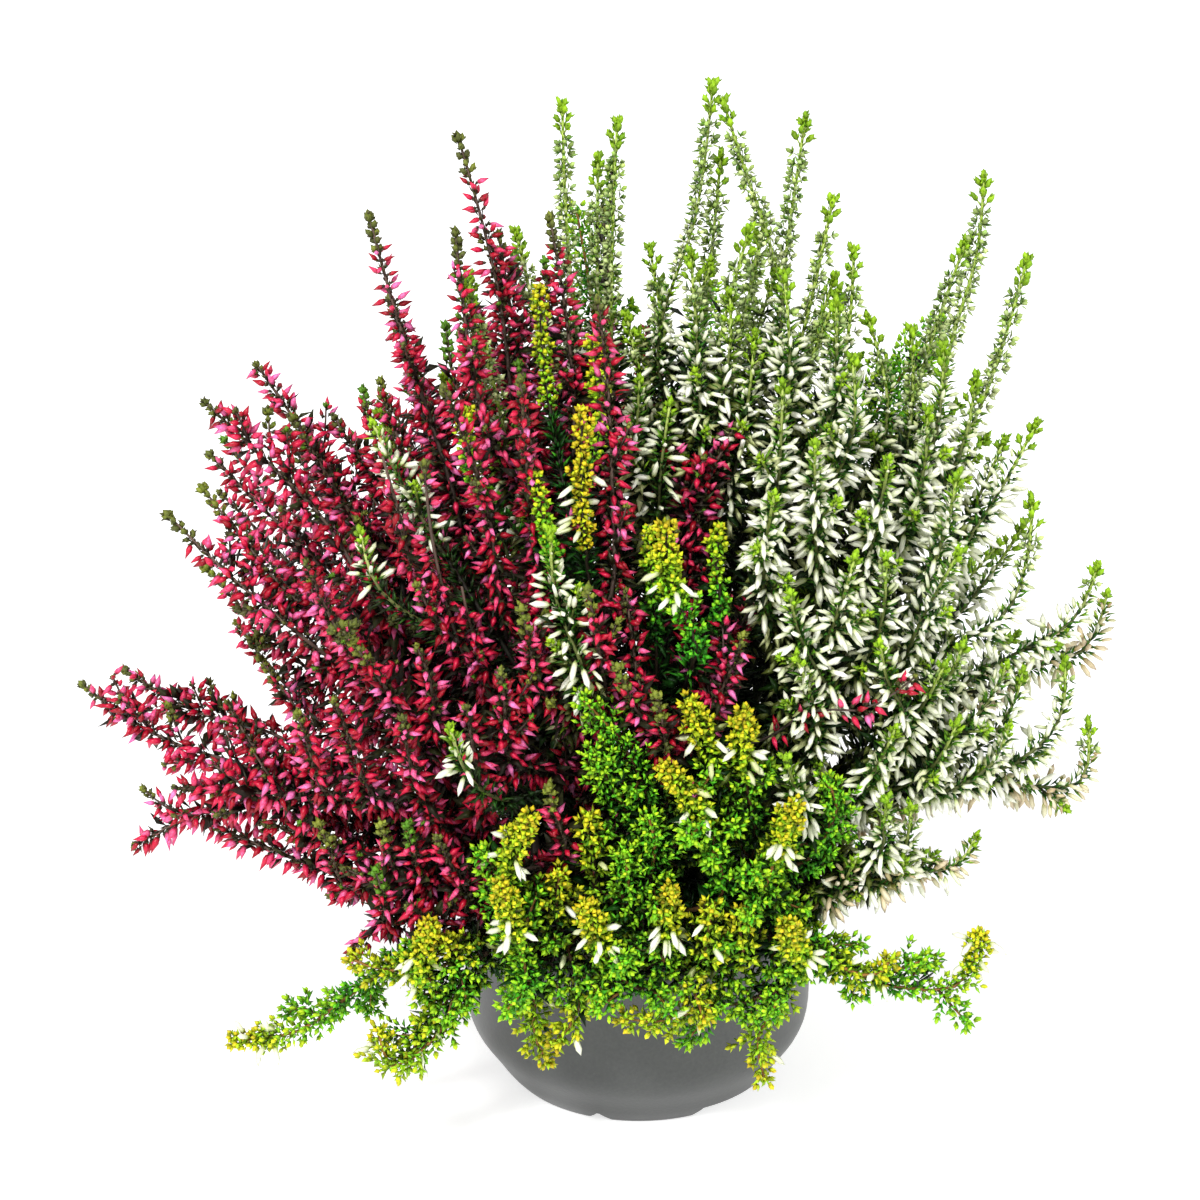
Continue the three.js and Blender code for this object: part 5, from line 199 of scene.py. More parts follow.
        (0.42, 1.0, 6.2, 0.0, 0, 0, "white", [(23.9, -11.6, 113.5), (23.9, -15.6, 141.4), (22.3, -20.7, 169.1), (17.8, -28.4, 195.9), (13, -34.4, 223), (13.6, -26.1, 249.6)]),
        (0.54, 1.0, 12.3, 0.0, 0, 0, "white", [(24.2, -13, 129.8), (26, -17, 157.7), (31.2, -22.9, 184.7), (40.4, -31.1, 210), (45.8, -30, 235.9), (49.1, -22.1, 262.8)]),
    ]),
    ("white_branch_03", 1.0, [(47.2, -28.4, 56.4), (56.4, -38, 91.9), (72, -54.2, 122.3)], [
        (0.97, 1.0, 9.4, 0.0, 0, 0, "white", [(71.1, -53.3, 120.5), (78.3, -58.5, 133.2), (89.2, -60.3, 144.1), (100.4, -62.4, 154.8), (107.5, -68.8, 167.3), (111, -74.7, 181.6)]),
        (0.66, 1.0, 9.3, 0.0, 0, 0, "white", [(61.4, -43.2, 101.7), (72.6, -52.8, 120.5), (86, -61.8, 137.8), (98.2, -70.2, 156.2), (105.7, -78.5, 177)]),
        (0.42, 1.0, 8.7, 0.0, 0, 0, "white", [(54.9, -36.5, 86.2), (67, -47.4, 105.7), (84.3, -57.9, 120.7), (102.1, -68, 135.4), (110.1, -77.2, 157.1)]),
        (0.54, 1.0, 8.7, 0.0, 0, 0, "white", [(57.7, -39.3, 94.4), (64.3, -49.5, 109.2), (66, -65, 119.9), (64.1, -82.7, 127.2), (60.1, -94.1, 141.3), (56.2, -104.1, 157.3)]),
        (0.3, 1.0, 3.6, 0.0, 0, 0, "white", [(52.7, -34.2, 77.7), (63.5, -46.2, 98.5), (73.9, -61, 117.7), (83.7, -76, 136.8), (90.5, -87.3, 159.6)]),
        (0.78, 1.0, 3.3, 0.0, 0, 0, "white", [(65.2, -47.1, 109), (72.2, -55.1, 121.6), (81.5, -62.8, 133.2), (93, -70.2, 143), (94, -77, 157), (87.7, -81.8, 171.6), (84.6, -87.3, 187.2)]),
    ]),
    ("white_branch_04", 1.0, [(41, -19, 56.4), (49, -28.3, 109.7), (64, -45.4, 159.3)], [
        (0.42, 1.0, 8.4, 0.0, 0, 0, "white", [(47.7, -26.8, 101.2), (58, -38.8, 130.6), (72.3, -56.3, 154.9), (84.8, -72.1, 180.9), (86.1, -81.2, 212.9)]),
        (0.54, 1.0, 8.5, 0.0, 0, 0, "white", [(50.2, -29.6, 113.7), (59.8, -38, 138.5), (75.5, -45, 160.1), (95.4, -50.5, 178.9), (104.4, -56.1, 204.2), (108.5, -61.8, 231)]),
        (0.3, 1.0, 8.5, 0.0, 0, 0, "white", [(45.8, -24.6, 88.4), (55.5, -34.2, 114.4), (70.8, -45.3, 136.6), (89.4, -56.7, 156.3), (98.7, -63.2, 183.1), (109.8, -69.2, 209.5)]),
        (0.78, 1.0, 4.5, 0.0, 0, 0, "white", [(57.4, -37.9, 137.5), (64.3, -47.6, 164.4), (67.4, -59.1, 191.3), (65.5, -69, 218.7), (64.6, -77.5, 246.8)]),
        (0.97, 1.0, 3.8, 0.0, 0, 0, "white", [(63.1, -44.4, 156.4), (70.3, -51.4, 177.1), (81, -57.4, 196.5), (84.8, -64.1, 218), (87.3, -71, 239.8)]),
        (0.66, 1.0, 4.0, 0.0, 0, 0, "white", [(53.8, -33.8, 125.6), (58.8, -42.4, 148.1), (57.9, -53.6, 169.8), (51.3, -66.8, 189.5), (50.5, -77.2, 211.4), (52.7, -86, 234.2)]),
    ]),
    ("white_branch_05", 1.0, [(51.4, -18.8, 56.4), (58.6, -29.7, 78.5), (70.2, -47.5, 92.8)], [
        (0.97, 1.0, 9.2, 0.0, 0, 0, "white", [(69.5, -46.4, 91.9), (76, -56.5, 99.2), (83, -67.6, 104), (87.7, -77.4, 112.1), (88.1, -83.4, 124.7), (87.7, -90.1, 137.1)]),
        (0.75, 1.0, 10.8, 0.0, 0, 0, "white", [(64.4, -38.6, 85.6), (70.9, -47.4, 91.6), (79.5, -56.1, 93.5), (88.9, -64.1, 94.5), (94.5, -68.3, 104.6), (96.5, -72.1, 116.4), (96.5, -76.1, 128.5)]),
        (0.3, 1.0, 7.7, 0.0, 0, 1, "white", [(55.7, -25.4, 69.7), (63.5, -36, 78), (72.4, -46.4, 85.5), (83.1, -55.7, 92.1), (98, -54.7, 94.5), (113.5, -53.4, 96.1), (120.1, -52.1, 107.2)]),
        (0.6, 1.0, 6.1, 0.0, 0, 1, "white", [(60.9, -33.3, 81.4), (66.1, -42.3, 87.9), (70.9, -52, 93.8), (75.1, -62.4, 99), (83.6, -68.9, 97.7), (93.4, -71.3, 98.7), (94.8, -74.2, 109.9)]),
        (0.45, 1.0, 1.9, 0.0, 0, 1, "white", [(57.9, -28.6, 76.3), (63.1, -37.5, 82.5), (67.6, -47.4, 87.3), (70.6, -58.8, 89.3), (73.8, -69.8, 92.5), (77.7, -74.5, 102.6), (80.5, -80.1, 112.8)]),
    ]),
    ("white_branch_06", 1.0, [(32.7, -12.5, 56.4), (39.6, -18.7, 128.3), (53.1, -30.8, 198.5)], [
        (0.97, 1.0, 11.0, 0.0, 0, 0, "white", [(52.3, -30, 194.3), (56.5, -32.6, 211.1), (63.6, -34, 226.9), (72.8, -34.2, 241.6), (73.3, -31.4, 258.2), (73, -28.1, 275.2)]),
        (0.7, 1.0, 15.2, 0.0, 0, 0, "white", [(45, -23.5, 156.4), (50.7, -28.3, 187.7), (55.6, -31.5, 219.4), (59.1, -30.7, 251.2), (57.5, -18.1, 280.7)]),
        (0.5, 1.0, 10.3, 0.0, 0, 0, "white", [(39.6, -18.7, 128.3), (44.9, -23.2, 151.6), (50.9, -28.3, 174.6), (59.6, -35.5, 196), (69.8, -43.7, 216.5), (77.8, -47.7, 238.3), (77.5, -38.1, 260.3)]),
        (0.3, 1.0, 10.3, 0.0, 0, 0, "white", [(36.9, -16.2, 99.5), (42.7, -22.6, 131.4), (47.8, -31.1, 162.8), (51.7, -43.8, 193), (55, -54.8, 223.8), (56.4, -46.1, 255.1)]),
    ]),
    ("white_branch_07", 1.0, [(58.5, -11, 56.4), (71, -19.6, 92.1), (91.6, -33.7, 121.6)], [
        (0.97, 1.0, 24.9, 0.0, 0, 0, "white", [(90.3, -32.9, 119.8), (99.3, -40, 135.6), (101.4, -47.4, 153.5), (110.3, -48.4, 168.5), (126.6, -41.8, 176.7), (133.7, -35.9, 193.3), (134.6, -30.1, 211.9)]),
        (0.729, 1.0, 9.5, 0.0, 0, 0, "white", [(80.4, -26.1, 105.5), (91.4, -32.5, 121.1), (102.2, -37.7, 137.4), (115.3, -39.4, 152.5), (132.7, -33.5, 160.8), (150.1, -27.7, 169.4), (157.5, -22.1, 186.5)]),
        (0.386, 1.0, 7.8, 0.0, 0, 1, "white", [(68.1, -17.6, 83.9), (81.7, -24.3, 102), (97.5, -24, 119.2), (114.7, -18.6, 134.5), (135, -13.1, 145.2), (157, -7.6, 151.2), (164.1, -2.1, 169.1)]),
        (0.471, 1.0, 10.7, 0.0, 0, 0, "white", [(70.3, -19.1, 90), (82.3, -26.6, 104.3), (96.8, -34.9, 115.2), (113.7, -44.1, 121.2), (131.3, -47.4, 128.8), (145.4, -39.9, 140.4), (146.8, -34.1, 159.3)]),
        (0.3, 1.0, 11.1, 0.0, 0, 1, "white", [(66, -16.2, 77.8), (78.5, -24.4, 93.8), (92.4, -33.9, 107.8), (110.6, -40, 117.1), (132.3, -35.9, 116), (153.9, -33, 115.5), (155.9, -30.1, 135.9)]),
        (0.643, 1.0, 6.9, 0.0, 0, 0, "white", [(76.9, -23.6, 100.5), (86, -29.9, 112.1), (95.7, -37.2, 122.5), (106.2, -47, 129.7), (117.5, -55.8, 136.9), (128, -50.6, 146.6), (133.1, -44.1, 160.1)]),
        (0.814, 1.0, 6.8, 0.0, 0, 0, "white", [(83.9, -28.5, 110.6), (91.5, -34.9, 121.4), (98.7, -42.7, 131.3), (104.2, -53.9, 138.6), (110.6, -64.3, 146.2), (120.5, -59.5, 154.6), (126.9, -54.1, 166.4)]),
        (0.557, 1.0, 6.8, 0.0, 0, 0, "white", [(73.3, -21.2, 95.4), (82.4, -28.6, 107.2), (91.5, -38.1, 117.2), (99.6, -51.5, 122.6), (108.1, -64.9, 127.2), (121, -64, 134.6), (127.9, -60.1, 148.8)]),
    ]),
    ("white_branch_08", 1.0, [(50, -4.8, 56.4), (61.8, -10.4, 119.6), (83.9, -20.8, 179.3)], [
        (0.54, 1.0, 28.0, 0.0, 0, 0, "white", [(63.6, -11.2, 124.4), (75.7, -15.8, 157.7), (87.5, -18.2, 191.2), (97.4, -15.8, 225), (98.5, -2.1, 257.6)]),
        (0.78, 1.0, 15.4, 0.0, 0, 0, "white", [(74.2, -16.2, 153), (82.3, -19.9, 172.9), (92.3, -24.1, 191.8), (104.5, -29, 209.2), (113.6, -26.7, 227.9), (117.4, -18.1, 247.6)]),
        (0.3, 1.0, 12.5, 0.0, 0, 0, "white", [(57.1, -8.1, 94.3), (67.4, -13.1, 119.8), (79.1, -18.8, 144.6), (93.6, -26.7, 167.1), (109.2, -33.9, 189.2), (124.5, -24.5, 209.2), (137.7, -14.1, 230.8)]),
        (0.42, 1.0, 9.4, 0.0, 0, 0, "white", [(59.9, -9.5, 109.5), (73.2, -14.8, 140.8), (91.4, -19.1, 169.6), (113, -22.1, 196.1), (128.1, -12.1, 224.8)]),
        (0.97, 1.0, 12.2, 0.0, 0, 0, "white", [(82.6, -20.2, 175.7), (88.9, -23.5, 192.6), (95.6, -28.1, 209), (102.4, -33.7, 225.2), (105.9, -29, 241.9), (106.5, -22.1, 258.9)]),
        (0.66, 1.0, 9.1, 0.0, 0, 0, "white", [(68.9, -13.7, 138.7), (75.7, -18.2, 156.9), (82.5, -23.5, 174.8), (89, -32.9, 191.1), (95.3, -43.3, 206.7), (99.9, -43.9, 224.6), (101.2, -36.1, 242.7)]),
    ]),
    ("white_branch_09", 1.0, [(39.5, -4.5, 56.4), (47, -6.9, 128.7), (61.8, -11.6, 199.8)], [
        (0.6, 0.96, 40.0, 0.0, 0, 0, "white", [(50, -7.9, 142.9), (55.6, -11, 174.8), (58.4, -15, 206.8), (59.4, -17.7, 239.1), (66.8, -8.1, 268.8), (73.5, 1.9, 298.6)]),
        (0.97, 1.0, 27.7, 0.0, 0, 0, "white", [(60.9, -11.4, 195.5), (66.4, -12.8, 218.1), (74.9, -14.2, 239.8), (78.6, -9.5, 261.8), (79.8, -2.1, 283.8)]),
        (0.3, 1.0, 24.8, 0.0, 0, 0, "white", [(44, -6, 99.8), (52.3, -8.5, 134), (62.9, -11.5, 167.3), (78.1, -15.6, 198.9), (90.5, -17.2, 231.1), (83.8, -6.1, 263.4)]),
    ]),
    ("white_branch_10", 1.0, [(58.7, 1, 56.4), (68.5, -0.9, 124.1), (88, -4.5, 189)], [
        (0.97, 1.0, 58.7, 0.0, 0, 0, "white", [(86.8, -4.2, 185.1), (94.9, -7, 209.3), (105.3, -11.9, 232), (111.2, -5.8, 256.1), (118, 0, 280), (119.9, 5.9, 304.8)]),
        (0.6, 1.0, 47.1, 0.0, 0, 0, "white", [(72.4, -1.6, 137.1), (83.1, -2.1, 173.8), (95.2, 1.9, 209.8), (104.8, 8.4, 246.1), (116.7, 15.9, 281.4)]),
        (0.3, 1.0, 49.6, 0.0, 0, 0, "white", [(64.6, -0.1, 97), (79.5, -3.8, 144.5), (98.7, -11.8, 189.8), (119.7, -11.2, 233.7), (134.2, 1.9, 279.4)]),
    ]),
    ("white_branch_11", 1.0, [(47.3, 5.3, 56.4), (49, 4.5, 96), (52.5, 2.9, 135.4)], [
        (0.97, 0.96, 40.3, 0.0, 0, 0, "white", [(52.3, 3, 133.1), (49, -1.8, 157), (43.1, -8.9, 178.7), (49.7, -11.6, 202.9), (57.8, -13.3, 227), (66.6, -13.5, 250.7), (75.5, -12.3, 274.3)]),
        (0.75, 1.0, 28.9, 0.0, 2, 0, "white", [(50.8, 3.7, 115.7), (48.9, 1.5, 143.6), (50.6, -0.4, 170.4), (62.5, 0.8, 195.8), (73.2, 1.1, 221.7), (83, 0.7, 247.8)]),
        (0.6, 1.0, 26.6, 0.0, 0, 0, "white", [(49.7, 4.2, 103.9), (57.2, -2.8, 138.9), (73.5, -4, 171.7), (92.4, -2.5, 203.5), (113.9, -5.9, 233.5)]),
        (0.45, 1.0, 28.5, 0.0, 0, 0, "white", [(48.9, 4.6, 92), (54.6, 10.4, 131.9), (70.2, 24.3, 166.9), (91.4, 33.4, 200.9), (110.4, 40, 236.8)]),
        (0.3, 1.0, 19.3, 12.0, 0, 0, "white", [(48.3, 4.8, 80.2), (56.3, 3.5, 119.9), (73.5, 4.3, 156.7), (95.4, 7.5, 190.8), (121.3, 10.2, 222)]),
    ]),
    ("white_branch_12", 1.0, [(56.3, 11.3, 56.4), (60, 13, 77.1), (67, 16.2, 96.7)], [
        (0.97, 1.0, 14.3, 0.0, 2, 0, "white", [(66.6, 16, 95.5), (71.3, 11.4, 113.3), (84.7, 10.2, 127), (101.1, 13.9, 138.4), (116.8, 17.4, 150.8), (129.2, 19.5, 166.6), (139.6, 20.9, 184)]),
        (0.7, 1.0, 12.6, 0.0, 2, 0, "white", [(62.8, 14.3, 84.9), (73.2, 20.7, 110.9), (94.6, 30, 128.2), (115.3, 37.7, 147.1), (134.4, 43.5, 168.2)]),
        (0.5, 1.0, 14.0, 0.0, 0, 0, "white", [(60, 13, 77.1), (65.5, 22, 93.5), (73.3, 36.4, 103.3), (89.8, 44.3, 112), (105.5, 52.1, 122.1), (117.3, 60.5, 136), (127.8, 69, 151.1)]),
        (0.3, 1.0, 11.3, 0.0, 2, 0, "white", [(58.5, 12.3, 68.8), (69.1, 13.1, 89), (87.8, 17.9, 100.3), (107.5, 25.2, 109.5), (124.4, 28.1, 124.8), (140.2, 29.9, 141.5)]),
    ]),
    ("white_branch_13", 1.0, [(47.4, 16.8, 56.4), (50.5, 18.4, 84.5), (56.7, 21.4, 111.9)], [
        (0.97, 1.0, 19.6, 12.0, 0, 0, "white", [(56.3, 21.2, 110.2), (64.2, 16.9, 128.2), (76.4, 15.8, 145.1), (88.2, 19, 162.4), (100.5, 22.7, 179.3), (114, 27.2, 195), (127.9, 32.2, 210.2)]),
        (0.6, 1.0, 14.8, 12.0, 0, 0, "white", [(51.8, 19, 89.9), (62.6, 24.1, 120.7), (78, 35.2, 147.9), (96.2, 45.9, 173.3), (120.2, 53.7, 194.8)]),
        (0.3, 1.0, 11.7, 12.0, 0, 0, "white", [(49.3, 17.7, 73.2), (52.6, 21.8, 93.9), (50.9, 30.4, 113.1), (61.5, 42.1, 127.1), (74.1, 52.9, 140.4), (84.1, 59.8, 157.8), (93.3, 65.4, 176.2)]),
    ]),
    ("white_branch_14", 1.0, [(32.1, 2.9, 56.4), (35.6, 2.8, 134.9), (34, -5.8, 208.9)], [
        (0.45, 0.78, 63.5, 0.0, 0, 0, "white", [(35.3, 2.9, 127.1), (34.5, -0.6, 169.2), (27.7, -3.4, 210.7), (19.3, -3.8, 251.9), (31, 5.2, 291.2), (36.2, 13.9, 332.1)]),
        (0.97, 1.0, 55.8, 0.0, 0, 0, "white", [(34.1, -5.3, 204.5), (38, -5.1, 226.7), (52.5, -7.1, 243.6), (58.1, -5.4, 263.8), (53.3, 0, 285.4), (45.9, 5, 306.2), (38.9, 9.9, 327.2)]),
        (0.6, 0.96, 59.4, 0.0, 0, 0, "white", [(35.3, 1.1, 149.7), (37.8, 1.1, 184.8), (45.9, 2.8, 218.8), (56.1, 6.1, 252.1), (60.6, 12, 286.3), (65.3, 17.9, 320.4)]),
        (0.3, 0.75, 28.2, 0.0, 0, 0, "white", [(34.2, 2.9, 103.5), (33.9, 3.9, 148.3), (30.3, 3.8, 192.9), (23.8, 3.8, 237.1), (16.8, 15.9, 279.1)]),
        (0.75, 1.0, 18.6, 0.0, 0, 0, "white", [(34.8, -1.5, 171.9), (34.8, -1.9, 193.8), (33.8, -3, 215.7), (31, -5.9, 237.3), (30.5, -5.5, 258.8), (36.5, 3.9, 277.8)]),
    ]),
    ("white_branch_15", 1.0, [(21.6, 2.4, 56.4), (21.7, 2.8, 104.2), (21.9, 3.7, 152)], [
        (0.97, 0.96, 52.8, 0.0, 1, 0, "white", [(21.9, 3.6, 149.1), (23.1, 6.1, 189.5), (29.8, 7.8, 229.5), (35.3, 9.7, 269.7), (39, 12.8, 310)]),
        (0.75, 1.0, 45.9, 0.0, 0, 0, "white", [(21.8, 3.2, 128.1), (25.2, -5.3, 169.4), (31.4, -12.7, 210.9), (37.6, -14.1, 253.4), (47.2, -17.7, 295.2)]),
        (0.45, 1.0, 34.0, 0.0, 0, 0, "white", [(21.7, 2.8, 99.4), (19.1, 5.7, 141.3), (15, 13.6, 182.2), (20, 21.2, 223.3), (20.9, 24.8, 265.3)]),
        (0.6, 0.75, 39.9, 12.0, 2, 0, "white", [(21.8, 3, 113.8), (26.7, 1.2, 154.6), (36.9, 1.2, 194.6), (45.6, 4.4, 235), (56.7, 4.5, 275)]),
        (0.3, 1.0, 27.5, 0.0, 0, 0, "white", [(21.7, 2.6, 85.1), (18.8, 6.8, 125.3), (10.5, 18.4, 163.2), (12.1, 26.4, 203), (14.7, 36.3, 242.3)]),
    ]),
    ("white_branch_16", 1.0, [(38.4, 11.3, 56.4), (38.5, 13.4, 99.6), (36.9, 10.5, 147.3)], [
        (0.97, 1.0, 42.7, 12.0, 1, 0, "white", [(37, 10.7, 144.4), (30.8, 10.7, 172), (34.5, 15.2, 200.2), (42.1, 21.4, 227.9), (48.3, 27.2, 256), (53.9, 33, 284.2)]),
        (0.6, 0.92, 39.9, 12.0, 1, 0, "white", [(38.2, 12.8, 109.1), (39.4, 10.3, 150.2), (49.2, 8.7, 190.1), (63.2, 13.6, 228.9), (75.8, 20.4, 268)]),
        (0.75, 0.72, 38.0, 12.0, 1, 0, "white", [(37.7, 11.9, 123.4), (35.3, 19.4, 154.4), (33.9, 30.2, 183.8), (41.4, 40.8, 213.1), (48.7, 49.6, 243), (54.7, 54.7, 274.1)]),
        (0.45, 1.0, 32.1, 12.0, 2, 0, "white", [(38.5, 13.2, 95.3), (40.3, 16.2, 137.3), (52, 19.7, 177.3), (70, 25.2, 215), (79.3, 38, 254)]),
        (0.3, 1.0, 28.3, 0.0, 0, 0, "white", [(38.5, 12.6, 82.3), (39.4, 18.8, 125.1), (46.5, 32.7, 165.1), (63.3, 48.2, 201.9), (75.1, 57.6, 242.5)]),
    ]),
    ("white_branch_17", 1.0, [(38.2, 21.8, 56.4), (39.3, 24.1, 89.2), (41.4, 28.6, 121.8)], [
        (0.97, 1.0, 21.7, 0.0, 2, 0, "white", [(41.3, 28.3, 119.8), (35.4, 32, 137.4), (34.8, 40.3, 154.9), (39.1, 49.3, 172.2), (44.3, 57.6, 189.7), (50.8, 64.5, 207.4), (57.6, 71, 225)]),
        (0.6, 1.0, 17.2, 12.0, 1, 0, "white", [(39.7, 25, 95.8), (46.8, 25.7, 128.7), (61.7, 32.8, 158.2), (77.1, 43.7, 186.6), (92.4, 54.2, 215.1)]),
        (0.3, 1.0, 14.4, 0.0, 0, 0, "white", [(38.8, 23.2, 76.1), (42.1, 30.4, 112.1), (51.6, 45, 144.1), (66.9, 62.6, 172.6), (81.8, 75.7, 203.7)]),
    ]),
    ("white_branch_18", 1.0, [(28.5, 28.6, 56.4), (29.2, 34.3, 81), (28.8, 37.8, 106.9)], [
        (0.97, 1.0, 16.9, 0.0, 2, 0, "white", [(28.8, 37.6, 105.3), (23.8, 40.6, 128.1), (22.9, 47.2, 151), (25.9, 56.8, 172.9), (30.7, 69.8, 192.6), (36.4, 84.2, 211.1)]),
        (0.7, 1.0, 17.9, 12.0, 0, 0, "white", [(29, 35.7, 91.3), (30.8, 41.4, 118.2), (37.5, 55.3, 141), (45.2, 69.6, 163.2), (54.1, 82.9, 185.6)]),
        (0.5, 1.0, 13.6, 0.0, 2, 0, "white", [(29.2, 34.3, 81), (25.3, 44.5, 102.3), (20.2, 60.8, 118.8), (23.8, 75, 138.3), (27.8, 90.9, 156.3), (32, 107.9, 173.2)]),
        (0.3, 0.92, 17.0, 0.0, 0, 0, "white", [(28.9, 32, 71.2), (32.7, 37.2, 92.9), (43.2, 45.2, 111.1), (51.4, 60.4, 126), (61.3, 72, 143), (72.5, 80.3, 161.3)]),
    ]),
    ("white_branch_19", 1.0, [(16.3, 11.4, 56.4), (12.5, 10.9, 134.8), (2.4, 13.2, 212.8)], [
        (0.7, 0.88, 63.9, 0.0, 0, 0, "white", [(8.4, 11.8, 166), (2.9, 11.4, 205.7), (-4.9, 8.4, 244.8), (-9, 15.1, 283.8), (-10.4, 23.9, 322.9)]),
        (0.3, 0.88, 62.4, 0.0, 0, 0, "white", [(14, 11.1, 103.4), (9.5, 9.5, 157.5), (6.3, 6.5, 211.7), (4.9, 7.7, 265.7), (6.8, 20.2, 318.5)]),
        (0.5, 1.0, 47.5, 0.0, 0, 0, "white", [(12.5, 10.9, 134.8), (7.7, 11.6, 177.4), (3.4, 15.7, 219.9), (0.7, 22, 262.3), (0.8, 29.9, 304.4)]),
        (0.97, 1.0, 25.1, 0.0, 0, 0, "white", [(3, 13.1, 208.1), (-0.4, 12.7, 225), (-7.9, 10.4, 240), (-17.6, 7.4, 253.4), (-21.5, 12.5, 268.5), (-25.3, 17.9, 283.7)]),
    ]),
    ("white_branch_20", 1.0, [(11.4, -0, 56.4), (4.3, -0.1, 99.8), (-9.4, -0.3, 141.4)], [
        (0.97, 0.88, 42.1, 0.0, 2, 0, "white", [(-8.5, -0.3, 138.9), (-18.1, -10.2, 171.7), (-24.5, -15, 206.9), (-31.3, -17, 242.2), (-40.9, -16.8, 276.9)]),
        (0.5, 1.0, 31.0, 0.0, 0, 0, "white", [(4.3, -0.1, 99.8), (-10.1, -2, 135.4), (-25.1, -4, 170.6), (-34.5, -0.6, 207.9), (-47.8, -5.5, 243.7)]),
        (0.7, 1.0, 33.6, 0.0, 2, 0, "white", [(-1.2, -0.2, 116.4), (-13.3, 7.9, 152.8), (-24.2, 18.4, 189), (-34.7, 23.6, 226.8), (-40.5, 32.5, 265)]),
        (0.3, 1.0, 26.6, 0.0, 0, 0, "white", [(7.1, -0.1, 82.4), (-9.8, -0.6, 120.3), (-35, -1.8, 153.3), (-52.6, -2, 191), (-68.7, 0.6, 229.3)]),
    ]),
    ("white_branch_21", 1.0, [(12.5, -17.9, 56.4), (0.4, -30.5, 108.1), (-17.5, -55.7, 153.9)], [
        (0.5, 1.0, 8.1, 0.0, 0, 0, "white", [(0.4, -30.5, 108.1), (-6.2, -42.1, 127.7), (-8.7, -56.8, 146), (-4.8, -74.9, 160.8), (-3.5, -89.5, 177.9), (-11.5, -85.5, 198.8), (-13.3, -84.1, 221.9)]),
        (0.97, 1.0, 7.9, -38, 0, 0, "white", [(-16.4, -54.2, 151.1), (-27.6, -63.2, 174.5), (-41.8, -60.1, 197.2), (-55.9, -53.9, 219.5), (-67.7, -48.1, 243)]),
        (0.7, 1.0, 4.2, -12, 0, 0, "white", [(-6.7, -40.6, 126.4), (-14.7, -49, 142.7), (-23.6, -57.2, 158.7), (-36.3, -64, 172.5), (-50.8, -70, 184.9), (-64.7, -74.5, 198.4), (-70.6, -70.1, 216.6)]),
        (0.3, 1.0, 2.4, -16, 0, 0, "white", [(5.3, -25.5, 87.4), (-2.7, -36.8, 104.8), (-11, -50.4, 120.1), (-19.6, -69, 128.8), (-28.2, -88.5, 135.3), (-37.4, -101.8, 148.8), (-43, -108.1, 169.1)]),
    ]),
    ("golden_branch_01", 1.0, [(22.2, -48.3, 56.4), (23.2, -57.2, 71.3), (24.8, -72.4, 79.2)], [
        (0.3, 1.0, 0.0, 0.0, 0, 0, "gold", [(22.8, -53.7, 65.4), (22.5, -63.5, 78), (20.9, -77.8, 78.2), (15, -90.6, 72), (5, -97, 82.3), (0.7, -103.5, 96.9), (-3.4, -110.1, 111.4)]),
        (0.54, 1.0, 0.0, 0.0, 0, 0, "gold", [(23.3, -58.4, 72), (23.2, -67.5, 79.9), (22.1, -78.6, 80.9), (20.7, -89.5, 80.7), (21.4, -94.1, 91.7), (22, -98.9, 102.6), (22.4, -104.1, 113.4)]),
        (0.97, 1.0, 0.0, 0.0, 0, 0, "frond", [(24.7, -71.5, 78.8), (23.5, -80.4, 84.1), (15.8, -85.4, 88.9), (10.2, -89.7, 96.2), (10.3, -93.7, 105.9), (9.6, -97.9, 115.5), (8.6, -102.1, 125.1)]),
        (0.66, 1.0, 0.0, 0.0, 0, 0, "leafy", [(23.7, -62.1, 73.9), (26.1, -69.4, 78.8), (29, -77.8, 81.1), (32.6, -86.2, 79.7), (34, -91.2, 86.8), (34.5, -94.4, 95.8), (35.3, -98.1, 104.7)]),
        (0.78, 1.0, 0.0, 0.0, 0, 0, "leafy", [(24.1, -65.7, 75.8), (27.3, -73.7, 82.2), (35.4, -79.2, 81.6), (44.5, -82.6, 78.2), (45.5, -87.5, 84.2), (43.9, -91.6, 93.2), (44.5, -96.1, 102)]),
        (0.42, 1.0, 0.0, 0.0, 0, 0, "leafy", [(23, -55.8, 69), (24.6, -61.5, 75.5), (25, -68.3, 81.5), (25.9, -76.9, 80), (27.7, -84.1, 75), (30.8, -90.7, 70.1), (33.7, -96.1, 63.6)]),
    ]),
    ("golden_branch_02", 1.0, [(16.7, -34, 56.4), (21.5, -43, 108.1), (28.2, -57.8, 159.6)], [
        (0.6, 0.88, 0.0, 0.0, 0, 0, "short", [(22.8, -46, 118.4), (24.6, -52.5, 137.7), (26.2, -61.4, 155.8), (28.3, -74.4, 171), (29.8, -87.4, 186.3), (22.9, -87.7, 204.4), (20.5, -88.1, 224.1)]),
        (0.97, 1.0, 0.0, 0.0, 0, 0, "nib", [(27.8, -57, 156.5), (28.8, -62.4, 169.6), (32.4, -69.3, 181.3), (37.4, -76.8, 192.1), (36.2, -76.8, 205.8), (36.7, -76.1, 219.8)]),
        (0.3, 0.78, 0.0, 0.0, 0, 0, "nib", [(19.6, -39.4, 87.4), (19.3, -50, 117.8), (18.8, -58.6, 149.3), (18.3, -65.1, 181.4), (15.8, -66.1, 214.1)]),
    ]),
    ("golden_branch_03", 1.0, [(26.9, -36.2, 56.4), (35.5, -45.6, 73.9), (46.5, -60.2, 78.5)], [
        (0.97, 1.0, 0.0, 0.0, 0, 0, "leafy", [(45.9, -59.4, 78.2), (54.9, -70, 80.1), (60.6, -75.9, 67.6), (48.8, -81.5, 63.2), (34.7, -86.2, 63.5), (21, -91.3, 61.3), (8.1, -96.1, 65)]),
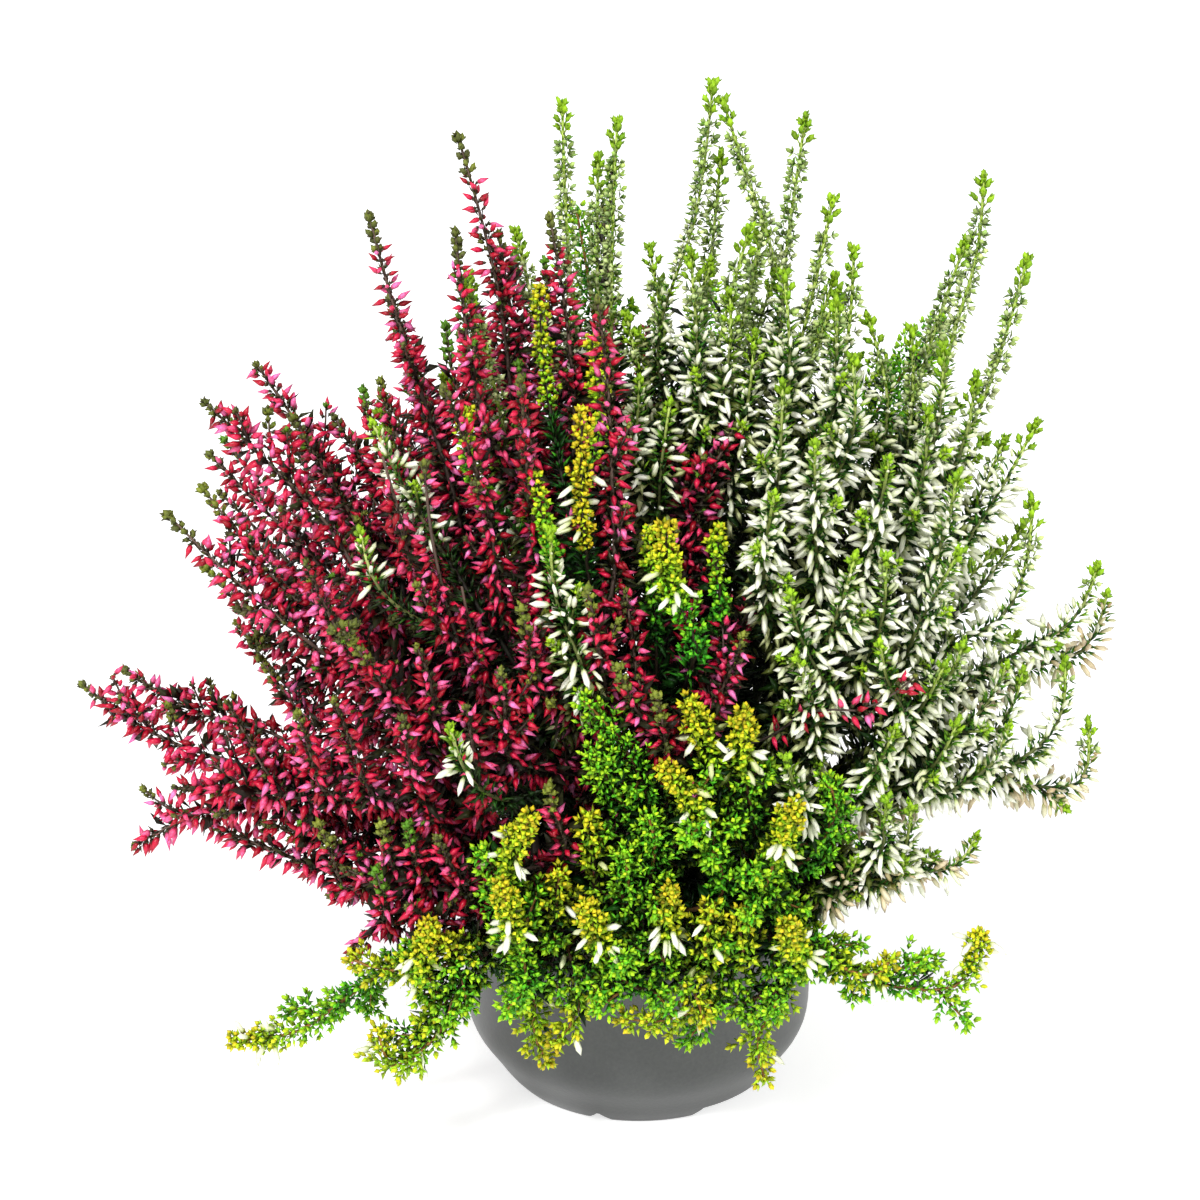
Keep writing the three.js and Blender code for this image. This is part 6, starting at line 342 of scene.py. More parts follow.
        (0.3, 1.0, 0.0, 0.0, 0, 0, "leafy", [(32.1, -41.8, 66.9), (38.9, -49.9, 77), (47.4, -60.1, 81.2), (55.9, -70.1, 73.8), (57.1, -76.9, 61.8), (50.9, -77.9, 48.4), (53.3, -80.1, 34)]),
    ]),
    ("golden_branch_04", 1.0, [(31.5, -44.5, 56.4), (36.2, -54.9, 80.1), (45.9, -67.5, 99.8)], [
        (0.97, 1.0, 0.0, 0.0, 0, 0, "gold", [(45.4, -66.8, 98.7), (49.4, -77.9, 115.2), (46.9, -87.7, 132.8), (43.9, -94.7, 151.7), (44.2, -102.1, 170.6)]),
        (0.3, 1.0, 0.0, 0.0, 0, 0, "gold", [(34.3, -50.7, 70.7), (41, -62.9, 84.2), (46.9, -79.9, 91.3), (51.4, -90.1, 106.4), (55.8, -96.7, 124.1), (59.8, -104.1, 141.6)]),
        (0.6, 1.0, 0.0, 0.0, 0, 0, "frond", [(38.2, -57.4, 84.1), (44.1, -64.4, 94.2), (53.9, -69.9, 102), (65.5, -74.1, 108.2), (70.7, -79.4, 119.4), (73.3, -84.7, 131.8), (68.8, -90.1, 143)]),
    ]),
    ("golden_branch_05", 1.0, [(38, -36.4, 56.4), (45.3, -45.8, 72.2), (56.9, -60.5, 78.4)], [
        (0.6, 1.0, 0.0, 0.0, 0, 0, "gold", [(47.6, -48.7, 73.5), (54.8, -57.9, 80.8), (62, -68.4, 79), (67.4, -78.6, 71.9), (64.5, -88, 80), (60.4, -95.6, 90.6), (57.5, -104.1, 101)]),
        (0.3, 1.0, 0.0, 0.0, 0, 0, "tail", [(42.4, -42, 65.9), (50.1, -52.6, 80.2), (58.9, -68.5, 77.3), (76, -70, 68.8), (94.6, -70, 62), (114, -70.1, 62.8), (120.3, -70.1, 81.3)]),
        (0.97, 1.0, 0.0, 0.0, 0, 0, "leafy", [(56.2, -59.6, 78), (61.3, -65.3, 81.8), (67.4, -70.5, 80.8), (73, -73.7, 75.3), (79.4, -76.6, 70.6), (87.6, -78.4, 70.6), (91.9, -80.1, 77.4)]),
    ]),
    ("golden_branch_06", 1.0, [(27.7, 12.5, 56.4), (28.5, 15.4, 97.8), (33.3, 15.1, 139.6)], [
        (0.3, 1.0, 0.0, 0.0, 0, 0, "frond", [(28.2, 14.2, 81.2), (29.8, 21.1, 125.5), (22.7, 35.2, 167.3), (29.8, 48.2, 209.8), (38.2, 66, 250.4)]),
        (0.97, 0.72, 0.0, 0.0, 0, 0, "frond", [(33, 15.1, 137.1), (46.3, 11, 153.9), (63.3, 7.8, 168.7), (73.3, 12.1, 190.7), (83.6, 16.3, 212.6), (96.8, 18.6, 233.2), (111.1, 20.1, 253.2)]),
    ]),
    ("golden_branch_07", 1.0, [(21.2, 20.7, 56.4), (23.2, 24, 70.1), (31.5, 29, 76.8)], [
        (0.6, 0.92, 0.0, 0.0, 0, 0, "leafy", [(24.9, 25, 71.5), (31.8, 32, 82), (38.5, 39.7, 70.1), (46.9, 51.7, 71.1), (54.2, 64.4, 65.2), (60.2, 73.6, 54), (64.6, 79.1, 39.8)]),
        (0.3, 1.0, 0.0, 0.0, 0, 0, "leafy", [(22.4, 22.7, 64.6), (25.6, 29.8, 81.5), (18.9, 43.3, 72.6), (18.3, 60.8, 74.6), (14.7, 75.3, 64.2), (15.1, 86, 48.5), (16.1, 96.1, 32.4)]),
        (0.97, 1.0, 0.0, 0.0, 0, 0, "leafy", [(31, 28.7, 76.4), (42.3, 28.5, 76.7), (51.6, 21.1, 68), (61.8, 30.7, 72.4), (72.9, 38.7, 69.3), (82.8, 42.2, 58.6), (85.9, 50.2, 46.3)]),
    ]),
    ("golden_branch_08", 1.0, [(5.8, 12.1, 56.4), (4.6, 13.7, 105.2), (3.1, 17.4, 155.6)], [
        (0.97, 1.0, 0.0, 0.0, 0, 0, "frond", [(3.2, 17.1, 152.6), (0.6, 21, 185.6), (1.1, 25.2, 218.8), (-0.9, 32, 251.4), (-6.3, 42.1, 282.8)]),
    ]),
    ("golden_branch_09", 1.0, [(-6.1, 15.8, 56.4), (-8.8, 17.9, 68.9), (-15.6, 23.5, 77.7)], [
        (0.6, 1.0, 0.0, 0.0, 0, 0, "leafy", [(-10.1, 19.1, 70.6), (-6, 33.1, 71.9), (-7.1, 47.2, 73.2), (-12.6, 59.8, 70.1), (-15.3, 71, 61.1), (-20.2, 82.1, 52.9), (-25.3, 93.1, 44.7)]),
        (0.3, 1.0, 0.0, 0.0, 0, 0, "leafy", [(-7.7, 17.1, 63.9), (-22, 26.3, 68.5), (-34.9, 37.4, 71.9), (-47.5, 48.1, 66.8), (-56, 54.9, 53.1), (-63.3, 60.6, 38.2)]),
        (0.97, 1.0, 0.0, 0.0, 0, 0, "leafy", [(-15.1, 23.2, 77.2), (-24.6, 23.5, 79.7), (-31.6, 17.6, 70.2), (-40.9, 20.5, 71.5), (-52.3, 24.9, 68), (-63, 27.7, 60.9), (-68.1, 27.8, 49.2)]),
    ]),
    ("golden_branch_10", 1.0, [(-6.6, -40, 56.4), (-15.4, -50.5, 74.1), (-29.3, -67, 80)], [
        (0.3, 1.0, 0.0, 0.0, 0, 0, "tail", [(-11.9, -46.3, 67), (-24.3, -58.7, 80.3), (-38.4, -75.5, 79.5), (-59.8, -76, 75.3), (-76.9, -75.2, 61.7), (-94.5, -74.7, 48.4), (-114.5, -74.1, 45.3)]),
        (0.97, 1.0, 0.0, 0.0, 0, 0, "gold", [(-28.5, -66, 79.6), (-35, -74.7, 81.8), (-42.3, -82.5, 79.6), (-49.5, -88.7, 74), (-53.8, -93.5, 78.8), (-52.4, -96.6, 89.2), (-49.8, -100.1, 99.3)]),
        (0.78, 1.0, 0.0, 0.0, 0, 0, "leafy", [(-23.2, -59.7, 77.4), (-30.8, -67.6, 82.2), (-38.9, -75.3, 82.4), (-46.6, -82.3, 78.3), (-56.4, -84.9, 75.5), (-66.8, -84.1, 75.8), (-76.5, -84.1, 79.5)]),
        (0.42, 1.0, 0.0, 0.0, 0, 0, "leafy", [(-14, -48.8, 71.3), (-21, -58.6, 78.2), (-28.2, -70.1, 81.2), (-35.1, -81.3, 77.5), (-43.7, -83.6, 67.5), (-52, -83.5, 56.2), (-58.4, -84.2, 43.7)]),
        (0.66, 1.0, 0.0, 0.0, 0, 0, "leafy", [(-19.9, -55.8, 76), (-28.4, -66.7, 81.4), (-36.5, -76.7, 74.7), (-43, -83, 62.7), (-51.6, -86.6, 51.1), (-62.7, -87.2, 42.6), (-67.5, -88.1, 57.2)]),
        (0.54, 1.0, 0.0, 0.0, 0, 0, "leafy", [(-16.5, -51.8, 74.6), (-23.2, -60.6, 81), (-29.6, -70.2, 84.1), (-35.7, -80.1, 82.2), (-41.9, -88.9, 84.4), (-47.4, -96.1, 91.2)]),
    ]),
    ("golden_branch_11", 1.0, [(8.9, -28.8, 56.4), (4.2, -35, 123.5), (-4.9, -43.2, 190.3)], [
        (0.3, 1.0, 0.0, 0.0, 0, 0, "thin", [(6.1, -32.5, 96.7), (2.2, -38.5, 129), (-0.5, -48.2, 160.3), (-1.3, -63.2, 189.7), (-3.8, -70.7, 220.8), (-3.9, -66.1, 253.1)]),
        (0.75, 1.0, 0.0, 0.0, 0, 0, "slim", [(-0.4, -39.1, 156.9), (-4.6, -40.6, 187.4), (-9.9, -32, 216.4), (-15, -20.9, 244.8), (-17.4, -12.1, 274)]),
        (0.97, 1.0, 0.0, 0.0, 0, 0, "slim", [(-4.4, -42.7, 186.3), (-5.5, -44.2, 202.2), (-3.9, -43.3, 218.1), (0.6, -39.8, 233.1), (0.8, -35.2, 248.1), (-1, -30.1, 263.1)]),
        (0.6, 1.0, 0.0, 0.0, 0, 0, "nib", [(2.3, -36.6, 136.9), (-1.5, -39.8, 157.1), (-6.3, -43.3, 177), (-15.2, -48.1, 195.1), (-26.3, -53.7, 211.8), (-37.2, -58.6, 228.8), (-38.7, -54.1, 248.3)]),
        (0.45, 1.0, 0.0, 0.0, 0, 0, "nib", [(4.6, -34.3, 116.8), (1.6, -38.5, 137.8), (-1.6, -43.5, 158.5), (-5.5, -52.3, 177.8), (-9.7, -63.4, 195.9), (-14.1, -74.2, 214.1), (-17.8, -72, 234.4)]),
    ]),
    ("golden_branch_12", 1.0, [(1.1, -47.2, 56.4), (-3.1, -55.9, 75.3), (-10.8, -72, 88.5)], [
        (0.97, 1.0, 0.0, 0.0, 0, 0, "gold", [(-10.4, -71, 87.7), (-14.8, -80.5, 94.9), (-23.6, -88.1, 99), (-31.2, -94.8, 105.2), (-28.2, -99, 116.9), (-23.9, -103.4, 128.2), (-19.1, -108.1, 139.2)]),
        (0.5, 1.0, 0.0, 0.0, 0, 0, "gold", [(-3.1, -55.9, 75.3), (-8.5, -68.3, 82.2), (-14.2, -81.9, 79.9), (-19.6, -95.3, 76.5), (-22.7, -100.7, 89.9), (-25.4, -105, 104.3), (-28.5, -110.1, 118.4)]),
        (0.3, 0.85, 0.0, 0.0, 0, 0, "leafy", [(-1.4, -52.4, 67.8), (-5.9, -65.8, 77), (-10.5, -80.4, 84.6), (-12, -88.5, 99.4), (-10.7, -96.1, 114.9)]),
        (0.7, 1.0, 0.0, 0.0, 0, 0, "leafy", [(-6.2, -62.3, 80.6), (-7.8, -70.6, 87.8), (-5.2, -77.3, 96), (0.1, -82.5, 104.3), (-0.4, -87.2, 113.9), (-2.2, -91.6, 123.8), (-2.2, -96.1, 133.9)]),
    ]),
    ("golden_branch_13", 1.0, [(7.3, -38.7, 56.4), (3.3, -48.9, 73.4), (-4.1, -67.4, 81.2)], [
        (0.97, 0.85, 0.0, 0.0, 0, 0, "leafy", [(-3.6, -66.3, 80.8), (-9.9, -75.3, 84.8), (-20.3, -80.5, 85), (-21.4, -82.9, 76.1), (-18.7, -83, 64.8), (-19.2, -83.6, 53.2), (-14.6, -84.1, 42.3)]),
        (0.6, 0.96, 0.0, 0.0, 0, 0, "leafy", [(1.8, -52.6, 75), (-1.5, -63, 80.2), (-4.9, -74, 82.8), (-8.8, -84.9, 81.9), (-4.8, -87.2, 72.1), (-6.2, -88.4, 61.4), (-13.5, -90.1, 52)]),
        (0.3, 1.0, 0.0, 0.0, 0, 0, "leafy", [(4.9, -44.8, 66.6), (3, -51.8, 73.6), (1.3, -59.2, 80.2), (0.8, -69.1, 81.7), (1.6, -79, 78.7), (0.8, -88.7, 75.1), (1.4, -96.1, 70.5)]),
    ]),
    ("golden_branch_14", 1.0, [(11.7, -48.2, 56.4), (14.7, -56.6, 82.1), (19.8, -71.1, 104.5)], [
        (0.97, 1.0, 0.0, 0.0, 0, 0, "gold", [(19.4, -70.2, 103.2), (24.3, -77.6, 115), (36.1, -81.7, 122.5), (42.1, -86.1, 133.5), (36.8, -90.6, 146.6), (32.1, -95.3, 159.8), (27.4, -100.1, 173)]),
        (0.6, 1.0, 0.0, 0.0, 0, 0, "frond", [(15.7, -59.5, 86.6), (19.3, -73.8, 107.2), (17.3, -85, 128.9), (9.5, -90.1, 152.1), (-4.2, -96.1, 172.2)]),
        (0.75, 1.0, 0.0, 0.0, 0, 0, "frond", [(17.2, -63.8, 93.3), (17.6, -73.2, 109), (11.1, -81.8, 124.4), (4.9, -89.9, 140.2), (-1, -98.1, 156.2)]),
        (0.3, 1.0, 0.0, 0.0, 0, 0, "gold", [(13.5, -53.3, 71.8), (18.8, -64.7, 86.4), (29.3, -78.9, 93.4), (38.3, -90.9, 103.6), (36.6, -95, 122.2), (29.8, -100.4, 139.4), (19.4, -106.1, 154.6)]),
        (0.45, 1.0, 0.0, 0.0, 0, 0, "frond", [(14.4, -55.8, 79.5), (16.7, -64.8, 91.6), (17.1, -76.7, 100.9), (16.7, -89.2, 109.5), (17.9, -95.4, 123.2), (15.7, -102.1, 136.7)]),
    ]),
]


# ---- meshes ------------------------------------------------------------------------
def unit(v):
    v = np.asarray(v, float)
    return v / np.maximum(np.linalg.norm(v, axis=-1, keepdims=True), 1e-9)


def spindle(sides, rings, flat=False):
    """A closed body along z from 0 to 1: corners, faces, each face corner's place on the unrolled surface, and how far along each corner is."""
    v = [(0.0, 0.0, 0.0)]
    for z, r in rings:
        for k in range(sides):
            a = 2 * math.pi * (k + 0.5) / sides
            v.append((r * math.cos(a), r * math.sin(a), z))
    v.append((0.0, 0.0, 1.0))
    faces, uvs = [], []
    n = len(rings)
    for k in range(sides):
        j = (k + 1) % sides
        u0, u1 = k / sides, (k + 1) / sides
        faces.append((0, 1 + j, 1 + k))
        uvs.append(((0.5 * (u0 + u1), 0.0), (u1, rings[0][0]), (u0, rings[0][0])))
        for i in range(n - 1):
            a, b = 1 + i * sides, 1 + (i + 1) * sides
            z0, z1 = rings[i][0], rings[i + 1][0]
            faces.append((a + k, a + j, b + j))
            uvs.append(((u0, z0), (u1, z0), (u1, z1)))
            faces.append((a + k, b + j, b + k))
            uvs.append(((u0, z0), (u1, z1), (u0, z1)))
        a = 1 + (n - 1) * sides
        faces.append((a + k, a + j, len(v) - 1))
        uvs.append(((u0, rings[-1][0]), (u1, rings[-1][0]), (0.5 * (u0 + u1), 1.0)))
    v = np.array(v)
    return v, np.array(faces), np.array(uvs), v[:, 2].copy()


def blade():
    """The smallest leaf: a diamond, folded along its midrib, with four faces."""
    v = np.array([(0, -0.4, 0), (-0.5, 0.4, 0.42), (0.5, 0.4, 0.42), (0, -0.4, 1)], float)
    faces, uvs = [], []
    for i, f in enumerate([(0, 1, 3), (0, 3, 2), (0, 2, 1), (1, 2, 3)]):
        a, b, c = (v[k] for k in f)
        if np.dot(np.cross(b - a, c - a), (a + b + c) / 3 - v.mean(0)) < 0:
            f = (f[0], f[2], f[1])
        faces.append(f)
        uvs.append([(0.25 * i + 0.25 * ((v[k, 0] + 0.5) if len(set(f) & {1, 2}) == 2 else (0.0 if k in (0, 3) else 1.0)), v[k, 2]) for k in f])
    return v, np.array(faces), np.array(uvs), v[:, 2].copy()


# Every kind of body, from the finest to the coarsest. Those deeper in the plant get fewer faces.
TEMPLATES = {
    # a crimson bud: widest low down, then straight to its point
    "crimson": [spindle(5, [(0.1, 0.4), (0.38, 0.5)]), spindle(4, [(0.12, 0.42), (0.38, 0.52)]), spindle(3, [(0.3, 0.58)])],
    # a white bud: long and blunt
    "white": [spindle(5, [(0.22, 0.42), (0.7, 0.45)]), spindle(4, [(0.22, 0.44), (0.7, 0.47)]), spindle(3, [(0.5, 0.58)])],
    # one scale leaf
    "leaf": [spindle(4, [(0.42, 0.5)]), blade(), blade()],
    # an old dark leaf, kept only in the shaded inside of the plant and drawn darker there as painted shade
    "old": [blade(), blade(), blade()],
    # a rounded body of leaves at a shoot's tip
    "lobe": [spindle(4, [(0.26, 0.44), (0.68, 0.48)]), spindle(4, [(0.5, 0.54)]), spindle(3, [(0.5, 0.56)])],
}
STEM, LEAF, BUD = 0, 1, 2
SLOT_OF = {"crimson": BUD, "white": BUD, "leaf": LEAF, "old": LEAF, "lobe": LEAF}
CELL = {"crimson": 2, "white": 2, "leaf": 1, "old": 1, "lobe": 1}
# how open to the air a body is for the finest and the middle shape, and where it is left out: from 0, buried, to 1
FINE, MIDDLE, HIDDEN = 0.33, 0.085, 0.024


class Depth:
    """How open to the air a point in the foliage is, over many ways out of it."""

    CELL = 3.0

    def __init__(self, low, high):
        self.low = np.asarray(low, float) - 2 * self.CELL
        self.shape = tuple(int(v) for v in np.ceil((np.asarray(high, float) + 2 * self.CELL - self.low) / self.CELL))
        self.tau = np.zeros(self.shape)

    def index(self, X):
        i = ((X - self.low) / self.CELL).astype(int)
        return tuple(np.clip(i[:, k], 0, self.shape[k] - 1) for k in range(3))

    def put(self, X, area):
        np.add.at(self.tau, self.index(X), 0.5 * area / self.CELL**2)

    def solve(self):
        total = np.zeros(self.shape)
        ways = [(x, y, z) for x in (-1, 0, 1) for y in (-1, 0, 1) for z in (-1, 0, 1) if (x, y, z) != (0, 0, 0)]
        ways += [(2 * x, y, z) for x in (-1, 1) for y in (-1, 1) for z in (0, 1)] + [(x, 2 * y, z) for x in (-1, 1) for y in (-1, 1) for z in (0, 1)]
        for d in ways:
            axis = int(np.argmax(np.abs(d)))
            steps = abs(d[axis])
            length = math.sqrt(sum(v * v for v in d)) / steps
            T = np.zeros(self.shape)
            n = self.shape[axis]
            order = range(n - 2, -1, -1) if d[axis] > 0 else range(1, n)
            others = [k for k in range(3) if k != axis]
            for count, i in enumerate(order):
                j = i + (1 if d[axis] > 0 else -1)
                src_T = np.take(T, j, axis)
                src_tau = np.take(self.tau, j, axis)
                both = src_T + src_tau * length
                for m, k in enumerate(others):
                    shift = d[k] / steps
                    whole = int(shift) if steps == 1 else (d[k] if count % 2 == 0 else 0)
                    if whole:
                        both = np.roll(both, -whole, axis=m)
                        edge = [slice(None), slice(None)]
                        edge[m] = -1 if whole > 0 else 0
                        both[tuple(edge)] = 0
                target = [slice(None)] * 3
                target[axis] = i
                T[tuple(target)] = both
            T += 0.5 * self.tau
            if d[2] < 0:
                T += 0.5
            total += np.exp(-T)
        self.open = total / len(ways)

    def at(self, X):
        return self.open[self.index(X)]


class Plant:
    """Collects the bodies of one branch, and makes one mesh of them."""

    def __init__(self):
        self.rows = {k: [] for k in TEMPLATES}
        self.tubes = []
        # below this openness the old dark leaves are kept, as painted shade; shade is how soon painted shade darkens
        # bodies inside the plant
        self.shade_leaf_limit = 0.15
        self.shade = 0.13

    def add(self, kind, at, way, side, length, width, thick, tone, hue, mix=0.0, bend=0.0):
        self.rows[kind].append((*at, *way, *side, length, width, thick, tone, hue, mix, bend))

    def tube(self, pts, radii, sides, hue, tone, mix=0.0):
        self.tubes.append((np.asarray(pts, float), np.asarray(radii, float), sides, hue, tone, mix))

    def middles(self, kind):
        R = np.array(self.rows[kind], float)
        return R, R[:, 0:3] + unit(R[:, 3:6]) * R[:, 9:10] * 0.5

    def fill(self, depth):
        for kind, rows in self.rows.items():
            if rows and kind != "old":
                R, mid = self.middles(kind)
                depth.put(mid, R[:, 9] * R[:, 10])
        for P, r, *_ in self.tubes:
            depth.put(0.5 * (P[1:] + P[:-1]), 2 * np.linalg.norm(np.diff(P, axis=0), axis=1) * r[1:])

    def split(self, depth):
        """The rows of each kind and fineness, without those that no one sees, and the painted shade of each, by how far
        inside the plant it lies.
        """
        for kind, rows in self.rows.items():
            if not rows:
                continue
            R, mid = self.middles(kind)
            open_ = depth.at(mid)
            level = 3 - np.digitize(open_, [HIDDEN, MIDDLE, FINE])
            # old leaves are kept only in the shaded inside of the plant, where they add dark painted shade
            if kind == "old":
                level = np.where((open_ > 0.012) & (open_ < self.shade_leaf_limit), 2, 3)
            for i in range(3):
                keep = level == i
                if keep.any():
                    # painted shade: how far each body's colour is darkened for lying inside the plant; old leaves get
                    # at least 0.7 of it
                    shade_amount = self.buried(open_[keep])
                    yield kind, TEMPLATES[kind][i], R[keep], np.maximum(shade_amount, 0.7) if kind == "old" else shade_amount

    # how much painted shade a body gets: none where it is open to the air, full where it is shut in
    def buried(self, open_):
        return np.clip(1 - (open_ - 0.02) / self.shade, 0, 1)

    def mesh(self, name, depth):
        V, F, UV, MAT, ATT = [], [], [], [], []
        count = 0
        groups = list(self.split(depth))
        # how large a square of cells the unrolled bodies need
        units = sum(len(R) * CELL[kind] ** 2 for kind, _, R, _ in groups) + 6 * len(self.tubes)
        side = max(12, int(math.ceil(math.sqrt(units * 1.12))) + 2)
        row_y = 0.0
        for kind, (v, f, uv, along), R, shade_amount in groups:
            n = len(R)
            at, way, lie = R[:, 0:3], unit(R[:, 3:6]), R[:, 6:9]
            lie = unit(lie - way * (lie * way).sum(1, keepdims=True))
            out = np.cross(way, lie)
            L, W, T, tone, hue, mix, bend = (R[:, i] for i in range(9, 16))
            X = (
                at[:, None, :]
                + way[:, None, :] * (v[None, :, 2] * L[:, None])[:, :, None]
                + lie[:, None, :] * (v[None, :, 0] * W[:, None])[:, :, None]
                + out[:, None, :] * (v[None, :, 1] * T[:, None])[:, :, None]
            )
            X[:, :, 2] -= (v[None, :, 2] ** 2) * (bend * L)[:, None]
            V.append(X.reshape(-1, 3))
            F.append((f[None] + count + (np.arange(n) * len(v))[:, None, None]).reshape(-1, 3))
            count += n * len(v)
            c = CELL[kind]
            per = max(1, int(side // c))
            i = np.arange(n)
            cx, cy = (i % per) * c, row_y + (i // per) * c
            row_y += (int(math.ceil(n / per))) * c
            low = np.stack([cx, cy], 1)[:, None, None, :]
            UV.append(((low + c * (0.08 + 0.84 * uv[None])) / side).reshape(-1, 2))
            MAT.append(np.full(n * len(f), SLOT_OF[kind]))
            many = len(v)
            ATT.append(np.stack([np.repeat(tone, many), np.repeat(hue, many), np.repeat(mix, many), np.tile(along, n), np.repeat(shade_amount, many)], 1))
        for P, r, sides, hue, tone, mix in self.tubes:
            m = len(P)
            T = unit(np.gradient(P, axis=0))
            s = np.array([1.0, 0, 0]) if abs(T[0, 0]) < 0.8 else np.array([0, 1.0, 0])
            S = np.zeros_like(P)
            for i in range(m):
                s = s - T[i] * (s @ T[i])
                s = s / np.linalg.norm(s)
                S[i] = s
            O = np.cross(T, S)
            a = 2 * np.pi * np.arange(sides) / sides
            X = P[:, None, :] + r[:, None, None] * (np.cos(a)[None, :, None] * S[:, None, :] + np.sin(a)[None, :, None] * O[:, None, :])
            V.append(X.reshape(-1, 3))
            ends = np.array([P[0] - T[0] * r[0] * 0.3, P[-1] + T[-1] * r[-1] * 0.8])
            V.append(ends)
            k = np.arange(sides)
            j = (k + 1) % sides
            faces, uvs = [], []
            for i in range(m - 1):
                a0, b0 = count + i * sides, count + (i + 1) * sides
                faces.append(np.stack([a0 + k, a0 + j, b0 + j], 1))
                faces.append(np.stack([a0 + k, b0 + j, b0 + k], 1))
                u0, u1 = k / sides, (k + 1) / sides
                z0, z1 = np.full(sides, i / (m - 1)), np.full(sides, (i + 1) / (m - 1))
                uvs.append(np.stack([np.stack([z0, u0], 1), np.stack([z0, u1], 1), np.stack([z1, u1], 1)], 1))
                uvs.append(np.stack([np.stack([z0, u0], 1), np.stack([z1, u1], 1), np.stack([z1, u0], 1)], 1))
            e0, e1 = count + m * sides, count + m * sides + 1
            last = count + (m - 1) * sides
            faces.append(np.stack([np.full(sides, e0), count + j, count + k], 1))
            faces.append(np.stack([last + k, last + j, np.full(sides, e1)], 1))
            zero, one = np.zeros(sides), np.ones(sides)
            mid = (k + 0.5) / sides
            uvs.append(np.stack([np.stack([zero, mid], 1), np.stack([zero, (k + 1) / sides], 1), np.stack([zero, k / sides], 1)], 1))
            uvs.append(np.stack([np.stack([one, k / sides], 1), np.stack([one, (k + 1) / sides], 1), np.stack([one, mid], 1)], 1))
            faces, uvs = np.concatenate(faces), np.concatenate(uvs)
            F.append(faces)
            self.tube_cells.append(len(UV))
            UV.append(uvs.reshape(-1, 2))
            MAT.append(np.full(len(faces), STEM))
            z = np.concatenate([np.repeat(np.arange(m) / (m - 1), sides), [0, 1]])
            one = np.ones(m * sides + 2)
            # the stems' painted shade, by how far inside the plant they lie
            shade_amount = np.repeat(self.buried(depth.at(P)), sides)
            shade_amount = np.concatenate([shade_amount, [shade_amount[0], shade_amount[-1]]])
            ATT.append(np.stack([one * tone, one * hue, one * mix, z, shade_amount], 1))
            count += m * sides + 2
        # the tubes' strips: 6 cells long and 1 high, in rows above the rest
        per = max(1, int(side // 6))
        for i, at in enumerate(self.tube_cells):
            low = np.array([(i % per) * 6.0, row_y + i // per])
            size = np.array([6.0, 1.0])
            UV[at] = (low + size * (0.06 + 0.88 * UV[at])) / side
        top = (row_y + math.ceil(max(1, len(self.tube_cells)) / per)) / side
        V, F, UV, MAT, ATT = (np.concatenate(x) for x in (V, F, UV, MAT, ATT))
        if top > 1:
            UV = UV * np.array([1.0, 1.0 / top])
        return make_mesh(name, V * 0.001, F, UV, MAT, ATT)

    tube_cells = None


def make_mesh(name, V, F, UV=None, MAT=None, ATT=None, smooth=True):
    me = bpy.data.meshes.new(name)
    F = np.asarray(F, np.int32)
    me.vertices.add(len(V))
    me.vertices.foreach_set("co", np.ascontiguousarray(V, np.float32).ravel())
    me.loops.add(F.size)
    me.loops.foreach_set("vertex_index", F.ravel())
    me.polygons.add(len(F))
    me.polygons.foreach_set("loop_start", np.arange(0, F.size, F.shape[1], dtype=np.int32))
    if MAT is not None:
        me.polygons.foreach_set("material_index", np.asarray(MAT, np.int32))
    if smooth:
        me.polygons.foreach_set("use_smooth", np.ones(len(F), bool))
    if UV is not None:
        layer = me.uv_layers.new(name="OFBake")
        layer.data.foreach_set("uv", np.asarray(UV, np.float32).ravel())
    if ATT is not None:
        for i, key in enumerate(("tone", "hue", "mix", "along", "shade_amount")):
            a = me.attributes.new(key, "FLOAT", "POINT")
            a.data.foreach_set("value", np.ascontiguousarray(ATT[:, i], np.float32))
    me.update(calc_edges=True)
    ob = bpy.data.objects.new(name, me)
    bpy.context.scene.collection.objects.link(ob)
    return ob


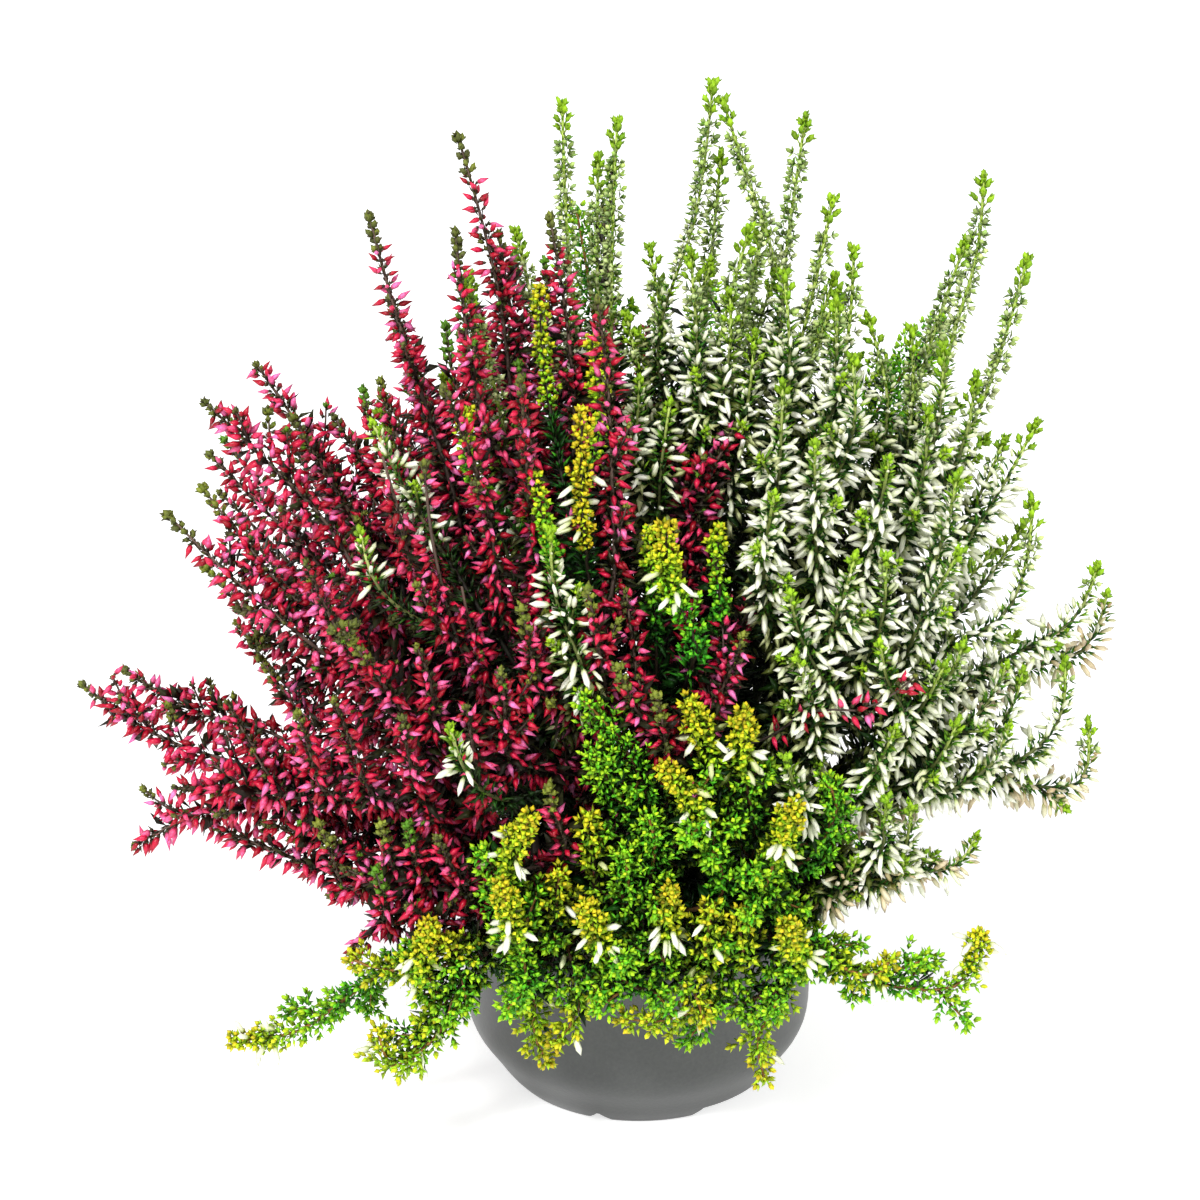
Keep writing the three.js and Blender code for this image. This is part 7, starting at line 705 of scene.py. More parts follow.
# ---- curves ------------------------------------------------------------------------
class Path:
    """A smooth curve through the points, with a frame that doesn't twist, by length from its start."""

    def __init__(self, pts, step=1.5):
        P = np.asarray(pts, float)
        seg = np.linalg.norm(np.diff(P, axis=0), axis=1)
        M = np.zeros_like(P)
        slope = np.diff(P, axis=0) / seg[:, None]
        if len(P) > 2:
            w0, w1 = seg[:-1, None], seg[1:, None]
            M[1:-1] = (slope[:-1] * w1 + slope[1:] * w0) / (w0 + w1)
            M[0], M[-1] = 1.5 * slope[0] - 0.5 * M[1], 1.5 * slope[-1] - 0.5 * M[-2]
        else:
            M[:] = slope[0]
        X = [P[:1]]
        for i in range(len(seg)):
            n = max(2, int(round(seg[i] / step)))
            t = (np.arange(1, n + 1) / n)[:, None]
            h = seg[i]
            X.append(
                (2 * t**3 - 3 * t**2 + 1) * P[i]
                + (t**3 - 2 * t**2 + t) * h * M[i]
                + (-2 * t**3 + 3 * t**2) * P[i + 1]
                + (t**3 - t**2) * h * M[i + 1]
            )
        self.X = np.concatenate(X)
        self.S = np.concatenate([[0], np.cumsum(np.linalg.norm(np.diff(self.X, axis=0), axis=1))])
        self.length = float(self.S[-1])
        self.T = unit(np.gradient(self.X, axis=0))
        s = np.array([1.0, 0, 0]) if abs(self.T[0, 0]) < 0.8 else np.array([0, 1.0, 0])
        N = np.zeros_like(self.X)
        for i, t in enumerate(self.T):
            s = s - t * (s @ t)
            s = s / np.linalg.norm(s)
            N[i] = s
        self.N = N
        self.B = np.cross(self.T, N)

    def at(self, s):
        f = np.interp(s, self.S, np.arange(len(self.S)))
        i = min(int(f), len(self.S) - 2)
        u = f - i
        mix = lambda A: A[i] * (1 - u) + A[i + 1] * u
        return mix(self.X), unit(mix(self.T)), unit(mix(self.N)), unit(mix(self.B))

    def along(self, s0, s1, step):
        n = max(2, int(math.ceil((s1 - s0) / step)) + 1)
        s = np.linspace(s0, s1, n)
        return s, np.stack([np.interp(s, self.S, self.X[:, k]) for k in range(3)], 1)


DOWN = np.array([0.0, 0.0, -1.0])


def lerp(a, b, t):
    t = min(1.0, max(0.0, t))
    return a + (b - a) * t


# ---- what grows on a shoot -----------------------------------------------------------
def around(t, n, b, a):
    return math.cos(a) * n + math.sin(a) * b


def club(plant, rng, at, way, length, width, hue, leaves=4, pale=0.0):
    """A fat little body of scale leaves: a core, and the leaf tips that stand off it."""
    way = unit(way)
    side = unit(np.cross(way, rng.normal(size=3)))
    other = np.cross(way, side)
    plant.add("lobe", at, way, side, length, width, width * 0.94, rng.uniform(0.3, 1.0), hue + rng.uniform(-0.03, 0.06), pale)
    a0 = rng.uniform(0, 6.3)
    for k in range(leaves):
        r = around(way, side, other, a0 + 2.4 * k)
        u = 0.02 + 0.62 * (k + 0.5) / leaves
        plant.add("leaf", at + way * length * u + r * width * 0.22, way + r * rng.uniform(0.45, 0.8), np.cross(way, r), length * 0.5, width * 0.5, width * 0.38, rng.random(), hue + rng.uniform(-0.14, 0.05), pale * rng.random())


def pressed(plant, rng, path, s0, s1, step, hue, length=2.0, width=0.95, lift=0.3, spread=0.1):
    """Pairs of scale leaves pressed to the stem."""
    s, i = s1, 0
    while s > s0:
        x, t, n, b = path.at(s)
        for k in (0, 1):
            r = around(t, n, b, math.pi / 2 * (i % 2) + math.pi * k + rng.uniform(-0.3, 0.3))
            plant.add("leaf", x + r * lift, t + r * rng.uniform(0.15, 0.5), np.cross(t, r), length * rng.uniform(0.8, 1.2), width, width * 0.6, rng.random(), hue + rng.uniform(-spread, spread))
        s -= step
        i += 1


def twig_leaves(plant, rng, at, way, length, hue0, hue1, leaf, step, spread, bow=0.08):
    """A short side shoot of a golden plant: ranks of rounded leaves on a thin stem, and a knob of leaves at its end."""
    way = unit(way)
    ref = np.cross(way, [0.0, 0.0, 1.0])
    if np.linalg.norm(ref) < 0.1:
        ref = np.array([1.0, 0, 0])
    n, b = unit(ref), unit(np.cross(way, ref))
    a0 = rng.uniform(0, math.pi / 2)
    count = max(1, int(round(length / step)))
    L, W, T = leaf
    rise = np.array([0, 0, bow * length])
    for i in range(count):
        u = (i + 0.5) / count
        p = at + way * (length * u) + rise * (u * u)
        a = a0 + (math.pi / 2) * (i % 2)
        open_ = math.radians(spread * (1.12 - 0.45 * u) + rng.uniform(-9, 9))
        size = (0.86 + 0.28 * math.sin(math.pi * min(1.0, u * 1.05))) * rng.uniform(0.85, 1.15)
        for k in (0, 1):
            r = around(way, n, b, a + math.pi * k)
            d = way * math.cos(open_) + r * math.sin(open_)
            plant.add("leaf", p + r * 0.2, d, np.cross(d, r), L * size, W * size, T * size, rng.random(), lerp(hue0, hue1, u) + rng.uniform(-0.13, 0.06))
    plant.add("lobe", at + way * (length - 0.6) + rise, way, n, L * 1.0, W * 1.12, W * 1.0, rng.uniform(0.4, 1.0), hue1 + rng.uniform(-0.02, 0.07))


def bud(plant, rng, kind, at, way, length, width, tone, hue, mix, bend):
    side = rng.normal(size=3)
    plant.add(kind, at, way, side, length, width, width * rng.uniform(0.88, 1.0), tone, hue, mix, bend)


# -- crimson --
def crimson_tip(plant, rng, path, hue, size=1.0, pairs=3):
    """A crimson shoot's unopened tip: a cluster of fat olive clubs."""
    end = path.length
    x, t, n, b = path.at(end - 2.6 * size)
    club(plant, rng, x, t, 3.4 * size, 2.1 * size, hue, 4)
    a0 = rng.uniform(0, 1.5)
    for i in range(pairs):
        x, t, n, b = path.at(end - (2.3 + 1.75 * i) * size)
        for k in (0, 1):
            r = around(t, n, b, a0 + math.pi / 2 * (i % 2) + math.pi * k + rng.uniform(-0.3, 0.3))
            d = t * 1.0 + r * (0.5 + 0.1 * i)
            club(plant, rng, x + r * 0.3, d, rng.uniform(2.1, 2.8) * size, 1.6 * size, hue + rng.uniform(-0.1, 0.04), 3)
    return end - (2.3 + 1.75 * pairs) * size


def crimson_node(plant, rng, path, s, a, size, rise, droop, reach, leaf_hue, full=1.0):
    """One bud on its stalk, with the small dark leaves under it."""
    x, t, n, b = path.at(s)
    r = around(t, n, b, a)
    el = math.radians(rise + rng.normal(0, 25))
    d = unit(r * math.cos(el) + t * math.sin(el) + DOWN * max(-0.2, droop + rng.normal(0, 0.26)) + np.cross(t, r) * rng.normal(0, 0.44))
    p = x + r * 0.45 + unit(r + t * 0.6) * reach
    z = size * rng.uniform(0.86, 1.16)
    L, W = CRIMSON_BUD
    bud(plant, rng, "crimson", p, d, L * z * full, W * min(z, 1.05) * full * rng.uniform(0.92, 1.1), rng.random(), 0, 0, rng.uniform(-0.03, 0.07))
    # the dark cup at its foot, and its stalk
    plant.add("leaf", p - d * 1.1, d, np.cross(d, r), 2.3, 1.3, 1.1, rng.random() * 0.7, leaf_hue + rng.uniform(-0.08, 0.06))
    if rng.random() < 0.8:
        w = unit(r * 0.8 + t * rng.uniform(0.3, 0.9) + np.cross(t, r) * rng.uniform(-0.7, 0.7))
        plant.add("leaf", x + r * 0.4, w, np.cross(w, r + t * 0.3), reach + rng.uniform(1.0, 2.2), 0.95, 0.65, rng.random(), leaf_hue + rng.uniform(-0.1, 0.14))


def crimson_flowers(plant, rng, path, start, stop, loose, leaf_hue, full=1.0):
    s, a, i = start, rng.uniform(0, 6), 0
    while s > stop:
        depth = start - s
        thin = depth < loose
        x, t, n, b = path.at(s)
        upright = max(0.0, t[2])
        droop = 0.05 + 0.38 * min(1.0, depth / 60) + 0.35 * (1 - upright)
        rise = lerp(36, 6, depth / 50)
        count = 2 if thin and i % 2 and upright > 0.5 else 3
        i += 1
        for k in range(count):
            if rng.random() < (0.14 if thin else 0.06):
                continue
            crimson_node(plant, rng, path, s + rng.uniform(-1.1, 1.1), a + 2 * math.pi * k / count + rng.uniform(-0.5, 0.5), lerp(0.84, 1.04, depth / 14), rise, droop, lerp(1.0, 1.9, depth / 26) * rng.uniform(0.7, 1.3), leaf_hue, full)
        if not thin and rng.random() < 0.14:
            # a dark leafy knot on the stem
            r = around(t, n, b, rng.uniform(0, 6.3))
            club(plant, rng, x + r * 0.8, t * 0.7 + r, 2.6, 1.6, float(rng.choice([0.22, 0.3, 0.62])), 3)
        s -= (2.65 if thin else lerp(2.4, 2.15, depth / 40)) * rng.uniform(0.85, 1.15)
        a += math.pi / (2 if count == 2 else 3) + rng.uniform(-0.25, 0.25)


def crimson_shoot(plant, rng, path, top, sparse, olive, scale, full=1.0):
    hue = {0: 0.3, 1: 0.4, 2: 0.66}[olive]
    if top > 3:
        low = crimson_tip(plant, rng, path, hue, rng.uniform(1.2, 1.4), 5) if top > 6 else crimson_tip(plant, rng, path, hue, 1.1, 3)
    else:
        low = crimson_tip(plant, rng, path, hue, 0.85, 2)
    start = min(low + 1.5, path.length - max(0.75 * top, 2.5))
    stop = max(5, path.length - 112)
    pressed(plant, rng, path, start - 6, low + 1.0, 1.1, hue - 0.12, 1.9, 1.05, 0.35)
    pressed(plant, rng, path, max(stop, start - 46), start - 5, 1.9, 0.08, 2.4, 0.95, 0.45)
    crimson_flowers(plant, rng, path, start, stop, sparse, 0.12, full)
    return start, stop


def crimson_lateral(plant, rng, path, s, length, knots=0.12):
    x, t, n, b = path.at(s)
    r = around(t, n, b, rng.uniform(0, 2 * math.pi))
    d = unit(t * 0.9 + r * 0.85 + np.array([0, 0, 0.1]))
    p = Path([x, x + d * length * 0.5 + np.array([0, 0, 0.02]) * length, x + d * length + np.array([0, 0, 0.1]) * length], 1.5)
    _, X = p.along(0, p.length - 0.5, 8)
    plant.tube(X, np.linspace(0.55, 0.35, len(X)), 3, 0.12, rng.random(), 0.3)
    big = rng.random() < knots
    low = crimson_tip(plant, rng, p, float(rng.choice([0.24, 0.34, 0.4])) if big else float(rng.choice([0.26, 0.34, 0.34, 0.66])), rng.uniform(1.0, 1.25) if big else rng.uniform(0.6, 0.8), 3 if big else 1)
    crimson_flowers(plant, rng, p, low + 0.5, 2.5, 0, 0.12, 1.1 if knots > 0.3 else 1.0)


# -- white --
def star(plant, rng, at, way, size, hue, pale, points=4):
    """A tuft on an unopened white shoot: a young bud in a star of small pointed leaves."""
    way = unit(way)
    side = unit(np.cross(way, rng.normal(size=3)))
    other = np.cross(way, side)
    plant.add("lobe", at, way, side, 2.3 * size, 1.5 * size, 1.35 * size, rng.random(), hue + rng.uniform(-0.06, 0.08), pale * rng.uniform(0.5, 1.2))
    a0 = rng.uniform(0, 6.3)
    for k in range(points):
        r = around(way, side, other, a0 + 2 * math.pi * k / points + rng.uniform(-0.3, 0.3))
        plant.add("leaf", at - way * 0.2, way * rng.uniform(0.3, 0.9) + r, np.cross(way, r), 2.6 * size * rng.uniform(0.8, 1.2), 0.95 * size, 0.6 * size, rng.random(), hue + rng.uniform(-0.22, 0.06), pale * rng.random())


def green_top(plant, rng, path, top, hue, size=1.0):
    """A white shoot's long unopened top: one smooth club, smaller ones in pairs under it, then stars on a pale stem."""
    end = path.length
    x, t, n, b = path.at(end)
    plant.add("lobe", x - t * 4.4 * size, t, n, 5.2 * size, 2.5 * size, 2.3 * size, 0.7, hue + 0.04)
    for k in range(4):
        r = around(t, n, b, 1.57 * k + 0.5)
        plant.add("leaf", x - t * (4.6 - 0.35 * k) * size + r * 0.6, t + r * 0.12, np.cross(t, r), 3.2 * size, 1.2 * size, 0.7 * size, rng.random(), hue + rng.uniform(-0.12, 0.04))
    s, i = end - 3.4 * size, 0
    clubs = 4 if top > 12 else 2
    a0 = rng.uniform(0, 1.5)
    low = end - max(top, 8)
    while s > low:
        x, t, n, b = path.at(s)
        turn = a0 + (math.pi / 2) * (i % 2) + rng.uniform(-0.25, 0.25)
        if i < clubs:
            for k in (0, 1):
                r = around(t, n, b, turn + math.pi * k)
                d = unit(t * 1.0 + r * (0.42 + 0.13 * i))
                q = x + d * rng.uniform(0.8, 1.4) * (1 + 0.22 * i) * size
                plant.tube([x, q + d * 0.6], [0.34, 0.3], 3, 0.5, rng.random(), 0.4)
                club(plant, rng, q, d, rng.uniform(3.2, 4.2) * size, 2.05 * size, hue + rng.uniform(-0.08, 0.06), 3)
            s -= rng.uniform(2.3, 3.0) * size
        else:
            for k in range(4 if i % 2 else 3):
                r = around(t, n, b, turn + 2.0 * k + rng.uniform(-0.3, 0.3))
                d = unit(r + t * rng.uniform(0.35, 0.9))
                reach = rng.uniform(0.7, 2.0)
                q = x + t * rng.uniform(-1.0, 1.0) + r * 0.5 + d * reach
                if reach > 1.3:
                    plant.add("leaf", x + r * 0.3, q - x - r * 0.3, np.cross(d, t), reach + 1.0, 0.55, 0.5, rng.random(), hue - 0.05, 0.35)
                depth = (end - s) / max(20.0, top)
                star(plant, rng, q, d, rng.uniform(0.98, 1.3), hue + rng.uniform(-0.14, 0.04) - 0.06 * depth, 0.14 + 0.5 * depth, 4 if k < 2 else 3)
            s -= rng.uniform(2.7, 3.3)
        i += 1
    pressed(plant, rng, path, s, end - 5, 1.5, hue - 0.05, 2.1, 0.85, 0.35)
    return s


def white_flowers(plant, rng, path, start, stop, swell, tan, leaf_hue=0.22):
    s, a = start, rng.uniform(0, 6)
    L0, W0 = WHITE_BUD
    while s > stop:
        depth = start - s
        u = min(1.0, depth / swell)
        x, t, n, b = path.at(s)
        upright = max(0.0, t[2])
        droop = 0.05 + 0.6 * min(1.0, depth / 45) + 0.3 * (1 - upright)
        rise = lerp(46, 4, depth / 42)
        count = 2 if u < 0.5 else 3
        for k in range(count):
            r = around(t, n, b, a + 2 * math.pi * k / count + rng.uniform(-0.35, 0.35))
            el = math.radians(rise + rng.normal(0, 24))
            d = unit(r * math.cos(el) + t * math.sin(el) + DOWN * max(-0.2, droop + rng.normal(0, 0.36)) + np.cross(t, r) * rng.normal(0, 0.44))
            reach = lerp(1.2, 2.4, u) * rng.uniform(0.6, 1.35)
            p = x + r * 0.45 + unit(r + t * 0.8) * reach + t * rng.uniform(-0.8, 0.8)
            z = lerp(0.42, 1.0, u ** 0.8) * rng.uniform(0.74, 1.12)
            bud(plant, rng, "white", p, d, L0 * z, W0 * min(1.1, z ** 0.7) * rng.uniform(0.9, 1.1), rng.random(), lerp(0.7, 0.0, u * 1.15), tan * (rng.random() < 0.8), rng.uniform(-0.02, 0.1))
            if rng.random() < 0.6:
                plant.add("leaf", p - d * 0.9, d + rng.normal(0, 0.12, 3), np.cross(d, r), 2.4, 1.0, 0.85, rng.random(), leaf_hue + rng.uniform(-0.08, 0.2))
        # the leaves between the buds
        for k in range(4):
            r = around(t, n, b, a + 1.2 + 1.57 * k + rng.uniform(-0.6, 0.6))
            plant.add("leaf", x + r * 0.4, t * rng.uniform(0.3, 1.2) + r, np.cross(t, r), rng.uniform(2.6, 5.4), 1.3, 0.8, rng.random(), lerp(0.46, leaf_hue, u) + rng.uniform(-0.12, 0.16))
        s -= lerp(2.4, 2.2, u) * rng.uniform(0.88, 1.12)
        a += math.pi / (2 if count == 2 else 3) + rng.uniform(-0.3, 0.3)


def fresh_tip(plant, rng, path, hue, size=1.0):
    """A short bright cluster of leaves at the end of a flowering white shoot."""
    end = path.length
    x, t, n, b = path.at(end - 2.4 * size)
    club(plant, rng, x, t, 3.4 * size, 2.0 * size, hue, 3)
    a0 = rng.uniform(0, 1.5)
    for i in range(2):
        x, t, n, b = path.at(end - (2.6 + 1.9 * i) * size)
        for k in range(3):
            r = around(t, n, b, a0 + 1.05 * i + 2.1 * k + rng.uniform(-0.3, 0.3))
            club(plant, rng, x + r * 0.4, t * 0.8 + r * (0.6 + 0.2 * i), rng.uniform(2.0, 2.9) * size, 1.35 * size, hue + rng.uniform(-0.1, 0.05), 2)
    return end - 5.6 * size


def white_shoot(plant, rng, path, top, sparse, olive, tan, scale):
    if top > 8:
        low = green_top(plant, rng, path, top, 0.58)
    else:
        low = fresh_tip(plant, rng, path, 0.61, 1.1)
    # a shoot can flower along its end only, given as a length under zero
    zone = 92 if sparse >= 0 else -sparse
    stop = max(5, path.length - max(top, 6) - zone)
    white_flowers(plant, rng, path, low, stop, 12 + 0.35 * top + max(0, sparse), tan)
    return low, stop


def white_lateral(plant, rng, path, s, length, tan):
    x, t, n, b = path.at(s)
    r = around(t, n, b, rng.uniform(0, 2 * math.pi))
    d = unit(t * 0.9 + r * 0.85 + np.array([0, 0, 0.1]))
    p = Path([x, x + d * length * 0.5 + np.array([0, 0, 0.02]) * length, x + d * length + np.array([0, 0, 0.1]) * length], 1.5)
    _, X = p.along(0, p.length - 0.5, 8)
    plant.tube(X, np.linspace(0.55, 0.4, len(X)), 3, 0.5, rng.random(), 0.3)
    low = fresh_tip(plant, rng, p, rng.uniform(0.5, 0.74), rng.uniform(0.75, 1.05))
    white_flowers(plant, rng, p, low + 0.6, 2.5, 5, tan)


# -- golden --
def golden_spike(plant, rng, path, style):
    L = path.length
    zone, tip, low = {
        "gold": (62, 0.9, 0.48), "tail": (78, 0.86, 0.46), "leafy": (105, 0.86, 0.42), "lime": (50, 0.74, 0.4), "frond": (95, 0.62, 0.36), "plume": (L, 0.6, 0.34), "short": (46, 0.93, 0.3), "stub": (20, 0.74, 0.5), "nib": (40, 0.82, 0.22), "slim": (40, 0.86, 0.46), "thin": (46, 1.04, 0.84),
    }[style]
    zone = min(L - (2 if style == "plume" else 5), zone)
    x, t, n, b = path.at(L)
    plant.add("lobe", x - t * 1.7, t, n, 2.4, 1.6, 1.5, 0.9, tip)
    for k in range(6):
        r = around(t, n, b, 1.3 * k)
        plant.add("lobe", x + r * 0.5 - t * rng.uniform(1.2, 3.0), t + r * 0.5, np.cross(t, r), 1.9, 1.35, 1.1, rng.random(), tip + rng.uniform(-0.08, 0.03))
    phase, swing = rng.uniform(0, 6.3), 0.4 if style in ("thin", "slim") else 0.24
    s, i = L - 1.6, 0
    while s > L - zone:
        depth = L - s
        u = depth / zone
        x, t, n, b = path.at(s)
        hue = lerp(tip, low, (depth / (zone if style in ("short", "nib") else 46 if style in ("gold", "tail") else 70)) ** 1.3)
        if style in ("gold", "tail", "short"):
            # a dense cone of knobs, then a looser, greener part
            dense = depth < (18 if style == "tail" else 28)
            size = lerp(1.7, 4.6, depth / 12) if dense else rng.uniform(3.4, 6.6)
            count, step, turn, spread, leaf = (4, 2.1, 0.8, 0.9, (2.35, 1.5, 1.05)) if dense else (3, 2.7, 1.05, 1.0, (2.5, 1.4, 0.9))
        elif style == "leafy":
            size = lerp(2.0, 6.4, depth / 16) * rng.uniform(0.75, 1.2)
            count, step, turn, spread, leaf = 3, 3.4, 1.05, 0.95, (2.8, 1.55, 1.0)
        elif style in ("slim", "nib", "thin"):
            size = lerp(1.6, 3.0, depth / 10) * rng.uniform(0.7, 1.25)
            count, step, turn, spread, leaf = 3, 2.4, 1.05, 0.85, (2.0, 1.6, 1.15)
        elif style in ("lime", "stub"):
            size = lerp(2.0, 5.4, depth / 12) * rng.uniform(0.8, 1.1)
            count, step, turn, spread, leaf = 4, 3.0, 0.8, 0.95, (2.4, 1.45, 0.95)
        elif style == "plume":
            size = lerp(2.0, 5.4, depth / 8) * rng.uniform(0.8, 1.15)
            count, step, turn, spread, leaf = 3, 3.4, 1.05, 0.95, (2.8, 1.4, 0.9)
        else:
            size = lerp(2.6, 9.0, depth / 20) * rng.uniform(0.85, 1.1)
            count, step, turn, spread, leaf = 3, 2.9, 1.05, 0.95, (2.5, 1.2, 0.8)
        # thicker and thinner by turns
        size *= 1 + swing * math.sin(depth * 0.42 + phase)
        a0 = turn * i + rng.uniform(-0.3, 0.3)
        for k in range(count):
            r = around(t, n, b, a0 + 2 * math.pi * k / count)
            d = unit(t * rng.uniform(0.7, 1.1) + r * spread)
            twig_leaves(plant, rng, x + r * 0.3, d, size * rng.uniform(0.8, 1.2), hue - 0.14, min(1.0, hue + 0.08), leaf, 1.65, 46)
        s -= step * rng.uniform(0.92, 1.08)
        i += 1
    if style in ("leafy", "frond", "gold", "tail"):
        pressed(plant, rng, path, L - zone, L - 12, 2.2, 0.62, 1.9, 0.9, 0.4)
    # a few white buds under the golden tips
    if style in ("gold", "leafy", "tail", "short", "thin"):
        for _ in range(int(rng.integers(7, 12)) if style != "leafy" else int(rng.integers(2, 6))):
            s = L - (rng.uniform(5, 36) if style == "leafy" else rng.uniform(1.5, 16) if style == "tail" else rng.uniform(20, 44) if style == "thin" else rng.uniform(13, 24))
            if s < 4:
                continue
            x, t, n, b = path.at(s)
            r = around(t, n, b, rng.uniform(0, 2 * math.pi))
            d = unit(r + t * rng.uniform(-0.2, 0.5) + DOWN * rng.uniform(0.0, 0.9))
            bud(plant, rng, "white", x + r * rng.uniform(2.0, 3.4), d, rng.uniform(5.6, 7.4), rng.uniform(1.9, 2.3), rng.uniform(0.1, 1.0), rng.random() * 0.25, 0.0, 0.05)
    return L - zone


def plume(plant, rng, path, s, length, droop):
    """A leafy side shoot low on a golden plant."""
    x, t, n, b = path.at(s)
    r = around(t, n, b, rng.uniform(0, 2 * math.pi))
    d = unit(t * 0.7 + r * 1.0)
    p = Path([x, x + d * length * 0.5 + np.array([0, 0, 0.04]) * length, x + d * length - np.array([0, 0, droop]) * length], 1.5)
    _, X = p.along(0, p.length - 0.5, 8)
    plant.tube(X, np.linspace(0.55, 0.35, len(X)), 3, 0.6, rng.random(), 0.4)
    golden_spike(plant, rng, p, "plume")


def old_wood(plant, rng, path, s_end, hue):
    """Dark leaves and dead twigs on the old wood below the flowers."""
    s = 3.0
    while s < s_end:
        x, t, n, b = path.at(s)
        for k in range(3):
            r = around(t, n, b, rng.uniform(0, 2 * math.pi))
            plant.add("leaf", x + r * 0.5, t * rng.uniform(0.4, 1.4) + r, np.cross(t, r), rng.uniform(3.0, 7.5), 1.15, 0.8, rng.random() * 0.6, hue + rng.uniform(-0.12, 0.12))
        s += 3.0


def inside(plant, rng, path, s0, s1, wide=1.0):
    """Old dark leaves around a shoot, which close the view through the plant; they are kept only in its shaded inside,
    and drawn darker there as painted shade.
    """
    s = s0
    while s < s1:
        x, t, n, b = path.at(s)
        for k in range(2):
            r = around(t, n, b, rng.uniform(0, 2 * math.pi))
            plant.add("old", x + r * rng.uniform(0.5, 3.0), t * rng.uniform(-0.2, 1.2) + r, np.cross(t, r) + rng.normal(0, 0.4, 3), rng.uniform(5.0, 10.0) * wide ** 0.5, rng.uniform(2.0, 3.2) * wide, 0.9, rng.random() * 0.5, rng.uniform(0.0, 0.3))
        s += 2.6


# Long side shoots of a branch: its name, and the shoot's points (mm)
SIDE_SHOOTS = [
    ("crimson_branch_19", [(19.5, -85.8, 145.7), (14.0, -82.1, 165.5), (11.0, -79.0, 183.8), (9.2, -76.9, 199.7)]),
    ("crimson_branch_01", [(31.9, -66.3, 161.9), (28.7, -68.0, 179.1), (31.5, -68.8, 193.2)]),
    ("crimson_branch_17", [(-31.8, -59.4, 158.6), (-33.0, -68.5, 171.0), (-37.5, -74.0, 186.0), (-40.0, -77.5, 201.0)]),
    ("crimson_branch_17", [(-40.7, -70.9, 179.5), (-47.5, -77.0, 189.0), (-53.5, -80.5, 203.0)]),
    ("crimson_branch_16", [(-53.3, -67.1, 144.5), (-49.0, -76.5, 156.0), (-49.5, -82.0, 171.0), (-53.5, -85.0, 185.0)]),
]
# A thin one that shows among the white buds
STRAY = ("crimson_branch_01", [(31.7, -68.0, 145.5), (49.3, -78.5, 150.0), (66.1, -84.0, 163.0), (80.2, -87.0, 164.5), (96.4, -83.5, 174.2)])
# Branches that carry as many side shoots as the low ones, and large leafy knots: branch, place (mm), way
BUSHY = ("crimson_branch_01", "crimson_branch_19")
KNOTS = [("crimson_branch_08", (-108.0, 12.0, 141.0), (-0.35, 0.0, 1.0)), ("crimson_branch_16", (-74.0, -92.0, 188.0), (-0.1, -0.3, 1.0))]
# Where a white sprig stands free among crimson shoots: its branch, two points along it, and the clear radius and depth in front (mm)
CLEARINGS = [
    ("white_branch_21", (-66.0, -49.0, 240.0), (-38.0, -61.5, 191.0), 4.6, 46.0),
    ("white_branch_21", (-70.6, -70.1, 216.6), (-63.0, -74.5, 196.0), 3.4, 30.0),
]
FRONT = unit((0.05, -0.943, 0.33))


def clear(plant, name):
    """Leave out the bodies of other branches that stand right in front of a sprig."""
    for owner, a, b, radius, reach in CLEARINGS:
        if owner == name:
            continue
        a, b = np.array(a), np.array(b)
        flat = lambda v: v - np.multiply.outer(v @ FRONT, FRONT)
        ab = flat(b - a)
        for kind, rows in plant.rows.items():
            if not rows:
                continue
            R, mid = plant.middles(kind)
            u = np.clip(flat(mid - a) @ ab / (ab @ ab), 0, 1)
            away = np.linalg.norm(flat(mid - a) - u[:, None] * ab, axis=1)
            front = ((mid - a) - u[:, None] * (b - a)) @ FRONT
            keep = ~((away < radius) & (front > -3) & (front < reach))
            plant.rows[kind] = [row for row, k in zip(rows, keep) if k]


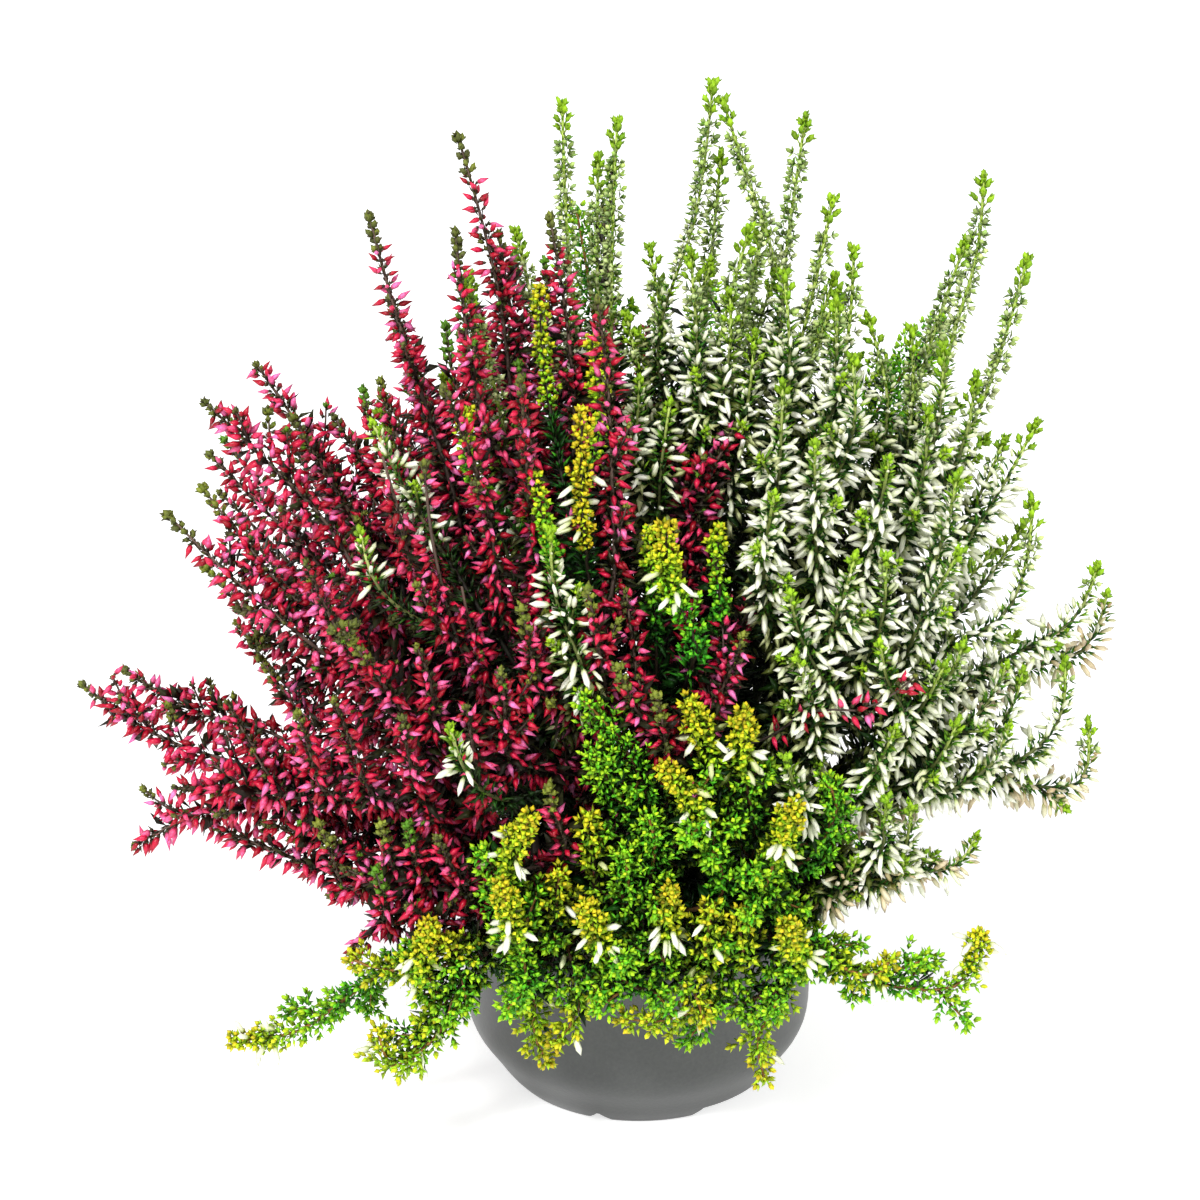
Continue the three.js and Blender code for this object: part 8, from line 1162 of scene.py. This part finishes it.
def grow(index, branch):
    name, stem_scale, stem, shoots = branch
    rng = np.random.default_rng(7000 + index)
    plant = Plant()
    plant.tube_cells = []
    kind = name.split("_")[0]
    # per kind: below what openness the old dark leaves are kept as painted shade, and how soon painted shade darkens
    # bodies inside the plant
    plant.shade_leaf_limit = {"crimson": 0.34, "white": 0.19, "golden": 0.15}[kind]
    plant.shade = {"crimson": 0.095, "white": 0.085, "golden": 0.12}[kind]
    trunk = Path([[*stem[0][:2], SOIL_TOP + 0.3], *stem[1:]] if stem[0][2] < SOIL_TOP + 1 else stem, 2)
    _, X = trunk.along(0, trunk.length, 6)
    plant.tube(X, np.linspace(1.65, 1.15, len(X)) * stem_scale * (1 + 0.06 * rng.normal(size=len(X))), 6, 0.2, rng.random(), 1.0)
    old_wood(plant, rng, trunk, trunk.length, 0.08)
    inside(plant, rng, trunk, 2, trunk.length)
    for at, scale, top, sparse, olive, tan, style, pts in shoots:
        path = Path(pts, 1.5)
        _, X = path.along(0, path.length - 0.8, 7)
        u = np.linspace(0, 1, len(X))
        thick = {"crimson": (1.05, 0.42), "white": (0.9, 0.48), "golden": (1.0, 0.4)}[kind]
        bare = (path.length - max(top, 8)) / path.length
        plant.tube(X, (thick[0] + (thick[1] - thick[0]) * u ** 0.8) * min(1.0, scale + 0.1), 5 if kind == "white" else 4, {"crimson": 0.12, "white": 0.5, "golden": 0.9}[kind], rng.random(), (bare + 2.0 if sparse < 0 else bare) if kind == "white" else -1.6 if style in ("short", "stub", "nib", "slim", "thin") else 0.35)
        if kind == "crimson":
            full = 1.17 if path.at(path.length)[1][2] < 0.62 else 1.05 if path.at(path.length)[1][2] < 0.85 else 1.0
            start, low = crimson_shoot(plant, rng, path, top, sparse, olive, scale, full)
            # low, spreading shoots carry more side shoots than upright ones
            spreading = path.at(path.length)[1][2] < 0.62 or name in BUSHY
            s = start - (rng.uniform(14, 20) if spreading else rng.uniform(34, 46))
            while s > max(12, low):
                crimson_lateral(plant, rng, path, s, rng.uniform(11, 18), 0.4 if spreading else 0.12)
                s -= rng.uniform(7, 10.5) if spreading else rng.uniform(15, 24)
        elif kind == "white":
            start, low = white_shoot(plant, rng, path, top, sparse, olive, tan, scale)
            s = start - rng.uniform(20, 28)
            while s > max(12, low):
                white_lateral(plant, rng, path, s, rng.uniform(9, 16), tan)
                s -= rng.uniform(14, 22)
        else:
            low = golden_spike(plant, rng, path, style)
            if style in ("gold", "frond", "leafy", "tail", "lime"):
                s = path.length - rng.uniform(26, 34)
                while s > 8:
                    plume(plant, rng, path, s, rng.uniform(11, 19), rng.uniform(-0.1, 0.3))
                    s -= rng.uniform(8, 12)
        old_wood(plant, rng, path, low, 0.1 if kind != "golden" else 0.3)
        if style in ("thin", "slim") or sparse < 0:
            old_wood(plant, rng, path, low, 0.14)
            old_wood(plant, rng, path, low, 0.06)
        inside(plant, rng, path, 4, path.length - 14, 1.35 if kind == "crimson" and path.at(path.length)[1][2] < 0.8 else 1.0)
    for owner, pts in SIDE_SHOOTS:
        if owner == name:
            path = Path(pts, 1.5)
            _, X = path.along(0, path.length - 0.8, 7)
            plant.tube(X, np.linspace(0.7, 0.4, len(X)), 4, 0.12, rng.random(), 0.35)
            low = crimson_tip(plant, rng, path, 0.34, 0.85, 2)
            pressed(plant, rng, path, 8, low, 2.0, 0.1, 2.4, 0.95, 0.45)
            crimson_flowers(plant, rng, path, low + 1, 8, 0, 0.12)
    if name == STRAY[0]:
        path = Path(STRAY[1], 1.5)
        _, X = path.along(0, path.length - 0.8, 7)
        plant.tube(X, np.linspace(0.45, 0.3, len(X)), 4, 0.12, 0.0, 0.0)
        low = crimson_tip(plant, rng, path, 0.34, 0.6, 1)
        for back in (1, 3, 4, 6, 14, 16, 17, 19, 21, 24, 33, 35, 36, 38, 46, 48):
            for k in (0, 1):
                crimson_node(plant, rng, path, low - back, 1.1 + 2.4 * back + math.pi * k, 0.98, 30, 0.3, 1.4, 0.12)
    for owner, at, way in KNOTS:
        if owner == name:
            at, way = np.array(at), unit(way)
            for turn in (-0.5, 0.0, 0.5):
                way_ = unit(way + turn * np.array([1.0, 0.4, 0.0]))
                path = Path([at - way * 2, at + way_ * 4, at + way_ * 8.5], 1.0)
                crimson_tip(plant, rng, path, 0.28, 1.2, 3)
    clear(plant, name)
    return plant


# ---- materials ---------------------------------------------------------------------
def srgb(r, g, b):
    f = lambda c: c / 255 / 12.92 if c / 255 <= 0.04045 else ((c / 255 + 0.055) / 1.055) ** 2.4
    return (f(r), f(g), f(b), 1.0)


class Nodes:
    def __init__(self, name):
        self.mat = bpy.data.materials.new(name)
        self.mat.use_nodes = True
        self.nt = self.mat.node_tree
        self.p = self.nt.nodes["Principled BSDF"] if "Principled BSDF" in self.nt.nodes else self.nt.nodes.new("ShaderNodeBsdfPrincipled")

    def new(self, kind, **values):
        n = self.nt.nodes.new(kind)
        for k, v in values.items():
            setattr(n, k, v)
        return n

    def link(self, a, b):
        self.nt.links.new(a, b)

    def attribute(self, name):
        return self.new("ShaderNodeAttribute", attribute_name=name).outputs["Fac"]

    def ramp(self, fac, stops, mode="LINEAR"):
        n = self.new("ShaderNodeValToRGB")
        n.color_ramp.interpolation = mode
        e = n.color_ramp.elements
        while len(e) > 1:
            e.remove(e[-1])
        e[0].position, e[0].color = stops[0]
        for pos, col in stops[1:]:
            x = e.new(pos)
            x.color = col
        self.link(fac, n.inputs["Fac"])
        return n.outputs["Color"]

    def math(self, op, a, b=None, c=None, clamp=False):
        n = self.new("ShaderNodeMath", operation=op, use_clamp=clamp)
        for i, v in enumerate((a, b, c)):
            if v is None:
                continue
            if isinstance(v, (int, float)):
                n.inputs[i].default_value = v
            else:
                self.link(v, n.inputs[i])
        return n.outputs[0]

    def mix(self, fac, a, b, mode="MIX"):
        n = self.new("ShaderNodeMix", data_type="RGBA", blend_type=mode)
        for socket, v in ((n.inputs[0], fac), (n.inputs[6], a), (n.inputs[7], b)):
            if isinstance(v, (int, float, tuple)):
                socket.default_value = v
            else:
                self.link(v, socket)
        return n.outputs[2]

    def noise(self, scale, detail=2.0, coords=None, rough=0.5):
        n = self.new("ShaderNodeTexNoise")
        n.inputs["Scale"].default_value = scale
        n.inputs["Detail"].default_value = detail
        n.inputs["Roughness"].default_value = rough
        tc = self.new("ShaderNodeTexCoord")
        self.link(coords or tc.outputs["Object"], n.inputs["Vector"])
        return n.outputs["Fac"]

    def bump(self, height, strength, distance):
        n = self.new("ShaderNodeBump")
        n.inputs["Strength"].default_value = strength
        n.inputs["Distance"].default_value = distance
        self.link(height, n.inputs["Height"])
        self.link(n.outputs["Normal"], self.p.inputs["Normal"])


def grey_of(m, value):
    grey = m.new("ShaderNodeCombineColor")
    for i in range(3):
        m.link(value, grey.inputs[i])
    return grey.outputs[0]


def leaf_material(name, stops, pale, buried, rough=0.5, contrast=0.5):
    """Scale leaves: their colour by hue, paler ones by mix, and painted shade that darkens them far inside the plant.
    """
    m = Nodes(name)
    hue, tone, along, mix, shade_amount = (m.attribute(k) for k in ("hue", "tone", "along", "mix", "shade_amount"))
    mottle = m.noise(900, 2)
    h = m.math("ADD", hue, m.math("MULTIPLY", m.math("SUBTRACT", mottle, 0.5), 0.2))
    col = m.ramp(h, stops)
    col = m.mix(mix, col, pale)
    light = m.math("MULTIPLY_ADD", tone, 0.8, 0.58)
    light = m.math("MULTIPLY", light, m.math("MULTIPLY_ADD", along, contrast, 1.0 - 0.52 * contrast))
    col = m.mix(1.0, col, grey_of(m, light), "MULTIPLY")
    # painted shade: darker, towards the near-black shade colour, far inside the plant
    col = m.mix(m.math("MULTIPLY", shade_amount, 0.92), col, buried)
    m.link(col, m.p.inputs["Base Color"])
    m.link(m.math("MULTIPLY_ADD", mottle, 0.25, rough - 0.12), m.p.inputs["Roughness"])
    m.p.inputs["Specular IOR Level"].default_value = 0.24
    m.bump(mottle, 0.35, 0.0004)
    return m.mat


def stem_material(name, stops, buried, flowered=None):
    """Bark. Where a shoot flowers, below its unopened top, the stem can have a colour of its own: mix is where the top begins."""
    m = Nodes(name)
    tone, mix, shade_amount, along = (m.attribute(k) for k in ("tone", "mix", "shade_amount", "along"))
    grain = m.noise(420, 4)
    col = m.ramp(m.math("ADD", m.math("MULTIPLY", grain, 0.7), m.math("MULTIPLY", mix, 0.3)), stops)
    col = m.mix(1.0, col, grey_of(m, m.math("MULTIPLY_ADD", tone, 0.4, 0.8)), "MULTIPLY")
    if flowered:
        # 2 more marks a shoot of bare dark wood below its flowers
        dark = m.math("SUBTRACT", mix, 1.5)
        dark = m.math("MULTIPLY", dark, 10.0, clamp=True)
        mix = m.math("MULTIPLY_ADD", dark, -2.0, mix)
        low = m.math("MULTIPLY_ADD", m.math("SUBTRACT", mix, along), 9.0, 0.3, clamp=True)
        col = m.mix(m.math("MULTIPLY", low, 0.8), col, flowered)
        foot = m.math("MULTIPLY_ADD", along, -6.0, 4.2, clamp=True)
        col = m.mix(m.math("MULTIPLY", dark, foot), col, srgb(38, 26, 20))
    # painted shade, partly: far inside the plant and towards each stem's foot the stem darkens to the same near-black
    # shade colour; a stem's old lower part is also darker in truth
    wood = m.math("MULTIPLY_ADD", along, -1.7, 1.35, clamp=True)
    col = m.mix(m.math("MAXIMUM", m.math("MULTIPLY", shade_amount, 0.92), m.math("MULTIPLY", wood, 0.8)), col, buried)
    m.link(col, m.p.inputs["Base Color"])
    m.link(m.math("MULTIPLY_ADD", grain, 0.3, 0.5), m.p.inputs["Roughness"])
    m.bump(grain, 0.6, 0.0006)
    return m.mat


def crimson_bud_material():
    m = Nodes("crimson_buds")
    tone, along, shade_amount = m.attribute("tone"), m.attribute("along"), m.attribute("shade_amount")
    streak = m.noise(1400, 2)
    t = m.math("ADD", tone, m.math("MULTIPLY", m.math("SUBTRACT", streak, 0.5), 0.55))
    col = m.ramp(t, [(0.0, srgb(140, 0, 20)), (0.28, srgb(186, 6, 44)), (0.58, srgb(218, 26, 74)), (0.8, srgb(242, 82, 132)), (1.0, srgb(242, 128, 194))])
    # darker at the foot, and at the very tip
    shade = m.ramp(along, [(0.0, srgb(120, 60, 70)), (0.14, srgb(214, 186, 190)), (0.4, srgb(255, 255, 255)), (0.85, srgb(250, 236, 240)), (1.0, srgb(196, 150, 160))])
    col = m.mix(1.0, col, shade, "MULTIPLY")
    # painted shade: darker red far inside the plant
    m.link(m.mix(m.math("MULTIPLY", shade_amount, 0.78), col, srgb(44, 4, 12)), m.p.inputs["Base Color"])
    m.link(m.math("MULTIPLY_ADD", streak, 0.2, 0.3), m.p.inputs["Roughness"])
    m.p.inputs["Specular IOR Level"].default_value = 0.42
    m.bump(streak, 0.25, 0.0003)
    return m.mat


def white_bud_material():
    m = Nodes("white_buds")
    tone, along, green, tan, shade_amount = (m.attribute(k) for k in ("tone", "along", "hue", "mix", "shade_amount"))
    streak = m.noise(1300, 2)
    t = m.math("ADD", tone, m.math("MULTIPLY", m.math("SUBTRACT", streak, 0.5), 0.6))
    white = m.ramp(t, [(0.0, srgb(226, 230, 206)), (0.4, srgb(242, 244, 230)), (1.0, srgb(253, 253, 248))])
    foot = m.ramp(along, [(0.0, srgb(120, 142, 56)), (0.14, srgb(196, 208, 140)), (0.4, srgb(252, 253, 240)), (1.0, srgb(255, 255, 248))])
    col = m.mix(1.0, white, foot, "MULTIPLY")
    young = m.ramp(t, [(0.0, srgb(128, 146, 60)), (0.6, srgb(196, 206, 134)), (1.0, srgb(222, 226, 172))])
    col = m.mix(green, col, young)
    old = m.ramp(along, [(0.0, srgb(176, 134, 80)), (0.6, srgb(218, 194, 146)), (1.0, srgb(136, 86, 42))])
    col = m.mix(m.math("MULTIPLY", tan, m.math("MULTIPLY_ADD", tone, 0.6, 0.3), clamp=True), col, old)
    # warmer and greener in the shade of the others
    shade = m.ramp(shade_amount, [(0.0, srgb(255, 255, 255)), (0.3, srgb(226, 230, 182)), (0.65, srgb(122, 134, 66)), (1.0, srgb(40, 50, 14))])
    m.link(m.mix(1.0, col, shade, "MULTIPLY"), m.p.inputs["Base Color"])
    m.link(m.math("MULTIPLY_ADD", streak, 0.2, 0.32), m.p.inputs["Roughness"])
    m.p.inputs["Specular IOR Level"].default_value = 0.4
    m.bump(streak, 0.2, 0.0003)
    return m.mat


CRIMSON_GREENS = [
    (0.0, srgb(60, 46, 36)), (0.14, srgb(66, 62, 38)), (0.28, srgb(82, 90, 36)), (0.42, srgb(116, 124, 40)), (0.55, srgb(76, 110, 26)),
    (0.7, srgb(76, 124, 24)), (1.0, srgb(110, 166, 36)),
]
WHITE_GREENS = [
    (0.0, srgb(32, 42, 10)), (0.2, srgb(34, 86, 14)), (0.38, srgb(74, 124, 20)), (0.52, srgb(114, 152, 24)), (0.66, srgb(136, 174, 28)),
    (0.82, srgb(160, 192, 40)), (1.0, srgb(196, 214, 92)),
]
GOLDEN_GREENS = [
    (0.0, srgb(14, 54, 8)), (0.22, srgb(28, 106, 14)), (0.4, srgb(66, 160, 22)), (0.56, srgb(118, 188, 28)), (0.72, srgb(160, 196, 28)),
    (0.86, srgb(184, 190, 28)), (1.0, srgb(190, 166, 26)),
]
white_buds = white_bud_material()
# The near-black colour passed to each leaf and stem material is its painted shade far inside the plant.
materials = {
    "crimson": [
        stem_material("crimson_heather_stem", [(0.0, srgb(52, 38, 32)), (0.5, srgb(94, 74, 62)), (1.0, srgb(138, 118, 98))], srgb(18, 12, 9)),
        leaf_material("crimson_heather_leaf", CRIMSON_GREENS, srgb(190, 190, 130), srgb(12, 12, 6), contrast=0.7),
        crimson_bud_material(),
    ],
    "white": [
        stem_material("white_heather_stem", [(0.0, srgb(104, 128, 44)), (0.5, srgb(160, 184, 76)), (1.0, srgb(206, 220, 124))], srgb(18, 22, 8), srgb(54, 56, 24)),
        leaf_material("white_heather_leaf", WHITE_GREENS, srgb(232, 236, 180), srgb(10, 16, 6), contrast=0.6),
        white_buds,
    ],
    "golden": [
        stem_material("golden_heather_stem", [(0.0, srgb(50, 38, 20)), (0.08, srgb(104, 66, 30)), (0.5, srgb(166, 112, 46)), (1.0, srgb(200, 156, 76))], srgb(18, 14, 7)),
        leaf_material("golden_heather_leaf", GOLDEN_GREENS, srgb(232, 226, 120), srgb(8, 18, 5), contrast=0.8),
        white_buds,
    ],
}


def bowl_material():
    m = Nodes("grey_bowl_plastic")
    fine, coarse = m.noise(900, 3), m.noise(28, 5, rough=0.6)
    scuff = m.noise(130, 6, rough=0.7)
    col = m.ramp(m.math("ADD", m.math("MULTIPLY", fine, 0.35), m.math("MULTIPLY", coarse, 0.65)), [(0.25, srgb(62, 64, 64)), (0.5, srgb(73, 75, 74)), (0.75, srgb(84, 86, 84))])
    spots = m.ramp(scuff, [(0.0, (0, 0, 0, 1)), (0.66, (0, 0, 0, 1)), (0.74, (1, 1, 1, 1))])
    col = m.mix(m.math("MULTIPLY", spots, 0.12), col, srgb(150, 150, 148))
    # painted shade: darker towards the foot, strongly in the lowest millimetres, as a shadow where it stands on the
    # floor
    height = m.new("ShaderNodeSeparateXYZ")
    m.link(m.new("ShaderNodeTexCoord").outputs["Object"], height.inputs[0])
    foot = m.ramp(m.math("MULTIPLY", height.outputs["Z"], 25.0), [(0.0, srgb(60, 60, 60)), (0.03, srgb(110, 110, 110)), (0.07, srgb(196, 196, 196)), (0.25, srgb(216, 216, 216)), (0.6, srgb(240, 240, 240)), (1.0, srgb(255, 255, 255))])
    col = m.mix(1.0, col, foot, "MULTIPLY")
    m.link(col, m.p.inputs["Base Color"])
    m.link(m.math("MULTIPLY_ADD", coarse, 0.2, 0.28), m.p.inputs["Roughness"])
    m.p.inputs["Specular IOR Level"].default_value = 0.45
    m.bump(m.math("ADD", fine, m.math("MULTIPLY", scuff, 0.5)), 0.12, 0.0004)
    return m.mat


def soil_material():
    m = Nodes("potting_soil_peat")
    a, b = m.noise(300, 6, rough=0.7), m.noise(60, 3)
    col = m.ramp(m.math("ADD", m.math("MULTIPLY", a, 0.6), m.math("MULTIPLY", b, 0.4)), [(0.3, srgb(24, 16, 10)), (0.5, srgb(48, 33, 21)), (0.7, srgb(84, 60, 38))])
    m.link(col, m.p.inputs["Base Color"])
    m.p.inputs["Roughness"].default_value = 0.95
    m.bump(a, 0.8, 0.001)
    return m.mat


# ---- the bowl ------------------------------------------------------------------------
BOWL_PROFILE = [
    (0, 4.6), (36.9, 4.6), (38.2, 3.2), (39.2, 0.5), (39.6, 0.05), (41.9, 0.05), (42.6, 0.4), (43.6, 1.4), (45.2, 3.2), (47.2, 5.9), (48.8, 8.4), (50.2, 10.4),
    (51.6, 12.4), (53.0, 14.4), (54.2, 16.3), (55.3, 18.6), (56.1, 20.8), (56.6, 23.2), (56.9, 26), (57.1, 34), (57.3, 44), (57.5, 56), (57.9, 57.0), (58.7, 57.6),
    (59.15, 58.3), (59.2, 60.2), (58.9, 61.2), (58.2, 61.8), (57.4, 62), (56.6, 61.8), (55.9, 61.2), (55.6, 60.4), (55.4, 52), (55.1, 40), (54.85, 27), (54.5, 24), (54, 21.6), (53.2, 19.4),
    (52.3, 17.7), (51.0, 15.6), (49.6, 13.7), (48.0, 11.6), (46.2, 9.4), (44.2, 7.6), (42, 6.8), (40, 6.6), (0, 6.6),
]
NOTCHES = [(-17, 12.0, 1.2, 3.7), (163, 12.0, 1.2, 3.7), (48, 49.0, 41.0, 4.2), (228, 49.0, 41.0, 4.2)]
DRAINS = 4


def lathe(name, profile, segments):
    V, F, rings = [], [], []
    for r, z in profile:
        if r == 0:
            rings.append([len(V)])
            V.append((AXIS[0], AXIS[1], z))
        else:
            rings.append(list(range(len(V), len(V) + segments)))
            for k in range(segments):
                a = 2 * math.pi * k / segments
                V.append((AXIS[0] + r * math.cos(a), AXIS[1] + r * math.sin(a), z))
    for lo, hi in zip(rings, rings[1:]):
        for k in range(segments):
            j = (k + 1) % segments
            if len(lo) == 1:
                F.append((lo[0], hi[j], hi[k]))
            elif len(hi) == 1:
                F.append((lo[k], lo[j], hi[0]))
            else:
                F.append((lo[k], lo[j], hi[j]))
                F.append((lo[k], hi[j], hi[k]))
    return make_mesh(name, np.array(V, float) * 0.001, F)


def cut(ob, cutters):
    for c in cutters:
        mod = ob.modifiers.new("cut", "BOOLEAN")
        mod.operation, mod.solver, mod.object = "DIFFERENCE", "EXACT", c
    deps = bpy.context.evaluated_depsgraph_get()
    me = bpy.data.meshes.new_from_object(ob.evaluated_get(deps))
    ob.modifiers.clear()
    old, ob.data = ob.data, me
    bpy.data.meshes.remove(old)
    for c in cutters:
        bpy.data.objects.remove(c)


def notch_cutter(at, bottom, top, height):
    steps = 12
    V, F = [], []
    for i in range(steps + 1):
        u = i / steps - 0.5
        for r, z, width in ((34, -1, bottom + (bottom - top) / height), (49, -1, bottom + (bottom - top) / height), (49, height, top), (34, height, top)):
            a = math.radians(at + u * width)
            V.append((AXIS[0] + r * math.sin(a), AXIS[1] - r * math.cos(a), z))
    for i in range(steps):
        for k in range(4):
            a, b = i * 4 + k, i * 4 + (k + 1) % 4
            F += [(a, a + 4, b), (b, a + 4, b + 4)]
    F += [(0, 1, 2), (0, 2, 3)]
    e = steps * 4
    F += [(e, e + 2, e + 1), (e, e + 3, e + 2)]
    return make_mesh("cutter", np.array(V, float) * 0.001, F, smooth=False)


def make_bowl():
    ob = lathe("grey_bowl", BOWL_PROFILE, 120)
    cutters = [notch_cutter(*n) for n in NOTCHES]
    for i in range(DRAINS):
        a = 2 * math.pi * (i + 0.5) / DRAINS
        c = [AXIS[0] + 21 * math.cos(a), AXIS[1] + 21 * math.sin(a)]
        V = [(c[0] + 3.2 * math.cos(t), c[1] + 3.2 * math.sin(t), z) for z in (1, 9) for t in (2 * math.pi * k / 24 for k in range(24))]
        F = [f for k in range(24) for f in ((k, (k + 1) % 24, 24 + (k + 1) % 24), (k, 24 + (k + 1) % 24, 24 + k))]
        F += [(0, k + 1, k) for k in range(1, 23)] + [(24, 24 + k, 24 + k + 1) for k in range(1, 23)]
        cutters.append(make_mesh("cutter", np.array(V, float) * 0.001, F, smooth=False))
    cut(ob, cutters)
    me = ob.data
    me.polygons.foreach_set("use_smooth", np.ones(len(me.polygons), bool))
    me.set_sharp_from_angle(angle=math.radians(38))
    me.materials.clear()
    me.materials.append(bowl_material())
    return ob


def make_soil():
    rng = np.random.default_rng(51)
    profile = [(0, 7.0), (41.2, 7.0), (45.8, 9.8), (49.1, 14), (51.8, 18.1), (53.5, 22), (54.3, 26.8), (54.8, 40), (54.9, 54.2), (54.4, 55.0)]
    rings = [52, 48, 43, 38, 33, 28, 23, 18, 13, 8, 4]
    ob = lathe("potting_soil_plug", profile + [(r, 55.4) for r in rings] + [(0, 55.4)], 72)
    me = ob.data
    co = np.zeros(len(me.vertices) * 3, np.float32)
    me.vertices.foreach_get("co", co)
    co = co.reshape(-1, 3)
    inside = (co[:, 2] > 0.0553) & (np.hypot(co[:, 0] - AXIS[0] / 1000, co[:, 1] - AXIS[1] / 1000) < 0.0535)
    co[inside, 2] += (rng.normal(0, 0.35, inside.sum()) * 0.001).clip(-0.0009, 0.0006)
    me.vertices.foreach_set("co", co.ravel())
    me.materials.append(soil_material())
    # crumbs lying on it
    t = (1 + 5 ** 0.5) / 2
    ico = unit(np.array([(-1, t, 0), (1, t, 0), (-1, -t, 0), (1, -t, 0), (0, -1, t), (0, 1, t), (0, -1, -t), (0, 1, -t), (t, 0, -1), (t, 0, 1), (-t, 0, -1), (-t, 0, 1)], float))
    tri = np.array([(0, 11, 5), (0, 5, 1), (0, 1, 7), (0, 7, 10), (0, 10, 11), (1, 5, 9), (5, 11, 4), (11, 10, 2), (10, 7, 6), (7, 1, 8), (3, 9, 4), (3, 4, 2), (3, 2, 6), (3, 6, 8), (3, 8, 9), (4, 9, 5), (2, 4, 11), (6, 2, 10), (8, 6, 7), (9, 8, 1)])
    V, F = [], []
    for i in range(420):
        r, a = 53 * math.sqrt(rng.random()), rng.uniform(0, 2 * math.pi)
        s = rng.uniform(0.5, 1.5) * np.array([1, rng.uniform(0.6, 1.2), rng.uniform(0.5, 0.9)])
        V.append(ico * rng.uniform(0.75, 1.2, (12, 1)) * s + [AXIS[0] + r * math.cos(a), AXIS[1] + r * math.sin(a), 55.7])
        F.append(tri + 12 * i)
    crumbs = make_mesh("soil_crumbs", np.concatenate(V) * 0.001, np.concatenate(F), smooth=False)
    crumbs.data.materials.append(me.materials[0])
    return ob, crumbs


# ---- the object ------------------------------------------------------------------------
bowl = make_bowl()
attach(bowl, "root")
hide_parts("bowl_pot")
soil, crumbs = make_soil()
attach(soil, "root")
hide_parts("potting_soil")
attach(crumbs, "root")

plants = [grow(index, branch) for index, branch in enumerate(BRANCHES)]
depth = Depth(np.array(cad_low) * 1000 - 12, np.array(cad_high) * 1000 + 12)
for plant in plants:
    plant.fill(depth)
# the bowl and its soil let nothing through
grid = np.stack(np.meshgrid(*(np.arange(n) for n in depth.shape), indexing="ij"), -1).reshape(-1, 3)
place = depth.low + (grid + 0.5) * Depth.CELL
solid = (np.hypot(place[:, 0] - AXIS[0], place[:, 1] - AXIS[1]) < 56) & (place[:, 2] < SOIL_TOP)
depth.tau.reshape(-1)[solid] = 20.0
depth.solve()

total = 0
for branch, plant in zip(BRANCHES, plants):
    ob = plant.mesh(branch[0] + "_shoots", depth)
    for m in materials[branch[0].split("_")[0]]:
        ob.data.materials.append(m)
    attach(ob, "root")
    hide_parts(branch[0])
    branch[0].split("_")[0] + "_shoots"
    total += len(ob.data.polygons)
print("triangles on the branches", total)

# ---- stage, light and camera -------------------------------------------------------------
floor = make_mesh("floor", np.array([(-9, -9, 0), (9, -9, 0), (9, 9, 0), (-9, 9, 0)], float), [(0, 1, 2, 3)], smooth=False)
m = Nodes("pale_floor")
m.p.inputs["Base Color"].default_value = (0.66, 0.66, 0.66, 1)
m.p.inputs["Roughness"].default_value = 0.9
m.p.inputs["Specular IOR Level"].default_value = 0.1
m.p.inputs["Emission Color"].default_value = (1, 1, 1, 1)
m.p.inputs["Emission Strength"].default_value = 0.7
floor.data.materials.append(m.mat)

scene = bpy.context.scene
world = bpy.data.worlds.new("studio")
scene.world = world
world.use_nodes = True
back = world.node_tree.nodes["Background"]
back.inputs["Color"].default_value = (1, 1, 1, 1)
back.inputs["Strength"].default_value = 0.58


def sun(name, towards, spread, power):
    light = bpy.data.lights.new(name, "SUN")
    light.angle, light.energy = math.radians(spread), power
    ob = bpy.data.objects.new(name, light)
    d = unit(np.array(towards, float))
    ob.rotation_euler = (math.atan2(math.hypot(d[0], d[1]), -d[2]), 0, math.atan2(d[1], d[0]) - math.pi / 2)
    scene.collection.objects.link(ob)


sun("key", (0.4, 0.98, -1.15), 11, 2.75)
sun("fill", (-0.9, 0.9, -0.7), 40, 0.75)

cam = bpy.data.cameras.new("camera")
cam.sensor_width, cam.lens = 36.0, 112.5
cam.clip_start, cam.clip_end = 0.05, 40
camera = bpy.data.objects.new("camera", cam)
camera.location = (0.00139, -1.11671, 0.61593)
camera.rotation_euler = (math.radians(68), 0, 0)
scene.collection.objects.link(camera)
scene.camera = camera
scene.view_settings.view_transform = "Standard"
scene.view_settings.look = "None"
